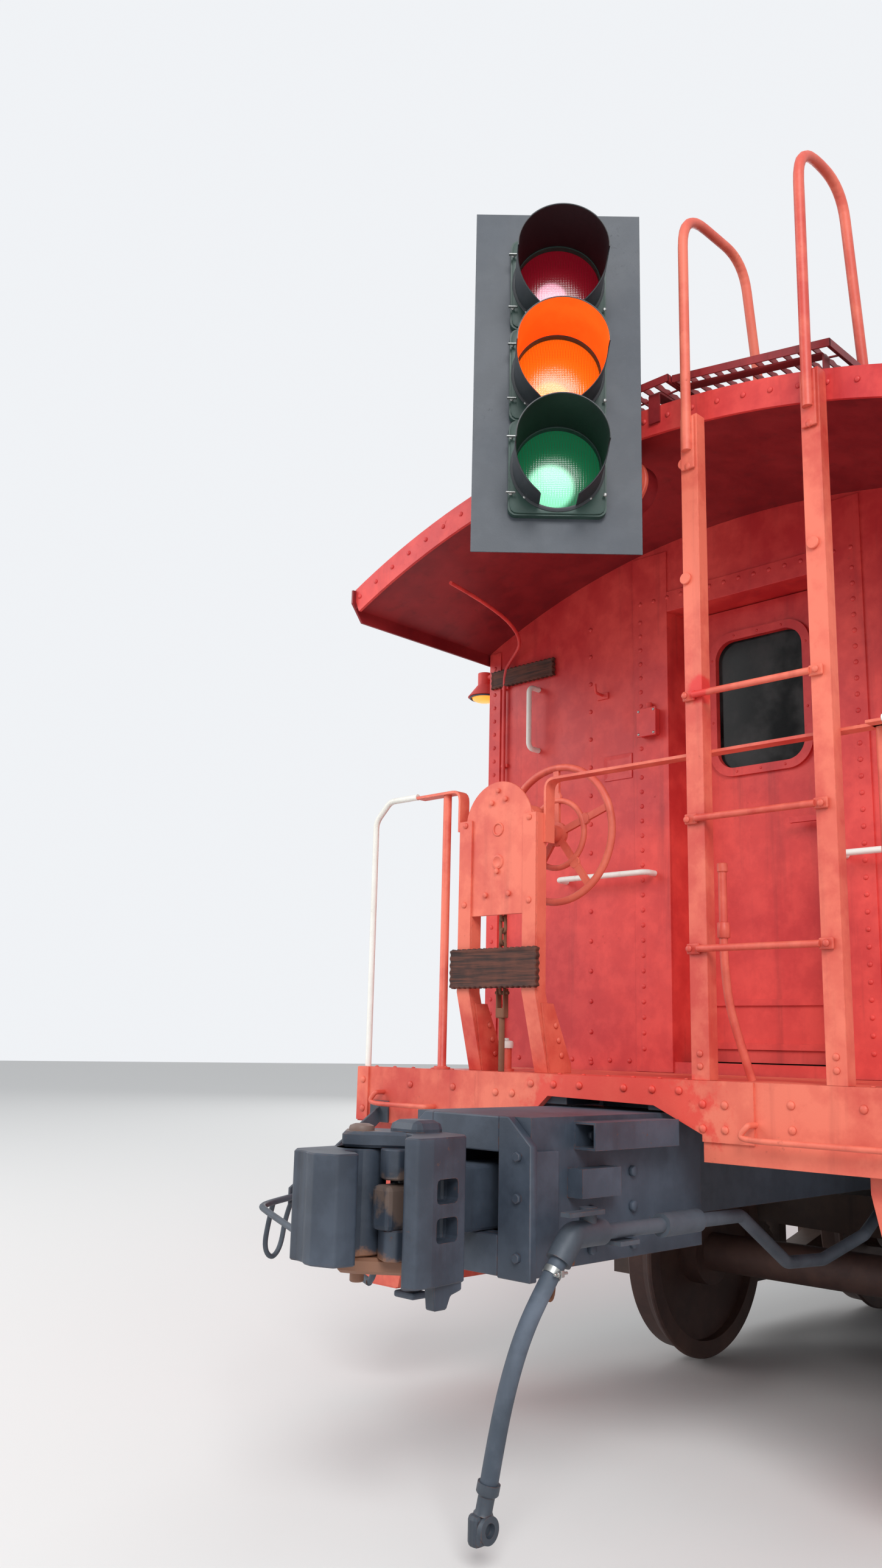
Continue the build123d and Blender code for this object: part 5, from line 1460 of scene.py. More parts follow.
@dataclass
class Signal:
    """The traffic signal's cutaway visors, their linings painted with lamp light and shade, its clips and its
    hinge screws.
    """

    middle: Point = (-5.685, 0.040, 3.645)
    turn: float = 44.0
    pitch: float = 0.356
    door: float = 0.0363
    visor: float = 0.234
    radius: float = 0.1565
    steel: float = 0.003

    def at(self, across: float, out: float, up: float) -> Point:
        """A place by the signal's own axes.

        Args:
            across: Distance to the right of its middle, seen from its front.
            out: Distance in front of its mounting plane.
            up: Height over its middle.

        Returns:
            The place in the car's frame.
        """
        turn = math.radians(self.turn)
        side = Vector((math.sin(turn), -math.cos(turn), 0.0))
        place = Vector(self.middle) + across * side + out * Vector(self.ahead()) + Vector((0.0, 0.0, up))
        return (place.x, place.y, place.z)

    def ahead(self) -> Point:
        """The direction that the lenses face."""
        turn = math.radians(self.turn)
        return (-math.cos(turn), -math.sin(turn), 0.0)

    def cut(self, depth: float) -> float:
        """Half the angle that the visor leaves open below, at a depth from its root, in degrees."""
        share = min(1.0, max(0.0, (depth - 0.090) / 0.108))
        return 24.0 + 64.0 * share * share * (3 - 2 * share)

    def shell(self, shop: Shop, row: int, radius: float, steel: float, slack: float) -> bpy.types.Object:
        """Rolls one visor, or its lining, from a flat sheet.

        Args:
            shop: The hand tools.
            row: 1 for the upper lens, 0 for the middle one, -1 for the lower one.
            radius: Radius of the sheet's middle.
            steel: The sheet's thickness.
            slack: How far the sheet stays back from the visor's edges.

        Returns:
            The rolled sheet.
        """
        shop.clear()
        bpy.ops.mesh.primitive_grid_add(x_subdivisions=30, y_subdivisions=56, size=1)
        sheet = bpy.context.object
        for vertex in sheet.data.vertices:
            depth = slack + (vertex.co.x + 0.5) * (self.visor - 2 * slack)
            open_below = math.radians(self.cut(depth) + slack * 300)
            angle = open_below + (vertex.co.y + 0.5) * (math.tau - 2 * open_below)
            place = self.at(
                radius * math.sin(angle), self.door + depth, row * self.pitch - radius * math.cos(angle)
            )
            vertex.co = place
        shop.pick(sheet)
        bpy.ops.object.mode_set(mode="EDIT")
        bpy.ops.mesh.select_all(action="SELECT")
        bpy.ops.mesh.normals_make_consistent(inside=False)
        bpy.ops.object.mode_set(mode="OBJECT")
        solid = sheet.modifiers.new("steel", "SOLIDIFY")
        solid.thickness = steel
        solid.offset = 0
        bpy.ops.object.modifier_apply(modifier=solid.name)
        shop.smooth(sheet, 50)
        return sheet

    def build(self, shop: Shop) -> None:
        """Builds the visors, the linings that carry painted lamp light and shade, door rings, clips and
        screws.

        Args:
            shop: The hand tools.
        """
        shells = [self.shell(shop, row, self.radius, self.steel, 0.0) for row in (-1, 0, 1)]
        rings = [
            shop.lathe(
                [
                    (0.1545, 0.0), (0.1665, 0.0), (0.1665, 0.003), (0.1590, 0.006), (0.1545, 0.006),
                    (0.1545, 0.0)
                ],
                Spot(self.at(0.0, self.door, row * self.pitch), self.ahead()),
                72,
            )
            for row in (-1, 0, 1)
        ]
        visors = shop.join(shells + rings)
        shop.dress(visors, "cutaway_visors", "car", "signal_black")
        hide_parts("signal_visors")
        # Each lining paints its lamp's light inside its visor: an orange glow in the middle one, a red cast
        # in the upper one and a green cast in the lower one. The red and green linings are darker than the
        # visor's black, as painted shade.
        for row, name, finish in (
            (1, "upper", "visor_painted_red_cast"), (0, "middle", "visor_painted_amber_glow"), (-1, "lower", "visor_painted_green_cast")
        ):
            lining = self.shell(shop, row, self.radius - 0.0024, 0.0006, 0.0018)
            shop.dress(lining, "visor_painted_light_lining_" + name, "car", "signal_black", finish)
        self.clips(shop)

    def clips(self, shop: Shop) -> None:
        """The wing screws that hold each door shut, its hinge screws and the visors' screws."""
        wings, screws, visor_screws = [], [], []
        for row in (-1, 0, 1):
            for step in (-0.105, 0.105):
                wings.append(Spot(self.at(-0.1635, 0.0460, row * self.pitch + step), self.ahead()))
                screws.append(Spot(self.at(0.1635, 0.0460, row * self.pitch + step), self.ahead()))
            for angle in (45, 135, 225, 315):
                across, up = 0.1625 * math.cos(math.radians(angle)), 0.1625 * math.sin(math.radians(angle))
                visor_screws.append(
                    Spot(self.at(across, self.door + 0.0025, row * self.pitch + up), self.ahead())
                )
        nut = shop.fastener(Head.ROUND, 0.0075)
        wing = shop.join([nut, shop.block((0.034, 0.005, 0.012), (0.0, 0.0, 0.009), 0.002)])
        shop.scatter(wing, wings, "signal_wing_screws", "car", "signal_green", "bright_zinc")
        shop.scatter(
            shop.fastener(Head.HEX, 0.0070), screws, "signal_hinge_screws", "car", "signal_green",
            "bright_zinc"
        )
        shop.scatter(
            shop.fastener(Head.ROUND, 0.0055), visor_screws, "visor_screws", "car", "signal_black",
            "bright_zinc"
        )


@dataclass
class Lamps:
    """Glass and rings of the corner lamps, and rims of the end lamps."""

    corner: tuple[float, float, float, float] = (4.495, 1.470, 2.959, 0.062)

    def build(self, shop: Shop) -> None:
        """Builds the lamps' glass and rings.

        Args:
            shop: The hand tools.
        """
        along, side, low, radius = self.corner
        bowls = []
        rings = []
        for way in SIDES:
            for hand in SIDES:
                place = (way * along, hand * side, low)
                bowls.append(Spot(place, UP))
                rings.append(Spot((place[0], place[1], 2.981), UP))
        bowl = shop.lathe(
            [
                (0.0001, 0.0005), (0.022, 0.0015), (0.044, 0.006), (0.058, 0.014), (radius, 0.024),
                (0.0001, 0.024)
            ],
            Spot((0.0, 0.0, 0.0), UP),
        )
        shop.scatter(bowl, bowls, "corner_lamp_glass", "car", "signal_lens", "lamp_amber")
        ring = shop.ring(0.070, 0.0045, Spot((0.0, 0.0, 0.0), UP))
        shop.scatter(ring, rings, "corner_lamp_rings", "car", "fitting_metal")
        rims = [
            shop.lathe(
                [
                    (0.0001, 0.0), (0.070, 0.001), (0.078, 0.006), (0.082, 0.001), (0.098, 0.001),
                    (0.101, -0.006), (0.101, -0.022), (0.0975, -0.026), (0.0975, -0.060), (0.101, -0.064),
                    (0.101, -0.076), (0.0001, -0.078)
                ],
                Spot((way * 5.408, 0.0, 3.3447), (float(way), 0.0, 0.0)),
                56,
            )
            for way in SIDES
        ]
        # The rims take the lighter trim_red in place of their roof_red slot: painted lighter, to make up for
        # the shade they sit in.
        shop.dress(shop.join(rims), "end_lamp_rims", "car", "roof_red", "trim_red")


@dataclass
class AirFittings:
    """The hose clamp, and the bracket plate with its loose link beside the coupler."""

    gland: Point = (-HALF - 0.570, -0.330, 0.812)
    direction: Point = (-0.60, 0.10, -0.79)

    def build(self, shop: Shop) -> None:
        """Builds the fittings.

        Args:
            shop: The hand tools.
        """
        way = Vector(self.direction).normalized()
        middle = Vector(self.gland) + 0.112 * way
        band = shop.lathe(
            [(0.0243, -0.009), (0.0262, -0.009), (0.0262, 0.009), (0.0243, 0.009), (0.0243, -0.009)],
            Spot(tuple(middle), tuple(way)),
            40,
        )
        side = Vector((0.0, -1.0, 0.0))
        lug = middle + 0.030 * side
        ears = shop.block((0.014, 0.012, 0.018), tuple(lug), 0.002)
        bolt = shop.rod(0.004, tuple(lug + Vector((-0.030, 0, 0))), tuple(lug + Vector((0.024, 0, 0))))
        nut = shop.rod(0.008, tuple(lug + Vector((-0.020, 0, 0))), tuple(lug + Vector((-0.012, 0, 0))), 6)
        clamp = shop.join([band, ears, bolt, nut])
        shop.dress(clamp, "hose_clamp", "car", "fitting_metal", "bright_zinc")
        self.loose_link(shop)

    def loose_link(self, shop: Shop) -> None:
        """A rusty bracket plate below the striker with a link in its eye."""
        plate = shop.block((0.150, 0.010, 0.050), (-6.000, -0.232, 0.735), 0.003)
        link = shop.line(
            [
                (-6.050, -0.250, 0.722),
                (-6.066, -0.250, 0.700),
                (-6.066, -0.250, 0.650),
                (-6.050, -0.250, 0.628),
                (-6.034, -0.250, 0.650),
                (-6.034, -0.250, 0.700),
            ],
            0.006,
            closed=True,
            bend=4,
        )
        pin = shop.rod(0.006, (-6.050, -0.226, 0.712), (-6.050, -0.262, 0.712), 16)
        fitting = shop.join([plate, link, pin])
        shop.dress(fitting, "loose_link", "car", "underframe_grey", "iron_rust")


@dataclass
class TruckBolts:
    """Bolts of the trucks' columns and chords."""

    centres: tuple[tuple[str, float], ...] = (("truck_b", -2.995), ("truck_a", 2.995))
    face: float = 1.030
    columns: tuple[float, ...] = (-0.266, 0.266)
    heights: tuple[float, ...] = (0.33, 0.45, 0.57, 0.66)
    head: float = 0.014

    def build(self, shop: Shop) -> None:
        """Sets the bolts of both trucks.

        Args:
            shop: The hand tools.
        """
        for truck, centre in self.centres:
            spots = []
            for side in SIDES:
                out = (0.0, float(side), 0.0)
                for column in self.columns:
                    for height in self.heights:
                        spots.append(Spot((centre + column, side * self.face, height), out, size=1.2))
            bolt = shop.fastener(Head.HEX, self.head)
            shop.scatter(bolt, spots, truck + "_column_bolts", truck, "running_gear")


@dataclass
class Doors:
    """Screws of the door windows' frames, and the doors' latch plates."""

    front: float = -4.415
    frame_proud: float = 0.014
    middle: float = 2.730
    half_width: float = 0.217
    half_height: float = 0.292
    screw_rises: tuple[float, ...] = (-0.20, -0.07, 0.07, 0.20)
    screw_sides: tuple[float, ...] = (-0.11, 0.0, 0.11)
    lock_side: float = -0.263

    def build(self, shop: Shop) -> None:
        """Builds both doors' small parts.

        Args:
            shop: The hand tools.
        """
        face = self.front - self.frame_proud
        places = [
            (side * self.half_width, self.middle + rise)
            for side in SIDES
            for rise in self.screw_rises
        ]
        places += [
            (side, self.middle + rise * self.half_height) for rise in SIDES for side in self.screw_sides
        ]
        for way, end in ENDS:
            body = "door_leaf_" + end
            spots = [Spot((face, side, height), AHEAD).at_end(way) for side, height in places]
            shop.scatter(
                shop.fastener(Head.ROUND, 0.0055), spots, "door_frame_screws_" + end, body, "body_red"
            )
            plate = shop.block((0.004, 0.046, 0.170), (self.front - 0.0015, self.lock_side, 2.190), 0.0012)
            rose = shop.lathe(
                [(0.0001, 0.0), (0.013, 0.0), (0.013, 0.002), (0.010, 0.004), (0.0001, 0.004)],
                Spot((self.front - 0.0030, self.lock_side, 2.130), AHEAD),
                24,
            )
            lock = shop.join([plate, rose])
            if way > 0:
                lock.matrix_world = Matrix.Rotation(math.pi, 4, "Z") @ lock.matrix_world
            shop.dress(lock, "door_lock_plate_" + end, body, "body_red", "iron_rust")


@dataclass
class UnderfloorFittings:
    """Straps of the air tanks under the floor."""

    tanks: tuple[tuple[Point, float, tuple[float, ...]], ...] = (
        ((-0.70, 0.62, 0.85), 0.160, (-0.12, 0.12)),
        ((0.70, 0.64, 0.85), 0.190, (-0.28, 0.28)),
    )
    half_width: float = 0.020
    steel: float = 0.005
    sunk: float = 0.001

    def build(self, shop: Shop) -> None:
        """Builds a pair of straps round each tank.

        Args:
            shop: The hand tools.
        """
        straps = []
        for middle, radius, places in self.tanks:
            for place in places:
                inner = radius - self.sunk
                outer = radius + self.steel
                edge = self.half_width
                straps.append(
                    shop.lathe(
                        [(inner, -edge), (outer, -edge), (outer, edge), (inner, edge), (inner, -edge)],
                        Spot((middle[0] + place, middle[1], middle[2]), (1.0, 0.0, 0.0)),
                        48,
                    )
                )
        shop.dress(shop.join(straps), "tank_straps", "car", "underframe_grey")


def rounded(points: Sequence[Point], radius: float, parts: int = 5) -> list[Vector]:
    """A bent bar's line: straight runs with an arc at each corner.

    Args:
        points: The corners.
        radius: Radius of the bends.
        parts: How many steps make a bend.

    Returns:
        The line's points.
    """
    corners = [Vector(point) for point in points]
    line = [corners[0]]
    for before, here, after in zip(corners, corners[1:], corners[2:]):
        come, leave = (here - before).normalized(), (after - here).normalized()
        turn = come.angle(leave)
        if radius <= 0 or turn < 0.02:
            line.append(here)
            continue
        back = radius * math.tan(turn / 2)
        for number in range(parts + 1):
            share = number / parts
            first = here - back * (1 - share) * come
            last = here + back * share * leave
            line.append(first.lerp(last, share))
    line.append(corners[-1])
    return line


def arc(radius: float, centre: float, half: float, along: float, parts: int = 40) -> list[Point]:
    """Points of a roof's curve across the car.

    Args:
        radius: Radius of the curve.
        centre: Height of its centre.
        half: How far it reaches to each side.
        along: Its place along the car.
        parts: How many runs there are.

    Returns:
        The points, from the car's right to its left.
    """
    places = [half * (2 * number / parts - 1) for number in range(parts + 1)]
    return [(along, place, centre + math.sqrt(radius**2 - place**2)) for place in places]


class Smith(Shop):
    """A shop that also bends flat bars, cuts plates, cuts one piece out of another and makes twins for the
    other end.
    """

    def flat_bar(
        self, points: Sequence[Point], side: Point, width: float, thickness: float, radius: float = 0.0,
        teeth: float = 0.0,
    ) -> bpy.types.Object:
        """Bends a flat bar along a line.

        Args:
            points: The corners of its middle line.
            side: The direction of its width.
            width: Its width.
            thickness: Its thickness.
            radius: Radius of its bends.
            teeth: How deep every second step of its upper edge is notched.

        Returns:
            The bar.
        """
        line = rounded(points, radius)
        closed = (line[0] - line[-1]).length < 0.0001
        self.clear()
        bpy.ops.mesh.primitive_grid_add(x_subdivisions=len(line) - 1, y_subdivisions=1, size=1)
        bar = bpy.context.object
        count = len(bar.data.vertices) // 2 - 1
        reach = Vector(side).normalized() * width
        for vertex in bar.data.vertices:
            step = round((vertex.co.x + 0.5) * count)
            share = vertex.co.y
            if teeth and share > 0 and step % 2:
                share -= teeth / width
            vertex.co = line[min(step, len(line) - 1)] + reach * share
        self.pick(bar)
        bpy.ops.object.mode_set(mode="EDIT")
        bpy.ops.mesh.select_all(action="SELECT")
        if closed:
            bpy.ops.mesh.remove_doubles(threshold=0.0001)
        bpy.ops.mesh.normals_make_consistent(inside=False)
        bpy.ops.object.mode_set(mode="OBJECT")
        solid = bar.modifiers.new("thick", "SOLIDIFY")
        solid.thickness = thickness
        solid.offset = 0
        solid.use_even_offset = True
        bpy.ops.object.modifier_apply(modifier=solid.name)
        self.smooth(bar, 32)
        return bar

    def rounded_ring(
        self, middle: Point, across: Point, up: Point, size: tuple[float, float], corner: float, depth: float,
        wide: float,
    ) -> bpy.types.Object:
        """Models a window's frame.

        Args:
            middle: Its middle.
            across: Direction of its width.
            up: Direction of its height.
            size: Its width and height, to the middle of the frame.
            corner: Radius of its corners.
            depth: How deep the frame is, through the wall.
            wide: How wide the frame's bars are.

        Returns:
            The frame.
        """
        side, rise, here = Vector(across), Vector(up), Vector(middle)
        half_wide, half_high = size[0] / 2, size[1] / 2
        turns = [
            here - half_wide * side,
            here - half_wide * side + half_high * rise,
            here + half_wide * side + half_high * rise,
            here + half_wide * side - half_high * rise,
            here - half_wide * side - half_high * rise,
            here - half_wide * side,
        ]
        return self.flat_bar([tuple(turn) for turn in turns], tuple(side.cross(rise)), depth, wide, corner)

    def plate(self, outline: Sequence[Point], thickness: Point, bevel: float = 0.001) -> bpy.types.Object:
        """Cuts a flat plate with a straight outline.

        Args:
            outline: Its corners in order.
            thickness: How far, and which way, the face is drawn out.
            bevel: The width of its rounded edges.

        Returns:
            The plate.
        """
        self.clear()
        bpy.ops.mesh.primitive_circle_add(vertices=len(outline), radius=1, fill_type="NGON")
        piece = bpy.context.object
        for vertex, place in zip(piece.data.vertices, outline):
            vertex.co = place
        bpy.ops.object.mode_set(mode="EDIT")
        bpy.ops.mesh.select_all(action="SELECT")
        bpy.ops.mesh.extrude_region_move(TRANSFORM_OT_translate={"value": thickness})
        bpy.ops.mesh.select_all(action="SELECT")
        bpy.ops.mesh.normals_make_consistent(inside=False)
        bpy.ops.object.mode_set(mode="OBJECT")
        self.round_edges(piece, bevel, 1)
        self.smooth(piece, 35)
        return piece

    def cut(self, piece: bpy.types.Object, cutter: bpy.types.Object) -> None:
        """Cuts one piece out of another, and scraps the cutter."""
        self.pick(piece)
        hollow = piece.modifiers.new("hollow", "BOOLEAN")
        hollow.operation = "DIFFERENCE"
        hollow.solver = "EXACT"
        hollow.object = cutter
        bpy.ops.object.modifier_apply(modifier=hollow.name)
        bpy.data.objects.remove(cutter)

    def twin(
        self, piece: bpy.types.Object, name: str, body: str, slot: str, finish: str = ""
    ) -> bpy.types.Object:
        """Copies a finished piece of the B end half round to the A end.

        Args:
            piece: The piece.
            name: The copy's name.
            body: The body that the copy moves with.
            slot: The record's slot.
            finish: The finish, where it isn't the slot's own.

        Returns:
            The copy.
        """
        copy = bpy.data.objects.new(name, piece.data.copy())
        bpy.context.scene.collection.objects.link(copy)
        copy.matrix_world = Matrix.Rotation(math.pi, 4, "Z")
        return self.dress(copy, name, body, slot, finish)

    def both(
        self, pieces: Sequence[bpy.types.Object], name: str, slot: str, finish: str = ""
    ) -> tuple[bpy.types.Object, bpy.types.Object]:
        """Joins pieces into one at the B end and its twin at the A end, both on the car.

        Args:
            pieces: The pieces.
            name: Their name, to which the end's letter is added.
            slot: The record's slot.
            finish: The finish, where it isn't the slot's own.

        Returns:
            The B end's piece and the A end's.
        """
        first = self.dress(self.join(pieces), name + "_b", "car", slot, finish)
        return first, self.twin(first, name + "_a", "car", slot, finish)


@dataclass
class BodyStrips:
    """The riveted strips over the joints of the sheets, the roof's seams and its fascias."""

    out: float = 0.006
    roof_centre: float = ROOF_CENTRE
    edge: float = 1.385
    seams: tuple[float, ...] = SEAMS
    laps: tuple[float, ...] = LAPS

    def build(self, shop: Smith) -> None:
        """Builds the strips.

        Args:
            shop: The hand tools.
        """
        face = -WALL_OUT - self.out / 2
        strips = []
        for side in SIDES:
            strips.append(
                shop.block((self.out + 0.002, 0.177, 2.205), (face, side * 0.4415, 2.3235), 0.0015)
            )
            strips.append(
                shop.block((self.out + 0.002, 0.070, 1.945), (face, side * 1.340, 2.1935), 0.0015)
            )
        strips.append(shop.block((self.out + 0.002, 0.706, 0.090), (face, 0.0, 3.195), 0.0015))
        shop.both(strips, "end_strips", "body_red")
        sides = []
        for side in SIDES:
            middle = side * (BODY_HALF + self.out / 2)
            for lap in sorted({way * place for place in self.laps for way in SIDES}):
                sides.append(shop.block((0.070, self.out + 0.002, 1.930), (lap, middle, 2.180), 0.0015))
            for height, tall in ((2.030, 0.080), (1.252, 0.080)):
                sides.append(shop.block((9.10, self.out + 0.001, tall), (0.0, middle, height), 0.0015))
        shop.dress(shop.join(sides), "side_strips", "car", "body_red")
        bands = [
            shop.flat_bar(arc(3.3135, self.roof_centre, self.edge, -seam), (1, 0, 0), 0.050, 0.009)
            for seam in self.seams
        ]
        shop.both(bands, "roof_bands", "roof_red")
        # The fascia takes the brighter body_red, a lit copy of the roof's red beside that red's painted
        # shade.
        fascia = shop.flat_bar(arc(3.2655, self.roof_centre, self.edge, -5.4205), (1, 0, 0), 0.013, 0.105)
        shop.both([fascia], "roof_fascia", "roof_red", "body_red")


@dataclass
class Windows:
    """Frames of the cupola's windows and meeting rails of the side windows."""

    side_xs: tuple[float, ...] = (-3.65, -2.35, -1.05, 1.05, 2.35, 3.65)
    middle: float = 2.475
    cupola_middle: float = 3.840

    def build(self, shop: Smith) -> None:
        """Builds the frames and rails.

        Args:
            shop: The hand tools.
        """
        rails = []
        for side in SIDES:
            for along in self.side_xs:
                rails.append(
                    shop.block(
                        (0.560, 0.030, 0.040), (along, side * (BODY_HALF - 0.012), self.middle), 0.004
                    )
                )
                rails.append(
                    shop.block((0.700, 0.026, 0.030), (along, side * (BODY_HALF + 0.010), 2.108), 0.005)
                )
        shop.dress(shop.join(rails), "side_window_rails", "car", "white_paint")
        frames = []
        for way in SIDES:
            for along in (-0.640, 0.640):
                frames.append(
                    shop.rounded_ring((along, way * 1.152, self.cupola_middle), (1, 0, 0), (0, 0, 1),
                                      (0.845, 0.585), 0.060, 0.022, 0.035)
                )
            for across in (-0.560, 0.560):
                frames.append(
                    shop.rounded_ring((way * 1.252, across, self.cupola_middle + 0.060), (0, 1, 0), (0, 0, 1),
                                      (0.645, 0.465), 0.060, 0.022, 0.035)
                )
        shop.dress(shop.join(frames), "cupola_window_frames", "car", "body_red", "white_paint")


@dataclass
class RoofWalk:
    """Gratings of the roof walks, on bent straps."""

    top: float = 3.640
    deep: float = 0.028
    half: float = 0.280
    start: float = 1.350
    stop: float = 5.465
    roof_radius: float = 3.310
    roof_centre: float = ROOF_CENTRE
    slope: float = 0.165

    def bars(self, shop: Smith, low: Point, high: Point, count: int) -> list[bpy.types.Object]:
        """Notched bars along the car between two corners, with flat rims and cross rods.

        Args:
            shop: The hand tools.
            low: The grating's corner with the lowest x and y.
            high: The opposite corner.
            count: How many bars there are.

        Returns:
            The grating's pieces.
        """
        middle_z = self.top - self.deep / 2
        runs = max(2, round((high[0] - low[0]) / 0.024))
        pieces = []
        for number in range(count):
            across = low[1] + 0.012 + (high[1] - low[1] - 0.024) * number / (count - 1)
            line = [
                (low[0] + (high[0] - low[0]) * step / runs, across, middle_z) for step in range(runs + 1)
            ]
            pieces.append(shop.flat_bar(line, (0, 0, 1), self.deep - 0.004, 0.005, 0.0, 0.006))
        middle = ((low[0] + high[0]) / 2, (low[1] + high[1]) / 2)
        for across in (low[1] + 0.003, high[1] - 0.003):
            pieces.append(
                shop.block((high[0] - low[0], 0.006, self.deep), (middle[0], across, middle_z), 0.001)
            )
        for along in (low[0] + 0.003, high[0] - 0.003):
            pieces.append(
                shop.block((0.006, high[1] - low[1], self.deep), (along, middle[1], middle_z), 0.001)
            )
        for along in steps(low[0] + 0.10, high[0] - 0.10, 0.100):
            pieces.append(
                shop.rod(
                    0.004, (along, low[1] + 0.004, middle_z), (along, high[1] - 0.004, middle_z), 8, 0.0005
                )
            )
        return pieces

    def straps(self, shop: Smith) -> list[bpy.types.Object]:
        """Bent straps that carry the walk over the roof, and stays at its side boards.

        Args:
            shop: The hand tools.

        Returns:
            The straps.
        """
        under = self.top - self.deep - 0.003
        pieces = []
        for along in (-5.30, -4.30, -3.30, -2.30):
            foot = self.roof_centre + math.sqrt(self.roof_radius**2 - 0.23**2) + 0.002
            line = [
                (along, -0.275, foot + 0.001),
                (along, -0.230, foot + 0.001),
                (along, -0.230, under),
                (along, 0.230, under),
                (along, 0.230, foot + 0.001),
                (along, 0.275, foot + 0.001),
            ]
            pieces.append(shop.flat_bar(line, (1, 0, 0), 0.040, 0.006, 0.010))
        for along in (-5.395, -4.935):
            foot = self.roof_centre + math.sqrt(self.roof_radius**2 - 0.84**2)
            line = [
                (along, -0.800, foot + 0.012),
                (along, -0.840, foot + 0.002),
                (along, -0.840, under - self.slope * 0.556),
                (along, -0.300, under - self.slope * 0.016),
            ]
            pieces.append(shop.flat_bar(line, (1, 0, 0), 0.040, 0.006, 0.008))
        for across in (-0.200, 0.200):
            drop = self.roof_centre + math.sqrt(ROOF_UNDER**2 - across**2)
            line = [
                (-5.432, across, drop - 0.020),
                (-5.432, across, under - 0.005),
                (-5.250, across, under),
            ]
            pieces.append(shop.flat_bar(line, (0, 1, 0), 0.045, 0.008, 0.010))
        return pieces

    def build(self, shop: Smith) -> None:
        """Builds the walks of both ends, in place of the plain boards.

        Args:
            shop: The hand tools.
        """
        pieces = self.bars(shop, (-self.stop, -self.half, 0), (-self.start, self.half, 0), 12)
        board = shop.join(self.bars(shop, (-5.445, -0.880, 0), (-4.885, -self.half - 0.004, 0), 12))
        for vertex in board.data.vertices:
            vertex.co.z += self.slope * (vertex.co.y + self.half + 0.004)
        pieces.append(board)
        pieces += self.straps(shop)
        for walk in shop.both(pieces, "roof_walk", "roof_red"):
            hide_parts("running_boards")


@dataclass
class Railing:
    """The bent handrails with their posts and round feet."""

    top: float = 2.260
    left: float = -5.451
    right: float = -5.4097

    def build(self, shop: Smith) -> None:
        """Builds both ends' railings.

        Args:
            shop: The hand tools.
        """
        pieces = [
            shop.flat_bar(
                [
                    (self.left, 0.920, self.top), (self.left, 0.6825, self.top),
                    (self.left, 0.6825, self.top - 0.160)
                ],
                (1, 0, 0), 0.050, 0.010, 0.040,
            ),
            shop.flat_bar(
                [
                    (self.right, 0.2945, self.top - 0.230), (self.right, 0.2945, self.top),
                    (self.right, -1.000, self.top)
                ],
                (1, 0, 0), 0.050, 0.010, 0.040,
            ),
            shop.block((0.065, 0.050, 0.010), (-5.442, -0.975, self.top), 0.002),
        ]
        for along, across in ((self.left, 0.770), (self.right, -0.970)):
            pieces.append(
                shop.lathe(
                    [
                        (0.0001, 0.0), (0.032, 0.0), (0.032, 0.006), (0.030, 0.008), (0.019, 0.009),
                        (0.016, 0.014), (0.016, 1.034), (0.0001, 1.034)
                    ],
                    Spot((along, across, 1.2203), UP),
                    24,
                )
            )
        first, second = shop.both(pieces, "railing_bars", "trim_red")
        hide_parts("railing_b")
        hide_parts("railing_a")


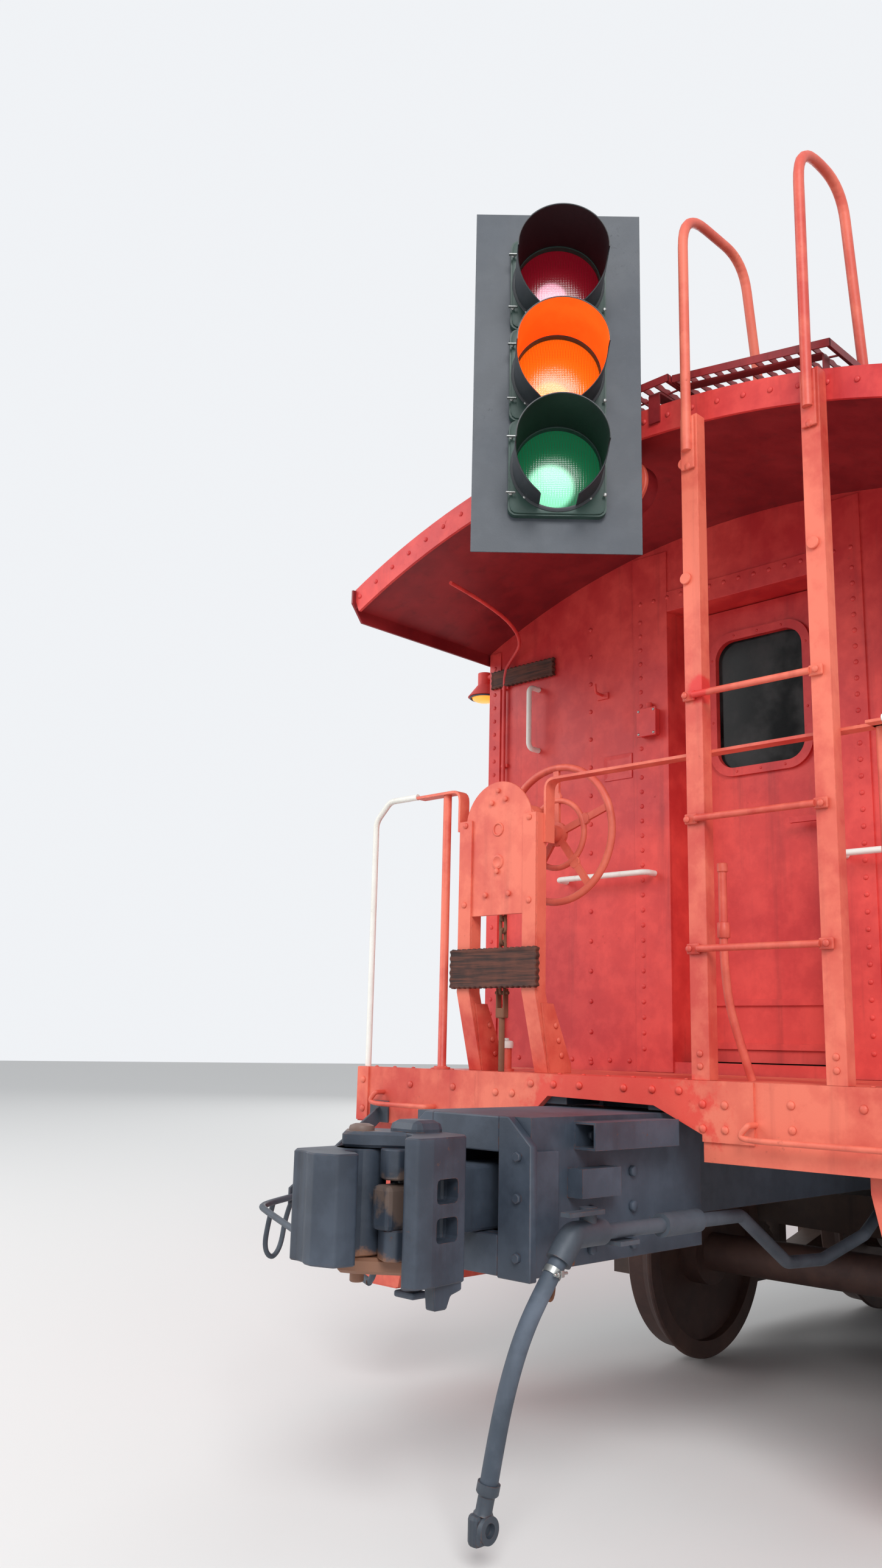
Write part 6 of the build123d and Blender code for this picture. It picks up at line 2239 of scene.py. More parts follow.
@dataclass
class BrakeStand:
    """The bent angle legs, the round-topped plate and the winding housing of the hand brake."""

    sill: float = -HALF
    foot: float = 1.2203
    left: float = 0.677
    right: float = 0.300
    middle: float = 0.4885
    top: float = 2.271
    wheel: Point = (-5.235, 0.400, 2.095)

    def legs(self, shop: Smith) -> list[bpy.types.Object]:
        """Both legs: front flange, side flange and gusset.

        Args:
            shop: The hand tools.

        Returns:
            The plates.
        """
        knee, head, slope = 1.500, self.top - 0.135, 0.075
        pieces = []
        for inner in (self.left - 0.062, self.right):
            for front, depth, start, width in ((0.008, 0.008, inner, 0.062), (0.016, 0.052, inner, 0.008)):
                low = self.sill + front
                outline = [
                    (low, start, head),
                    (low + depth, start, head),
                    (low + depth, start, knee),
                    (low + depth + slope, start, self.foot),
                    (low + slope, start, self.foot),
                    (low, start, knee),
                ]
                pieces.append(shop.plate(outline, (0.0, width, 0.0)))
            outline = [
                (self.sill + 0.085, inner - 0.006, self.foot),
                (self.sill + 0.205, inner - 0.006, self.foot),
                (self.sill + 0.205, inner - 0.006, self.foot + 0.030),
                (self.sill + 0.105, inner - 0.006, 1.460),
                (self.sill + 0.040, inner - 0.006, 1.460),
            ]
            pieces.append(shop.plate(outline, (0.0, 0.006, 0.0)))
        return pieces

    def face(self, shop: Smith) -> list[bpy.types.Object]:
        """The plate, its pressed ring and the housing behind it.

        Args:
            shop: The hand tools.

        Returns:
            The pieces.
        """
        front, half, low = self.sill + 0.0163, 0.163, 1.775
        centre = self.top - half
        outline = [(front, self.middle + half, low), (front, self.middle - half, low)]
        for number in range(25):
            turn = math.pi * number / 24
            outline.append((front, self.middle - half * math.cos(turn), centre + half * math.sin(turn)))
        plate = shop.plate(outline, (0.008, 0.0, 0.0), 0.0015)
        ring = shop.ring(
            0.0225, 0.0035, Spot((front - 0.001, self.middle, self.top - 0.180), AHEAD)
        )
        dish = shop.lathe(
            [(0.0001, 0.001), (0.012, 0.002), (0.019, 0.006), (0.026, 0.004), (0.028, 0.0), (0.0001, 0.0)],
            Spot((front, self.middle, self.top - 0.301), AHEAD),
        )
        case = shop.block(
            (0.080, 0.250, 0.190), (front + 0.048, self.middle - 0.018, self.top - 0.311), 0.020
        )
        drum = shop.rod(
            0.086, (front + 0.008, *self.wheel[1:]), (front + 0.088, *self.wheel[1:]), 48, 0.006
        )
        hub = shop.rod(0.046, (front + 0.088, *self.wheel[1:]), (front + 0.120, *self.wheel[1:]), 32, 0.003)
        shaft = shop.rod(
            0.022, (front + 0.120, *self.wheel[1:]), (self.sill + 0.208, *self.wheel[1:]), 24, 0.001
        )
        return [plate, ring, dish, case, drum, hub, shaft]

    def wheel_pieces(self, shop: Smith) -> list[bpy.types.Object]:
        """The hand wheel: rim, lobed ring, spokes and hub.

        Args:
            shop: The hand tools.

        Returns:
            The wheel's pieces.
        """
        spot = Spot(self.wheel, (1.0, 0.0, 0.0))
        pieces = [shop.ring(0.256, 0.014, spot, 64), shop.ring(0.128, 0.011, spot, 48)]
        for number in range(5):
            turn = math.tau * number / 5 + 0.30
            across, up = math.cos(turn), math.sin(turn)
            inner = (self.wheel[0], self.wheel[1] + 0.035 * across, self.wheel[2] + 0.035 * up)
            outer = (self.wheel[0], self.wheel[1] + 0.250 * across, self.wheel[2] + 0.250 * up)
            pieces.append(shop.flat_bar([inner, outer], (0.0, -up, across), 0.026, 0.012))
            lobe = (self.wheel[0], self.wheel[1] + 0.141 * across, self.wheel[2] + 0.141 * up)
            pieces.append(
                shop.lathe(
                    [(0.0001, -0.007), (0.021, -0.007), (0.024, 0.0), (0.021, 0.007), (0.0001, 0.007)],
                    Spot(lobe, (1.0, 0.0, 0.0)), 20,
                )
            )
        pieces.append(
            shop.lathe(
                [
                    (0.0001, -0.042), (0.030, -0.042), (0.032, -0.036), (0.032, -0.008), (0.046, -0.006),
                    (0.046, 0.008), (0.030, 0.010), (0.020, 0.022), (0.0001, 0.022)
                ],
                spot,
            )
        )
        return pieces

    def chain(self, shop: Smith) -> list[bpy.types.Object]:
        """The chain from the housing, its clevis and the rod through the deck.

        Args:
            shop: The hand tools.

        Returns:
            The pieces.
        """
        along = self.sill + 0.050
        pieces = []
        high = self.top - 0.4063
        for number in range(8):
            shop.clear()
            bpy.ops.mesh.primitive_torus_add(
                major_radius=0.0125, minor_radius=0.006, major_segments=20, minor_segments=8
            )
            link = bpy.context.object
            for vertex in link.data.vertices:
                vertex.co.x += math.copysign(0.0154, vertex.co.x)
            link.rotation_euler = (0.0, math.radians(90), math.radians(90 * (number % 2)))
            link.location = (along, self.middle, high - 0.034 - 0.044 * number)
            shop.apply(link)
            shop.smooth(link)
            pieces.append(link)
        low = 1.415
        for side in (-0.0165, 0.0165):
            pieces.append(
                shop.block((0.026, 0.007, 0.075), (along, self.middle + side, low + 0.060), 0.003)
            )
        pieces.append(shop.block((0.030, 0.040, 0.036), (along, self.middle, low + 0.010), 0.005))
        pin_low = (along, self.middle - 0.030, low + 0.082)
        pin_high = (along, self.middle + 0.030, low + 0.082)
        pieces.append(shop.rod(0.007, pin_low, pin_high, 16))
        pieces.append(shop.rod(0.011, (along, self.middle, self.foot), (along, self.middle, low), 20))
        return pieces

    def build(self, shop: Smith) -> None:
        """Builds the stand, its wheel and its chain.

        Args:
            shop: The hand tools.
        """
        stand = shop.join(self.legs(shop) + self.face(shop))
        shop.dress(stand, "brake_stand_steel", "car", "trim_red")
        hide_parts("brake_stand")
        wheel = shop.join(self.wheel_pieces(shop))
        shop.dress(wheel, "brake_wheel_iron", "car", "trim_red")
        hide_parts("brake_wheel")
        chain = shop.join(self.chain(shop))
        shop.dress(chain, "brake_chain_links", "car", "fitting_metal", "iron_rust")
        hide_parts("brake_chain")


@dataclass
class SillGear:
    """Hand rods and doublers on the end sills, and the levers that lift the couplers' locks."""

    face: float = -HALF

    def build(self, shop: Smith) -> None:
        """Builds the gear of both ends.

        Args:
            shop: The hand tools.
        """
        plates = [
            shop.block(
                (0.009, 0.062, 0.200), (self.face - 0.0035, side * 1.159, 1.119), 0.0015
            ) for side in SIDES
        ]
        rods = []
        for start, stop, height in ((1.075, 0.770, 1.085), (-0.530, -0.985, 1.056)):
            inward = math.copysign(0.030, stop - start)
            out = self.face - 0.046
            rods.append(
                shop.line(
                    [
                        (self.face + 0.002, start + inward, height + 0.042),
                        (out + 0.012, start + inward, height + 0.042),
                        (out, start + inward, height + 0.040),
                        (out, start, height + 0.010),
                        (out, start + inward, height),
                        (out, (start + stop) / 2, height),
                        (out, stop - inward * 0.4, height),
                        (out, stop, height),
                        (self.face + 0.002, stop, height),
                    ],
                    0.009,
                )
            )
        riser = shop.line(
            [
                (-5.320, -0.455, 1.2205), (-5.340, -0.440, 1.300), (-5.375, -0.412, 1.450),
                (-5.385, -0.405, 1.590), (-5.385, -0.405, 1.700), (-5.385, -0.405, 1.890),
            ],
            0.0135,
        )
        union = shop.rod(0.021, (-5.3845, -0.4055, 1.660), (-5.385, -0.405, 1.710), 8, 0.003)
        cap = shop.rod(0.017, (-5.3845, -0.4055, 1.870), (-5.385, -0.405, 1.900), 16, 0.003)
        shop.both([*plates, *rods, riser, union, cap], "sill_rods", "trim_red")
        lever = [
            shop.plate(
                [
                    (self.face - 0.001, 1.054, 1.080),
                    (self.face - 0.430, 1.054, 0.800),
                    (self.face - 0.430, 1.054, 0.745),
                    (self.face - 0.330, 1.054, 0.760),
                    (self.face - 0.001, 1.054, 1.020),
                ],
                (0.0, 0.010, 0.0), 0.0015,
            ),
            shop.plate(
                [
                    (self.face - 0.0005, 1.010, 1.095),
                    (self.face - 0.0005, 1.110, 1.095),
                    (self.face - 0.0005, 1.110, 1.015),
                    (self.face - 0.0005, 1.010, 1.015),
                ],
                (-0.009, 0.0, 0.0), 0.0015,
            ),
            shop.line(
                [
                    (self.face - 0.400, 1.040, 0.775),
                    (self.face - 0.500, 1.030, 0.765),
                    (self.face - 0.593, 1.000, 0.757),
                    (self.face - 0.620, 0.960, 0.753),
                    (self.face - 0.700, 0.700, 0.724),
                    (self.face - 0.800, 0.350, 0.680),
                    (self.face - 0.852, 0.165, 0.655),
                ],
                0.011,
            ),
            shop.line(
                [
                    (self.face - 0.410, 1.058, 0.770),
                    (self.face - 0.420, 1.085, 0.700),
                    (self.face - 0.430, 1.090, 0.600),
                    (self.face - 0.470, 1.088, 0.560),
                    (self.face - 0.510, 1.084, 0.600),
                    (self.face - 0.515, 1.060, 0.690),
                    (self.face - 0.520, 1.030, 0.762),
                ],
                0.009,
            ),
            shop.line(
                [
                    (self.face - 0.850, 0.170, 0.655),
                    (self.face - 0.856, 0.150, 0.664),
                    (self.face - 0.858, 0.140, 0.690),
                ],
                0.009,
            ),
        ]
        for piece in shop.both(lever, "uncoupling_rods", "fitting_metal"):
            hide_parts("uncoupling_levers")


@dataclass
class SignalDoors:
    """The signal's door plates and its domed lenses."""

    signal: Signal

    def edge(self, turn: float) -> tuple[float, float]:
        """Where a ray from a door's middle meets its rounded outline."""
        half_wide, half_high, corner = 0.1655, 0.172, 0.026
        across, up = math.cos(turn), math.sin(turn)
        reach = min(half_wide / max(abs(across), 1e-6), half_high / max(abs(up), 1e-6))
        inner = Vector((half_wide - corner, half_high - corner))
        ray = Vector((abs(across), abs(up)))
        if reach * ray.x > inner.x and reach * ray.y > inner.y:
            part = ray.dot(inner)
            reach = part + math.sqrt(max(0.0, part**2 - inner.length_squared + corner**2))
        return reach * across, reach * up

    def build(self, shop: Smith) -> None:
        """Builds three doors and three lenses.

        Args:
            shop: The hand tools.
        """
        doors, lenses = [], []
        for row in (-1, 0, 1):
            shop.clear()
            bpy.ops.mesh.primitive_grid_add(x_subdivisions=96, y_subdivisions=2, size=1)
            door = bpy.context.object
            for vertex in door.data.vertices:
                turn = (vertex.co.x + 0.5) * math.tau
                across, up = self.edge(turn)
                share = vertex.co.y + 0.5
                inner = (0.1503 * math.cos(turn), 0.1503 * math.sin(turn))
                side = inner[0] + (across - inner[0]) * share
                rise = inner[1] + (up - inner[1]) * share
                vertex.co = self.signal.at(side, 0.0330, row * self.signal.pitch + rise)
            shop.pick(door)
            bpy.ops.object.mode_set(mode="EDIT")
            bpy.ops.mesh.select_all(action="SELECT")
            bpy.ops.mesh.remove_doubles(threshold=0.00005)
            bpy.ops.mesh.normals_make_consistent(inside=False)
            bpy.ops.object.mode_set(mode="OBJECT")
            solid = door.modifiers.new("thick", "SOLIDIFY")
            solid.thickness = 0.0066
            solid.offset = 0
            bpy.ops.object.modifier_apply(modifier=solid.name)
            shop.round_edges(door, 0.0012, 2)
            shop.smooth(door, 40)
            doors.append(door)
            lenses.append(
                shop.lathe(
                    [
                        (0.0001, 0.0), (0.1496, 0.0), (0.1496, 0.024), (0.142, 0.0262), (0.125, 0.0296),
                        (0.100, 0.0332), (0.070, 0.0360), (0.035, 0.0376), (0.0001, 0.0380)
                    ],
                    Spot(self.signal.at(0.0, -0.0097, row * self.signal.pitch), self.signal.ahead()),
                    72,
                )
            )
        shop.dress(shop.join(doors), "signal_doors", "car", "signal_green")
        corners = [
            self.signal.at(across, 0.0, up) for across, up in (
                (-0.2985, -0.6605), (0.2985, -0.6605), (0.2985, 0.6605), (-0.2985, 0.6605)
            )
        ]
        ahead = Vector(self.signal.ahead()) * 0.004
        sheet = shop.plate(corners, tuple(ahead), 0.001)
        shop.dress(sheet, "signal_sheet", "car", "signal_black", "backplate_slate")
        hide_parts("signal_backplate")
        glass = shop.join(lenses)
        shop.dress(glass, "signal_domes", "car", "signal_lens")
        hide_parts("signal_lenses")


@dataclass
class LeafSprings:
    """Full elliptic leaf springs between the bolsters and the side frames."""

    centres: tuple[tuple[str, str, float], ...] = (
        ("truck_b", "truck_springs_b", -2.995),
        ("truck_a", "truck_springs_a", 2.995),
    )
    across: float = 0.965
    clear: float = 0.012
    room: float = 0.050
    leaves: int = 4
    shorter: float = 0.030
    pitch: float = 0.012
    width: float = 0.106
    steel: float = 0.0115
    parts: int = 16
    pin: float = 0.015
    pin_half: float = 0.053
    band: tuple[float, float] = (0.060, 0.114)

    def build(self, shop: Smith) -> None:
        """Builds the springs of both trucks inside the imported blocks.

        Args:
            shop: The hand tools.
        """
        for body, node, centre in self.centres:
            low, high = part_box(node)
            half = (high[0] - low[0]) / 2 - self.clear
            middle = (low[2] + high[2]) / 2
            bow = (high[2] - low[2]) / 2 - self.room
            radius = (half**2 + bow**2) / (2 * bow)
            pieces = []
            for side in SIDES:
                across = side * self.across
                for way in SIDES:
                    for leaf in range(self.leaves):
                        reach = half - leaf * self.shorter
                        outer = radius + 0.006 + leaf * self.pitch
                        line = []
                        for number in range(self.parts + 1):
                            along = reach * (2 * number / self.parts - 1)
                            rise = math.sqrt(outer**2 - along**2) - (radius - bow)
                            line.append((centre + along, across, middle + way * rise))
                        pieces.append(shop.flat_bar(line, (0, 1, 0), self.width, self.steel))
                for way in SIDES:
                    end = centre + way * (half - 0.004)
                    near = (end, across - self.pin_half, middle)
                    far = (end, across + self.pin_half, middle)
                    pieces.append(shop.rod(self.pin, near, far, 20, 0.001))
                size = (*self.band, high[2] - low[2] - 0.002)
                pieces.append(shop.block(size, (centre, across, middle), 0.006))
            spring = shop.join(pieces)
            shop.dress(spring, "leaf_springs_" + node[-1], body, "running_gear")
            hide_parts(node)


@dataclass
class Couplers:
    """The couplers: heads with lugs and lock, knuckles that open on their pins, and the strikers."""

    middle: float = 0.888
    head: tuple[float, float] = (0.7045, 1.0715)
    knuckle: tuple[float, float] = (0.7495, 1.0265)
    lug: float = 0.042
    pin: tuple[float, float] = (-6.435, 0.110)
    hub: float = 0.072
    corner: float = 0.014
    head_outline: tuple[tuple[float, float], ...] = (
        (0.790, -0.065), (0.805, -0.150), (0.850, -0.195), (0.985, -0.210), (1.040, -0.205), (1.050, -0.165),
        (0.985, -0.120), (0.930, -0.070), (0.905, 0.000), (0.880, 0.034), (0.830, 0.060), (0.790, 0.065),
    )
    lug_outline: tuple[tuple[float, float], ...] = (
        (0.800, -0.060), (0.900, -0.060), (1.000, 0.060), (1.022, 0.110), (0.950, 0.182), (0.860, 0.165),
        (0.800, 0.070),
    )
    root_outline: tuple[tuple[float, float], ...] = (
        (0.860, -0.060), (0.965, -0.060), (0.985, -0.030), (0.960, 0.022), (0.880, 0.026),
    )
    knuckle_outline: tuple[tuple[float, float], ...] = (
        (0.950, 0.182), (1.130, 0.172), (1.171, 0.130), (1.168, 0.105), (1.172, 0.080), (1.188, 0.053),
        (1.194, 0.020), (1.170, -0.045), (1.105, -0.055), (1.080, -0.015), (1.075, 0.035), (1.010, 0.060),
        (0.960, 0.038),
    )

    def casting(
        self, shop: Smith, outline: Sequence[tuple[float, float]], low: float, high: float,
        bevel: float = 0.008
    ) -> bpy.types.Object:
        """Casts a solid between two heights from its outline seen from above.

        Args:
            shop: The hand tools.
            outline: Distance out from the end sill, and to the left of the middle, of each corner.
            low: Height of its underside.
            high: Height of its top.
            bevel: The width of its rounded edges.

        Returns:
            The solid.
        """
        corners = [Vector((-HALF - out, across, low)) for out, across in outline]
        start = (corners[0] + corners[-1]) / 2
        line = rounded([start, *corners, start], self.corner, 3)[:-1]
        return shop.plate([tuple(point) for point in line], (0.0, 0.0, high - low), bevel)

    def head_pieces(self, shop: Smith) -> list[bpy.types.Object]:
        """The head, its lugs, the lock in its throat, the shank and the lock lift below."""
        low, high = self.head
        arm = self.casting(shop, self.head_outline, low, high)
        for height in (self.middle - 0.048, self.middle + 0.048):
            shop.cut(arm, shop.block((0.088, 0.160, 0.062), (-HALF - 0.925, -0.225, height), 0.012))
        pieces = [
            arm,
            self.casting(shop, self.lug_outline, low, low + self.lug),
            self.casting(shop, self.lug_outline, high - self.lug, high),
            self.casting(shop, self.root_outline, low + self.lug - 0.001, low + self.lug + 0.078),
            self.casting(shop, self.root_outline, high - self.lug - 0.078, high - self.lug + 0.001),
            shop.block((0.430, 0.130, 0.180), (-HALF - 0.585, 0.0, self.middle), 0.010),
            shop.block((0.095, 0.070, 0.116), (-HALF - 0.945, -0.018, self.middle - 0.008), 0.014),
            shop.block((0.022, 0.122, 0.330), (-HALF - 0.872, 0.001, self.middle), 0.004),
            shop.block((0.110, 0.120, 0.060), (-HALF - 0.846, 0.0, high + 0.002), 0.024),
            shop.rod(
                0.028, (-HALF - 0.850, 0.0, low - 0.050), (-HALF - 0.850, 0.0, low + 0.010), 24, 0.004
            ),
            shop.block((0.060, 0.076, 0.018), (-HALF - 0.850, 0.0, low - 0.057), 0.006),
            shop.lathe(
                [
                    (0.0001, -0.010), (0.034, -0.010), (0.036, 0.006), (0.033, 0.013), (0.020, 0.018),
                    (0.0001, 0.019)
                ],
                Spot((*self.pin, high), UP),
            ),
            shop.rod(0.0195, (*self.pin, low - 0.030), (*self.pin, high), 24, 0.003),
        ]
        horn = [
            (-HALF - 0.850, -0.190, low + 0.020), (-HALF - 0.960, -0.190, low + 0.020),
            (-HALF - 0.950, -0.190, low - 0.062), (-HALF - 0.905, -0.190, low - 0.062),
            (-HALF - 0.890, -0.190, low - 0.030), (-HALF - 0.850, -0.190, low - 0.020),
        ]
        pieces.append(shop.plate(horn, (0.0, 0.036, 0.0), 0.004))
        return pieces

    def knuckle_pieces(self, shop: Smith) -> list[bpy.types.Object]:
        """The knuckle and the hub that turns between the lugs."""
        low, high = self.knuckle
        return [
            self.casting(shop, self.knuckle_outline, low, high, 0.009),
            shop.rod(self.hub, (*self.pin, low), (*self.pin, high), 48, 0.004),
        ]

    def striker(self, shop: Smith) -> list[bpy.types.Object]:
        """The plate round the shank's opening, its side ribs and its bolts."""
        front = -HALF - 0.635
        pieces = [
            shop.block((0.030, 0.260, 0.097), (front, 0.0, 1.0665), 0.004),
            shop.block((0.030, 0.260, 0.108), (front, 0.0, 0.7430), 0.004),
        ]
        for side in SIDES:
            outline = [
                (front + 0.015, side * 0.130, 0.685), (front + 0.015, side * 0.250, 0.685),
                (front + 0.015, side * 0.250, 1.040), (front + 0.015, side * 0.165, 1.115),
                (front + 0.015, side * 0.130, 1.115),
            ]
            pieces.append(shop.plate(outline, (-0.030, 0.0, 0.0), 0.003))
            pieces.append(shop.block((0.100, 0.020, 0.330), (front + 0.060, side * 0.238, 0.860), 0.003))
            for height in (0.745, 0.900, 1.010):
                bolt = shop.fastener(Head.HEX, 0.014)
                bolt.matrix_world = Spot((front - 0.015, side * 0.205, height), AHEAD).matrix()
                shop.apply(bolt)
                pieces.append(bolt)
        return pieces

    def build(self, shop: Smith) -> None:
        """Builds both couplers and the plates behind them.

        Args:
            shop: The hand tools.
        """
        for kind, pieces in (("coupler", self.head_pieces(shop)), ("knuckle", self.knuckle_pieces(shop))):
            name = kind + "_iron_"
            first = shop.dress(shop.join(pieces), name + "b", kind + "_body_b", "underframe_grey")
            second = shop.twin(first, name + "a", kind + "_body_a", "underframe_grey")
            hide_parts(kind + "_b")
            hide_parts(kind + "_a")
        shop.both(self.striker(shop), "striker_plate", "underframe_grey")


@dataclass
class Ladders:
    """The roof ladders: stiles with their flanges, three rungs each and the grab loops over the roof walk."""

    front: float = -HALF
    foot: float = 1.2203
    top: float = 3.435
    rungs: tuple[float, ...] = (1.620, 2.033, 2.441)
    lost: tuple[float, ...] = (2.849, 3.262)
    loops: tuple[tuple[float, float, float, float], ...] = (
        (-0.3745, 4.225, -4.985, 3.626),
        (-0.8235, 4.255, -5.085, 3.552),
    )

    def build(self, shop: Smith) -> None:
        """Builds both ends' ladders.

        Args:
            shop: The hand tools.
        """
        pieces = []
        tall, middle = self.top - self.foot, (self.top + self.foot) / 2
        for inner in (-0.3745, -0.8235):
            pieces.append(shop.block((0.008, 0.065, tall), (self.front + 0.004, inner, middle), 0.0015))
            pieces.append(
                shop.block((0.044, 0.008, tall), (self.front + 0.028, inner - 0.0285, middle), 0.0015)
            )
        for height in self.rungs:
            pieces.append(shop.rod(0.011, (-5.498, -0.380, height), (-5.498, -0.795, height), 24))
            for side in (-0.362, -0.812):
                pieces.append(shop.block((0.010, 0.046, 0.034), (-5.492, side, height), 0.004))
        for side in (-0.355, -0.818):
            for height in self.lost:
                pieces.append(
                    shop.rod(
                        0.020, (self.front - 0.010, side, height), (self.front + 0.001, side, height), 24,
                        0.002
                    )
                )
        for side, peak, back, low in self.loops:
            line = rounded(
                [
                    (-5.499, side, 3.300), (-5.499, side, peak), (back - 0.110, side, peak),
                    (back, side, low + 0.010)
                ],
                0.150, 8,
            )
            pieces.append(shop.line([tuple(point) for point in line], 0.018, False, 2))
            pieces.append(
                shop.lathe(
                    [
                        (0.0001, 0.0), (0.038, 0.0), (0.038, 0.006), (0.034, 0.010), (0.022, 0.012),
                        (0.018, 0.022), (0.0001, 0.022)
                    ],
                    Spot((back, side, low), UP),
                    28,
                )
            )
            pieces.append(shop.block((0.010, 0.052, 0.190), (-5.492, side, 3.330), 0.003))
        for ladder, node in zip(shop.both(pieces, "roof_ladder", "trim_red"), ("ladder_b", "ladder_a")):
            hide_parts(node)


@dataclass
class HoseCoupling:
    """The cast coupling at the hose's lower end, with its port and its hooked lug."""

    end: Point = (-6.251, -0.216, 0.205)

    def build(self, shop: Smith) -> None:
        """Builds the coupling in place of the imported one.

        Args:
            shop: The hand tools.
        """
        low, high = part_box("gladhand")
        middle = ((low[0] + high[0]) / 2, (low[1] + high[1]) / 2)
        neck = shop.lathe(
            [
                (0.0001, -0.010), (0.030, -0.010), (0.030, 0.014), (0.027, 0.018), (0.022, 0.022),
                (0.022, 0.060), (0.026, 0.066), (0.0001, 0.070)
            ],
            Spot(self.end, (-0.10, 0.16, -0.98)),
            32,
        )
        head = shop.block((0.070, 0.040, 0.080), (middle[0], middle[1] + 0.006, low[2] + 0.050), 0.014)
        port = shop.lathe(
            [
                (0.014, 0.0), (0.034, 0.0), (0.036, 0.006), (0.034, 0.015), (0.018, 0.015), (0.016, 0.004),
                (0.014, 0.0)
            ],
            Spot((middle[0], middle[1] - 0.012, low[2] + 0.052), (0.0, -1.0, 0.0)),
            36,
        )
        lug = shop.block((0.026, 0.020, 0.030), (low[0] + 0.020, middle[1] - 0.014, low[2] + 0.034), 0.006)
        coupling = shop.join([neck, head, port, lug])
        shop.dress(coupling, "hose_coupling", "car", "fitting_metal")
        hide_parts("gladhand")


@dataclass
class Studio:
    """The floor, the lights and the camera."""

    eye: Point = (-8.848, -2.563, 1.307)
    yaw: float = 44.789
    pitch: float = 11.796
    roll: float = -1.3586
    lens: float = 28.705
    floor_half: float = 60.0

    def camera(self) -> None:
        """Sets the camera where the photograph was taken from."""
        yaw, pitch, roll = (math.radians(angle) for angle in (self.yaw, self.pitch, self.roll))
        ahead = Vector((math.cos(yaw) * math.cos(pitch), math.sin(yaw) * math.cos(pitch), math.sin(pitch)))
        level_right = Vector((math.sin(yaw), -math.cos(yaw), 0))
        level_down = ahead.cross(level_right)
        right = math.cos(roll) * level_right + math.sin(roll) * level_down
        down = -math.sin(roll) * level_right + math.cos(roll) * level_down
        turn = Matrix((right, -down, -ahead)).transposed()
        bpy.ops.object.camera_add(location=self.eye)
        camera = bpy.context.object
        camera.rotation_mode = "QUATERNION"
        camera.rotation_quaternion = turn.to_quaternion()
        camera.data.sensor_width = 36.0
        camera.data.lens = self.lens
        camera.data.clip_start = 0.05
        camera.data.clip_end = 500
        bpy.context.scene.camera = camera

    def floor(self) -> None:
        """Lays a plain pale floor."""
        bpy.ops.mesh.primitive_plane_add(size=2 * self.floor_half, location=(0, 0, 0))
        floor = bpy.context.object
        floor.name = "floor_stage"
        made = bpy.data.materials.new("studio_floor")
        made.use_nodes = True
        shader = made.node_tree.nodes["Principled BSDF"]
        shader.inputs["Base Color"].default_value = (0.80, 0.80, 0.79, 1)
        shader.inputs["Roughness"].default_value = 0.9
        shader.inputs["Specular IOR Level"].default_value = 0.1
        floor.data.materials.append(made)

    def lights(self) -> None:
        """Soft light from the sky, and a broad lamp behind the camera."""
        world = bpy.data.worlds.new("studio")
        bpy.context.scene.world = world
        world.use_nodes = True
        tree = Tree(world.node_tree)
        sky = world.node_tree.nodes["Background"]
        path = tree.node("LightPath")
        seen = tree.maths("MAXIMUM", path.outputs["Is Camera Ray"], path.outputs["Is Transmission Ray"])
        seen = tree.maths("MAXIMUM", seen, path.outputs["Is Glossy Ray"])
        strength = tree.maths("ADD", tree.maths("MULTIPLY", seen, 0.30), 0.62)
        sky.inputs["Color"].default_value = (0.95, 0.97, 1.0, 1)
        tree.feed(sky.inputs["Strength"], strength)
        for name, place, size, power, aim in (
            ("key", (-17.0, -12.0, 13.0), 9.0, 2600.0, (-3.0, 0.0, 2.0)),
            ("fill", (-14.0, 10.0, 8.0), 8.0, 700.0, (-4.0, 0.0, 2.0)),
            ("back", (16.0, 12.0, 10.0), 10.0, 1200.0, (3.0, 0.0, 2.0)),
        ):
            bpy.ops.object.light_add(type="AREA", location=place)
            lamp = bpy.context.object
            lamp.name = name
            lamp.data.energy = power
            lamp.data.size = size
            lamp.rotation_mode = "QUATERNION"
            lamp.rotation_quaternion = (Vector(aim) - Vector(place)).to_track_quat("-Z", "Y")

    def build(self) -> None:
        """Sets the whole studio."""
        self.camera()
        self.floor()
        self.lights()
        bpy.context.scene.view_settings.view_transform = "Standard"


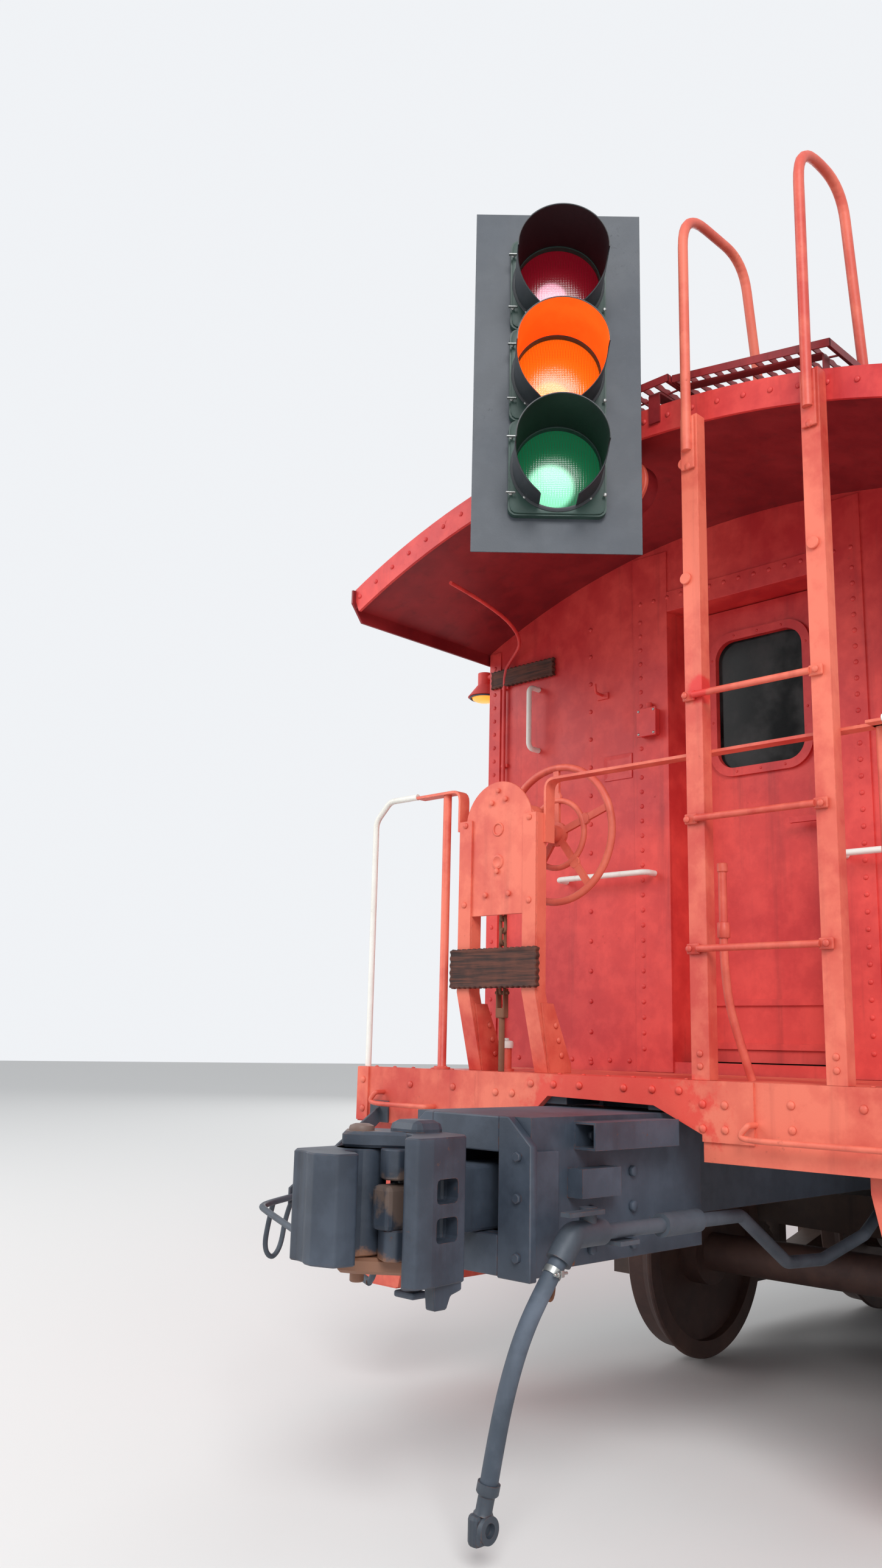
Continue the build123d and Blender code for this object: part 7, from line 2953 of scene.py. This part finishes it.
@dataclass
class AirHose:
    """The brake hose that hangs from the angle cock."""

    diameter: float = 0.048
    length: float = 0.583
    cock: Point = (-HALF - 0.570, -0.330, 0.812)
    direction: Point = (-0.60, 0.10, -0.79)
    gland_reach: float = 0.080
    first_run: float = 0.085
    route: tuple[Point, ...] = (
        (-HALF - 0.712, -0.285, 0.580),
        (-HALF - 0.738, -0.258, 0.462),
        (-HALF - 0.756, -0.236, 0.335),
        (-HALF - 0.766, -0.216, 0.205),
    )

    def build(self, shop: Shop) -> None:
        """Makes the hose as one smooth line.

        Args:
            shop: The hand tools.
        """
        way = Vector(self.direction).normalized()
        gland = Vector(self.cock) + self.gland_reach * way
        points = [gland, gland + self.first_run * way, *(Vector(point) for point in self.route)]
        line = bpy.data.curves.new("air_hose_line", "CURVE")
        line.dimensions = "3D"
        line.bevel_depth = self.diameter / 2
        line.bevel_resolution = 8
        line.resolution_u = 16
        line.use_fill_caps = True
        spline = line.splines.new("NURBS")
        spline.points.add(len(points) - 1)
        for point, place in zip(spline.points, points):
            point.co = (*place, 1.0)
        spline.order_u = 3
        spline.use_endpoint_u = True
        hose = bpy.data.objects.new("air_hose_rubber", line)
        bpy.context.scene.collection.objects.link(hose)
        shop.dress(hose, "air_hose_rubber", "car", "hose_rubber")
        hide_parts("air_hose")


def dress_solids(frame: dict, materials: dict[str, bpy.types.Material]) -> None:
    """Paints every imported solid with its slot's finish.

    Args:
        materials: The finishes by slot.
    """
    for row in frame["record"]["subparts"]:
        solid = frame["nodes"][row["node"]]
        solid.data.materials.clear()
        solid.data.materials.append(materials[row["material_slot"]])


def main() -> None:
    """Builds the looks in order."""
    logging.basicConfig(level=logging.INFO, format="%(name)s: %(message)s")
    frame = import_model()
    effects = Effects()
    materials = {finish.slot: finish.build(effects) for finish in FINISHES}
    shop = Smith(materials)
    shop.clear()
    Studio().build()
    dress_solids(frame, materials)
    HoseCoupling().build(shop)
    AirHose().build(shop)
    for assembly in (
        BodyStrips(),
        BodyRivets(),
        Windows(),
        RoofWalk(),
        EndWallFittings(),
        Doors(),
        EndSillHeads(),
        SillGear(),
        Railing(),
        LadderFittings(),
        BrakeStand(),
        BrakeStandFittings(),
        SignBoards(),
        Lamps(),
        Signal(),
        SignalDoors(Signal()),
        Couplers(),
        Ladders(),
        AirFittings(),
        UnderfloorFittings(),
        TruckBolts(),
        LeafSprings(),
    ):
        assembly.build(shop)


if __name__ == "__main__":
    main()
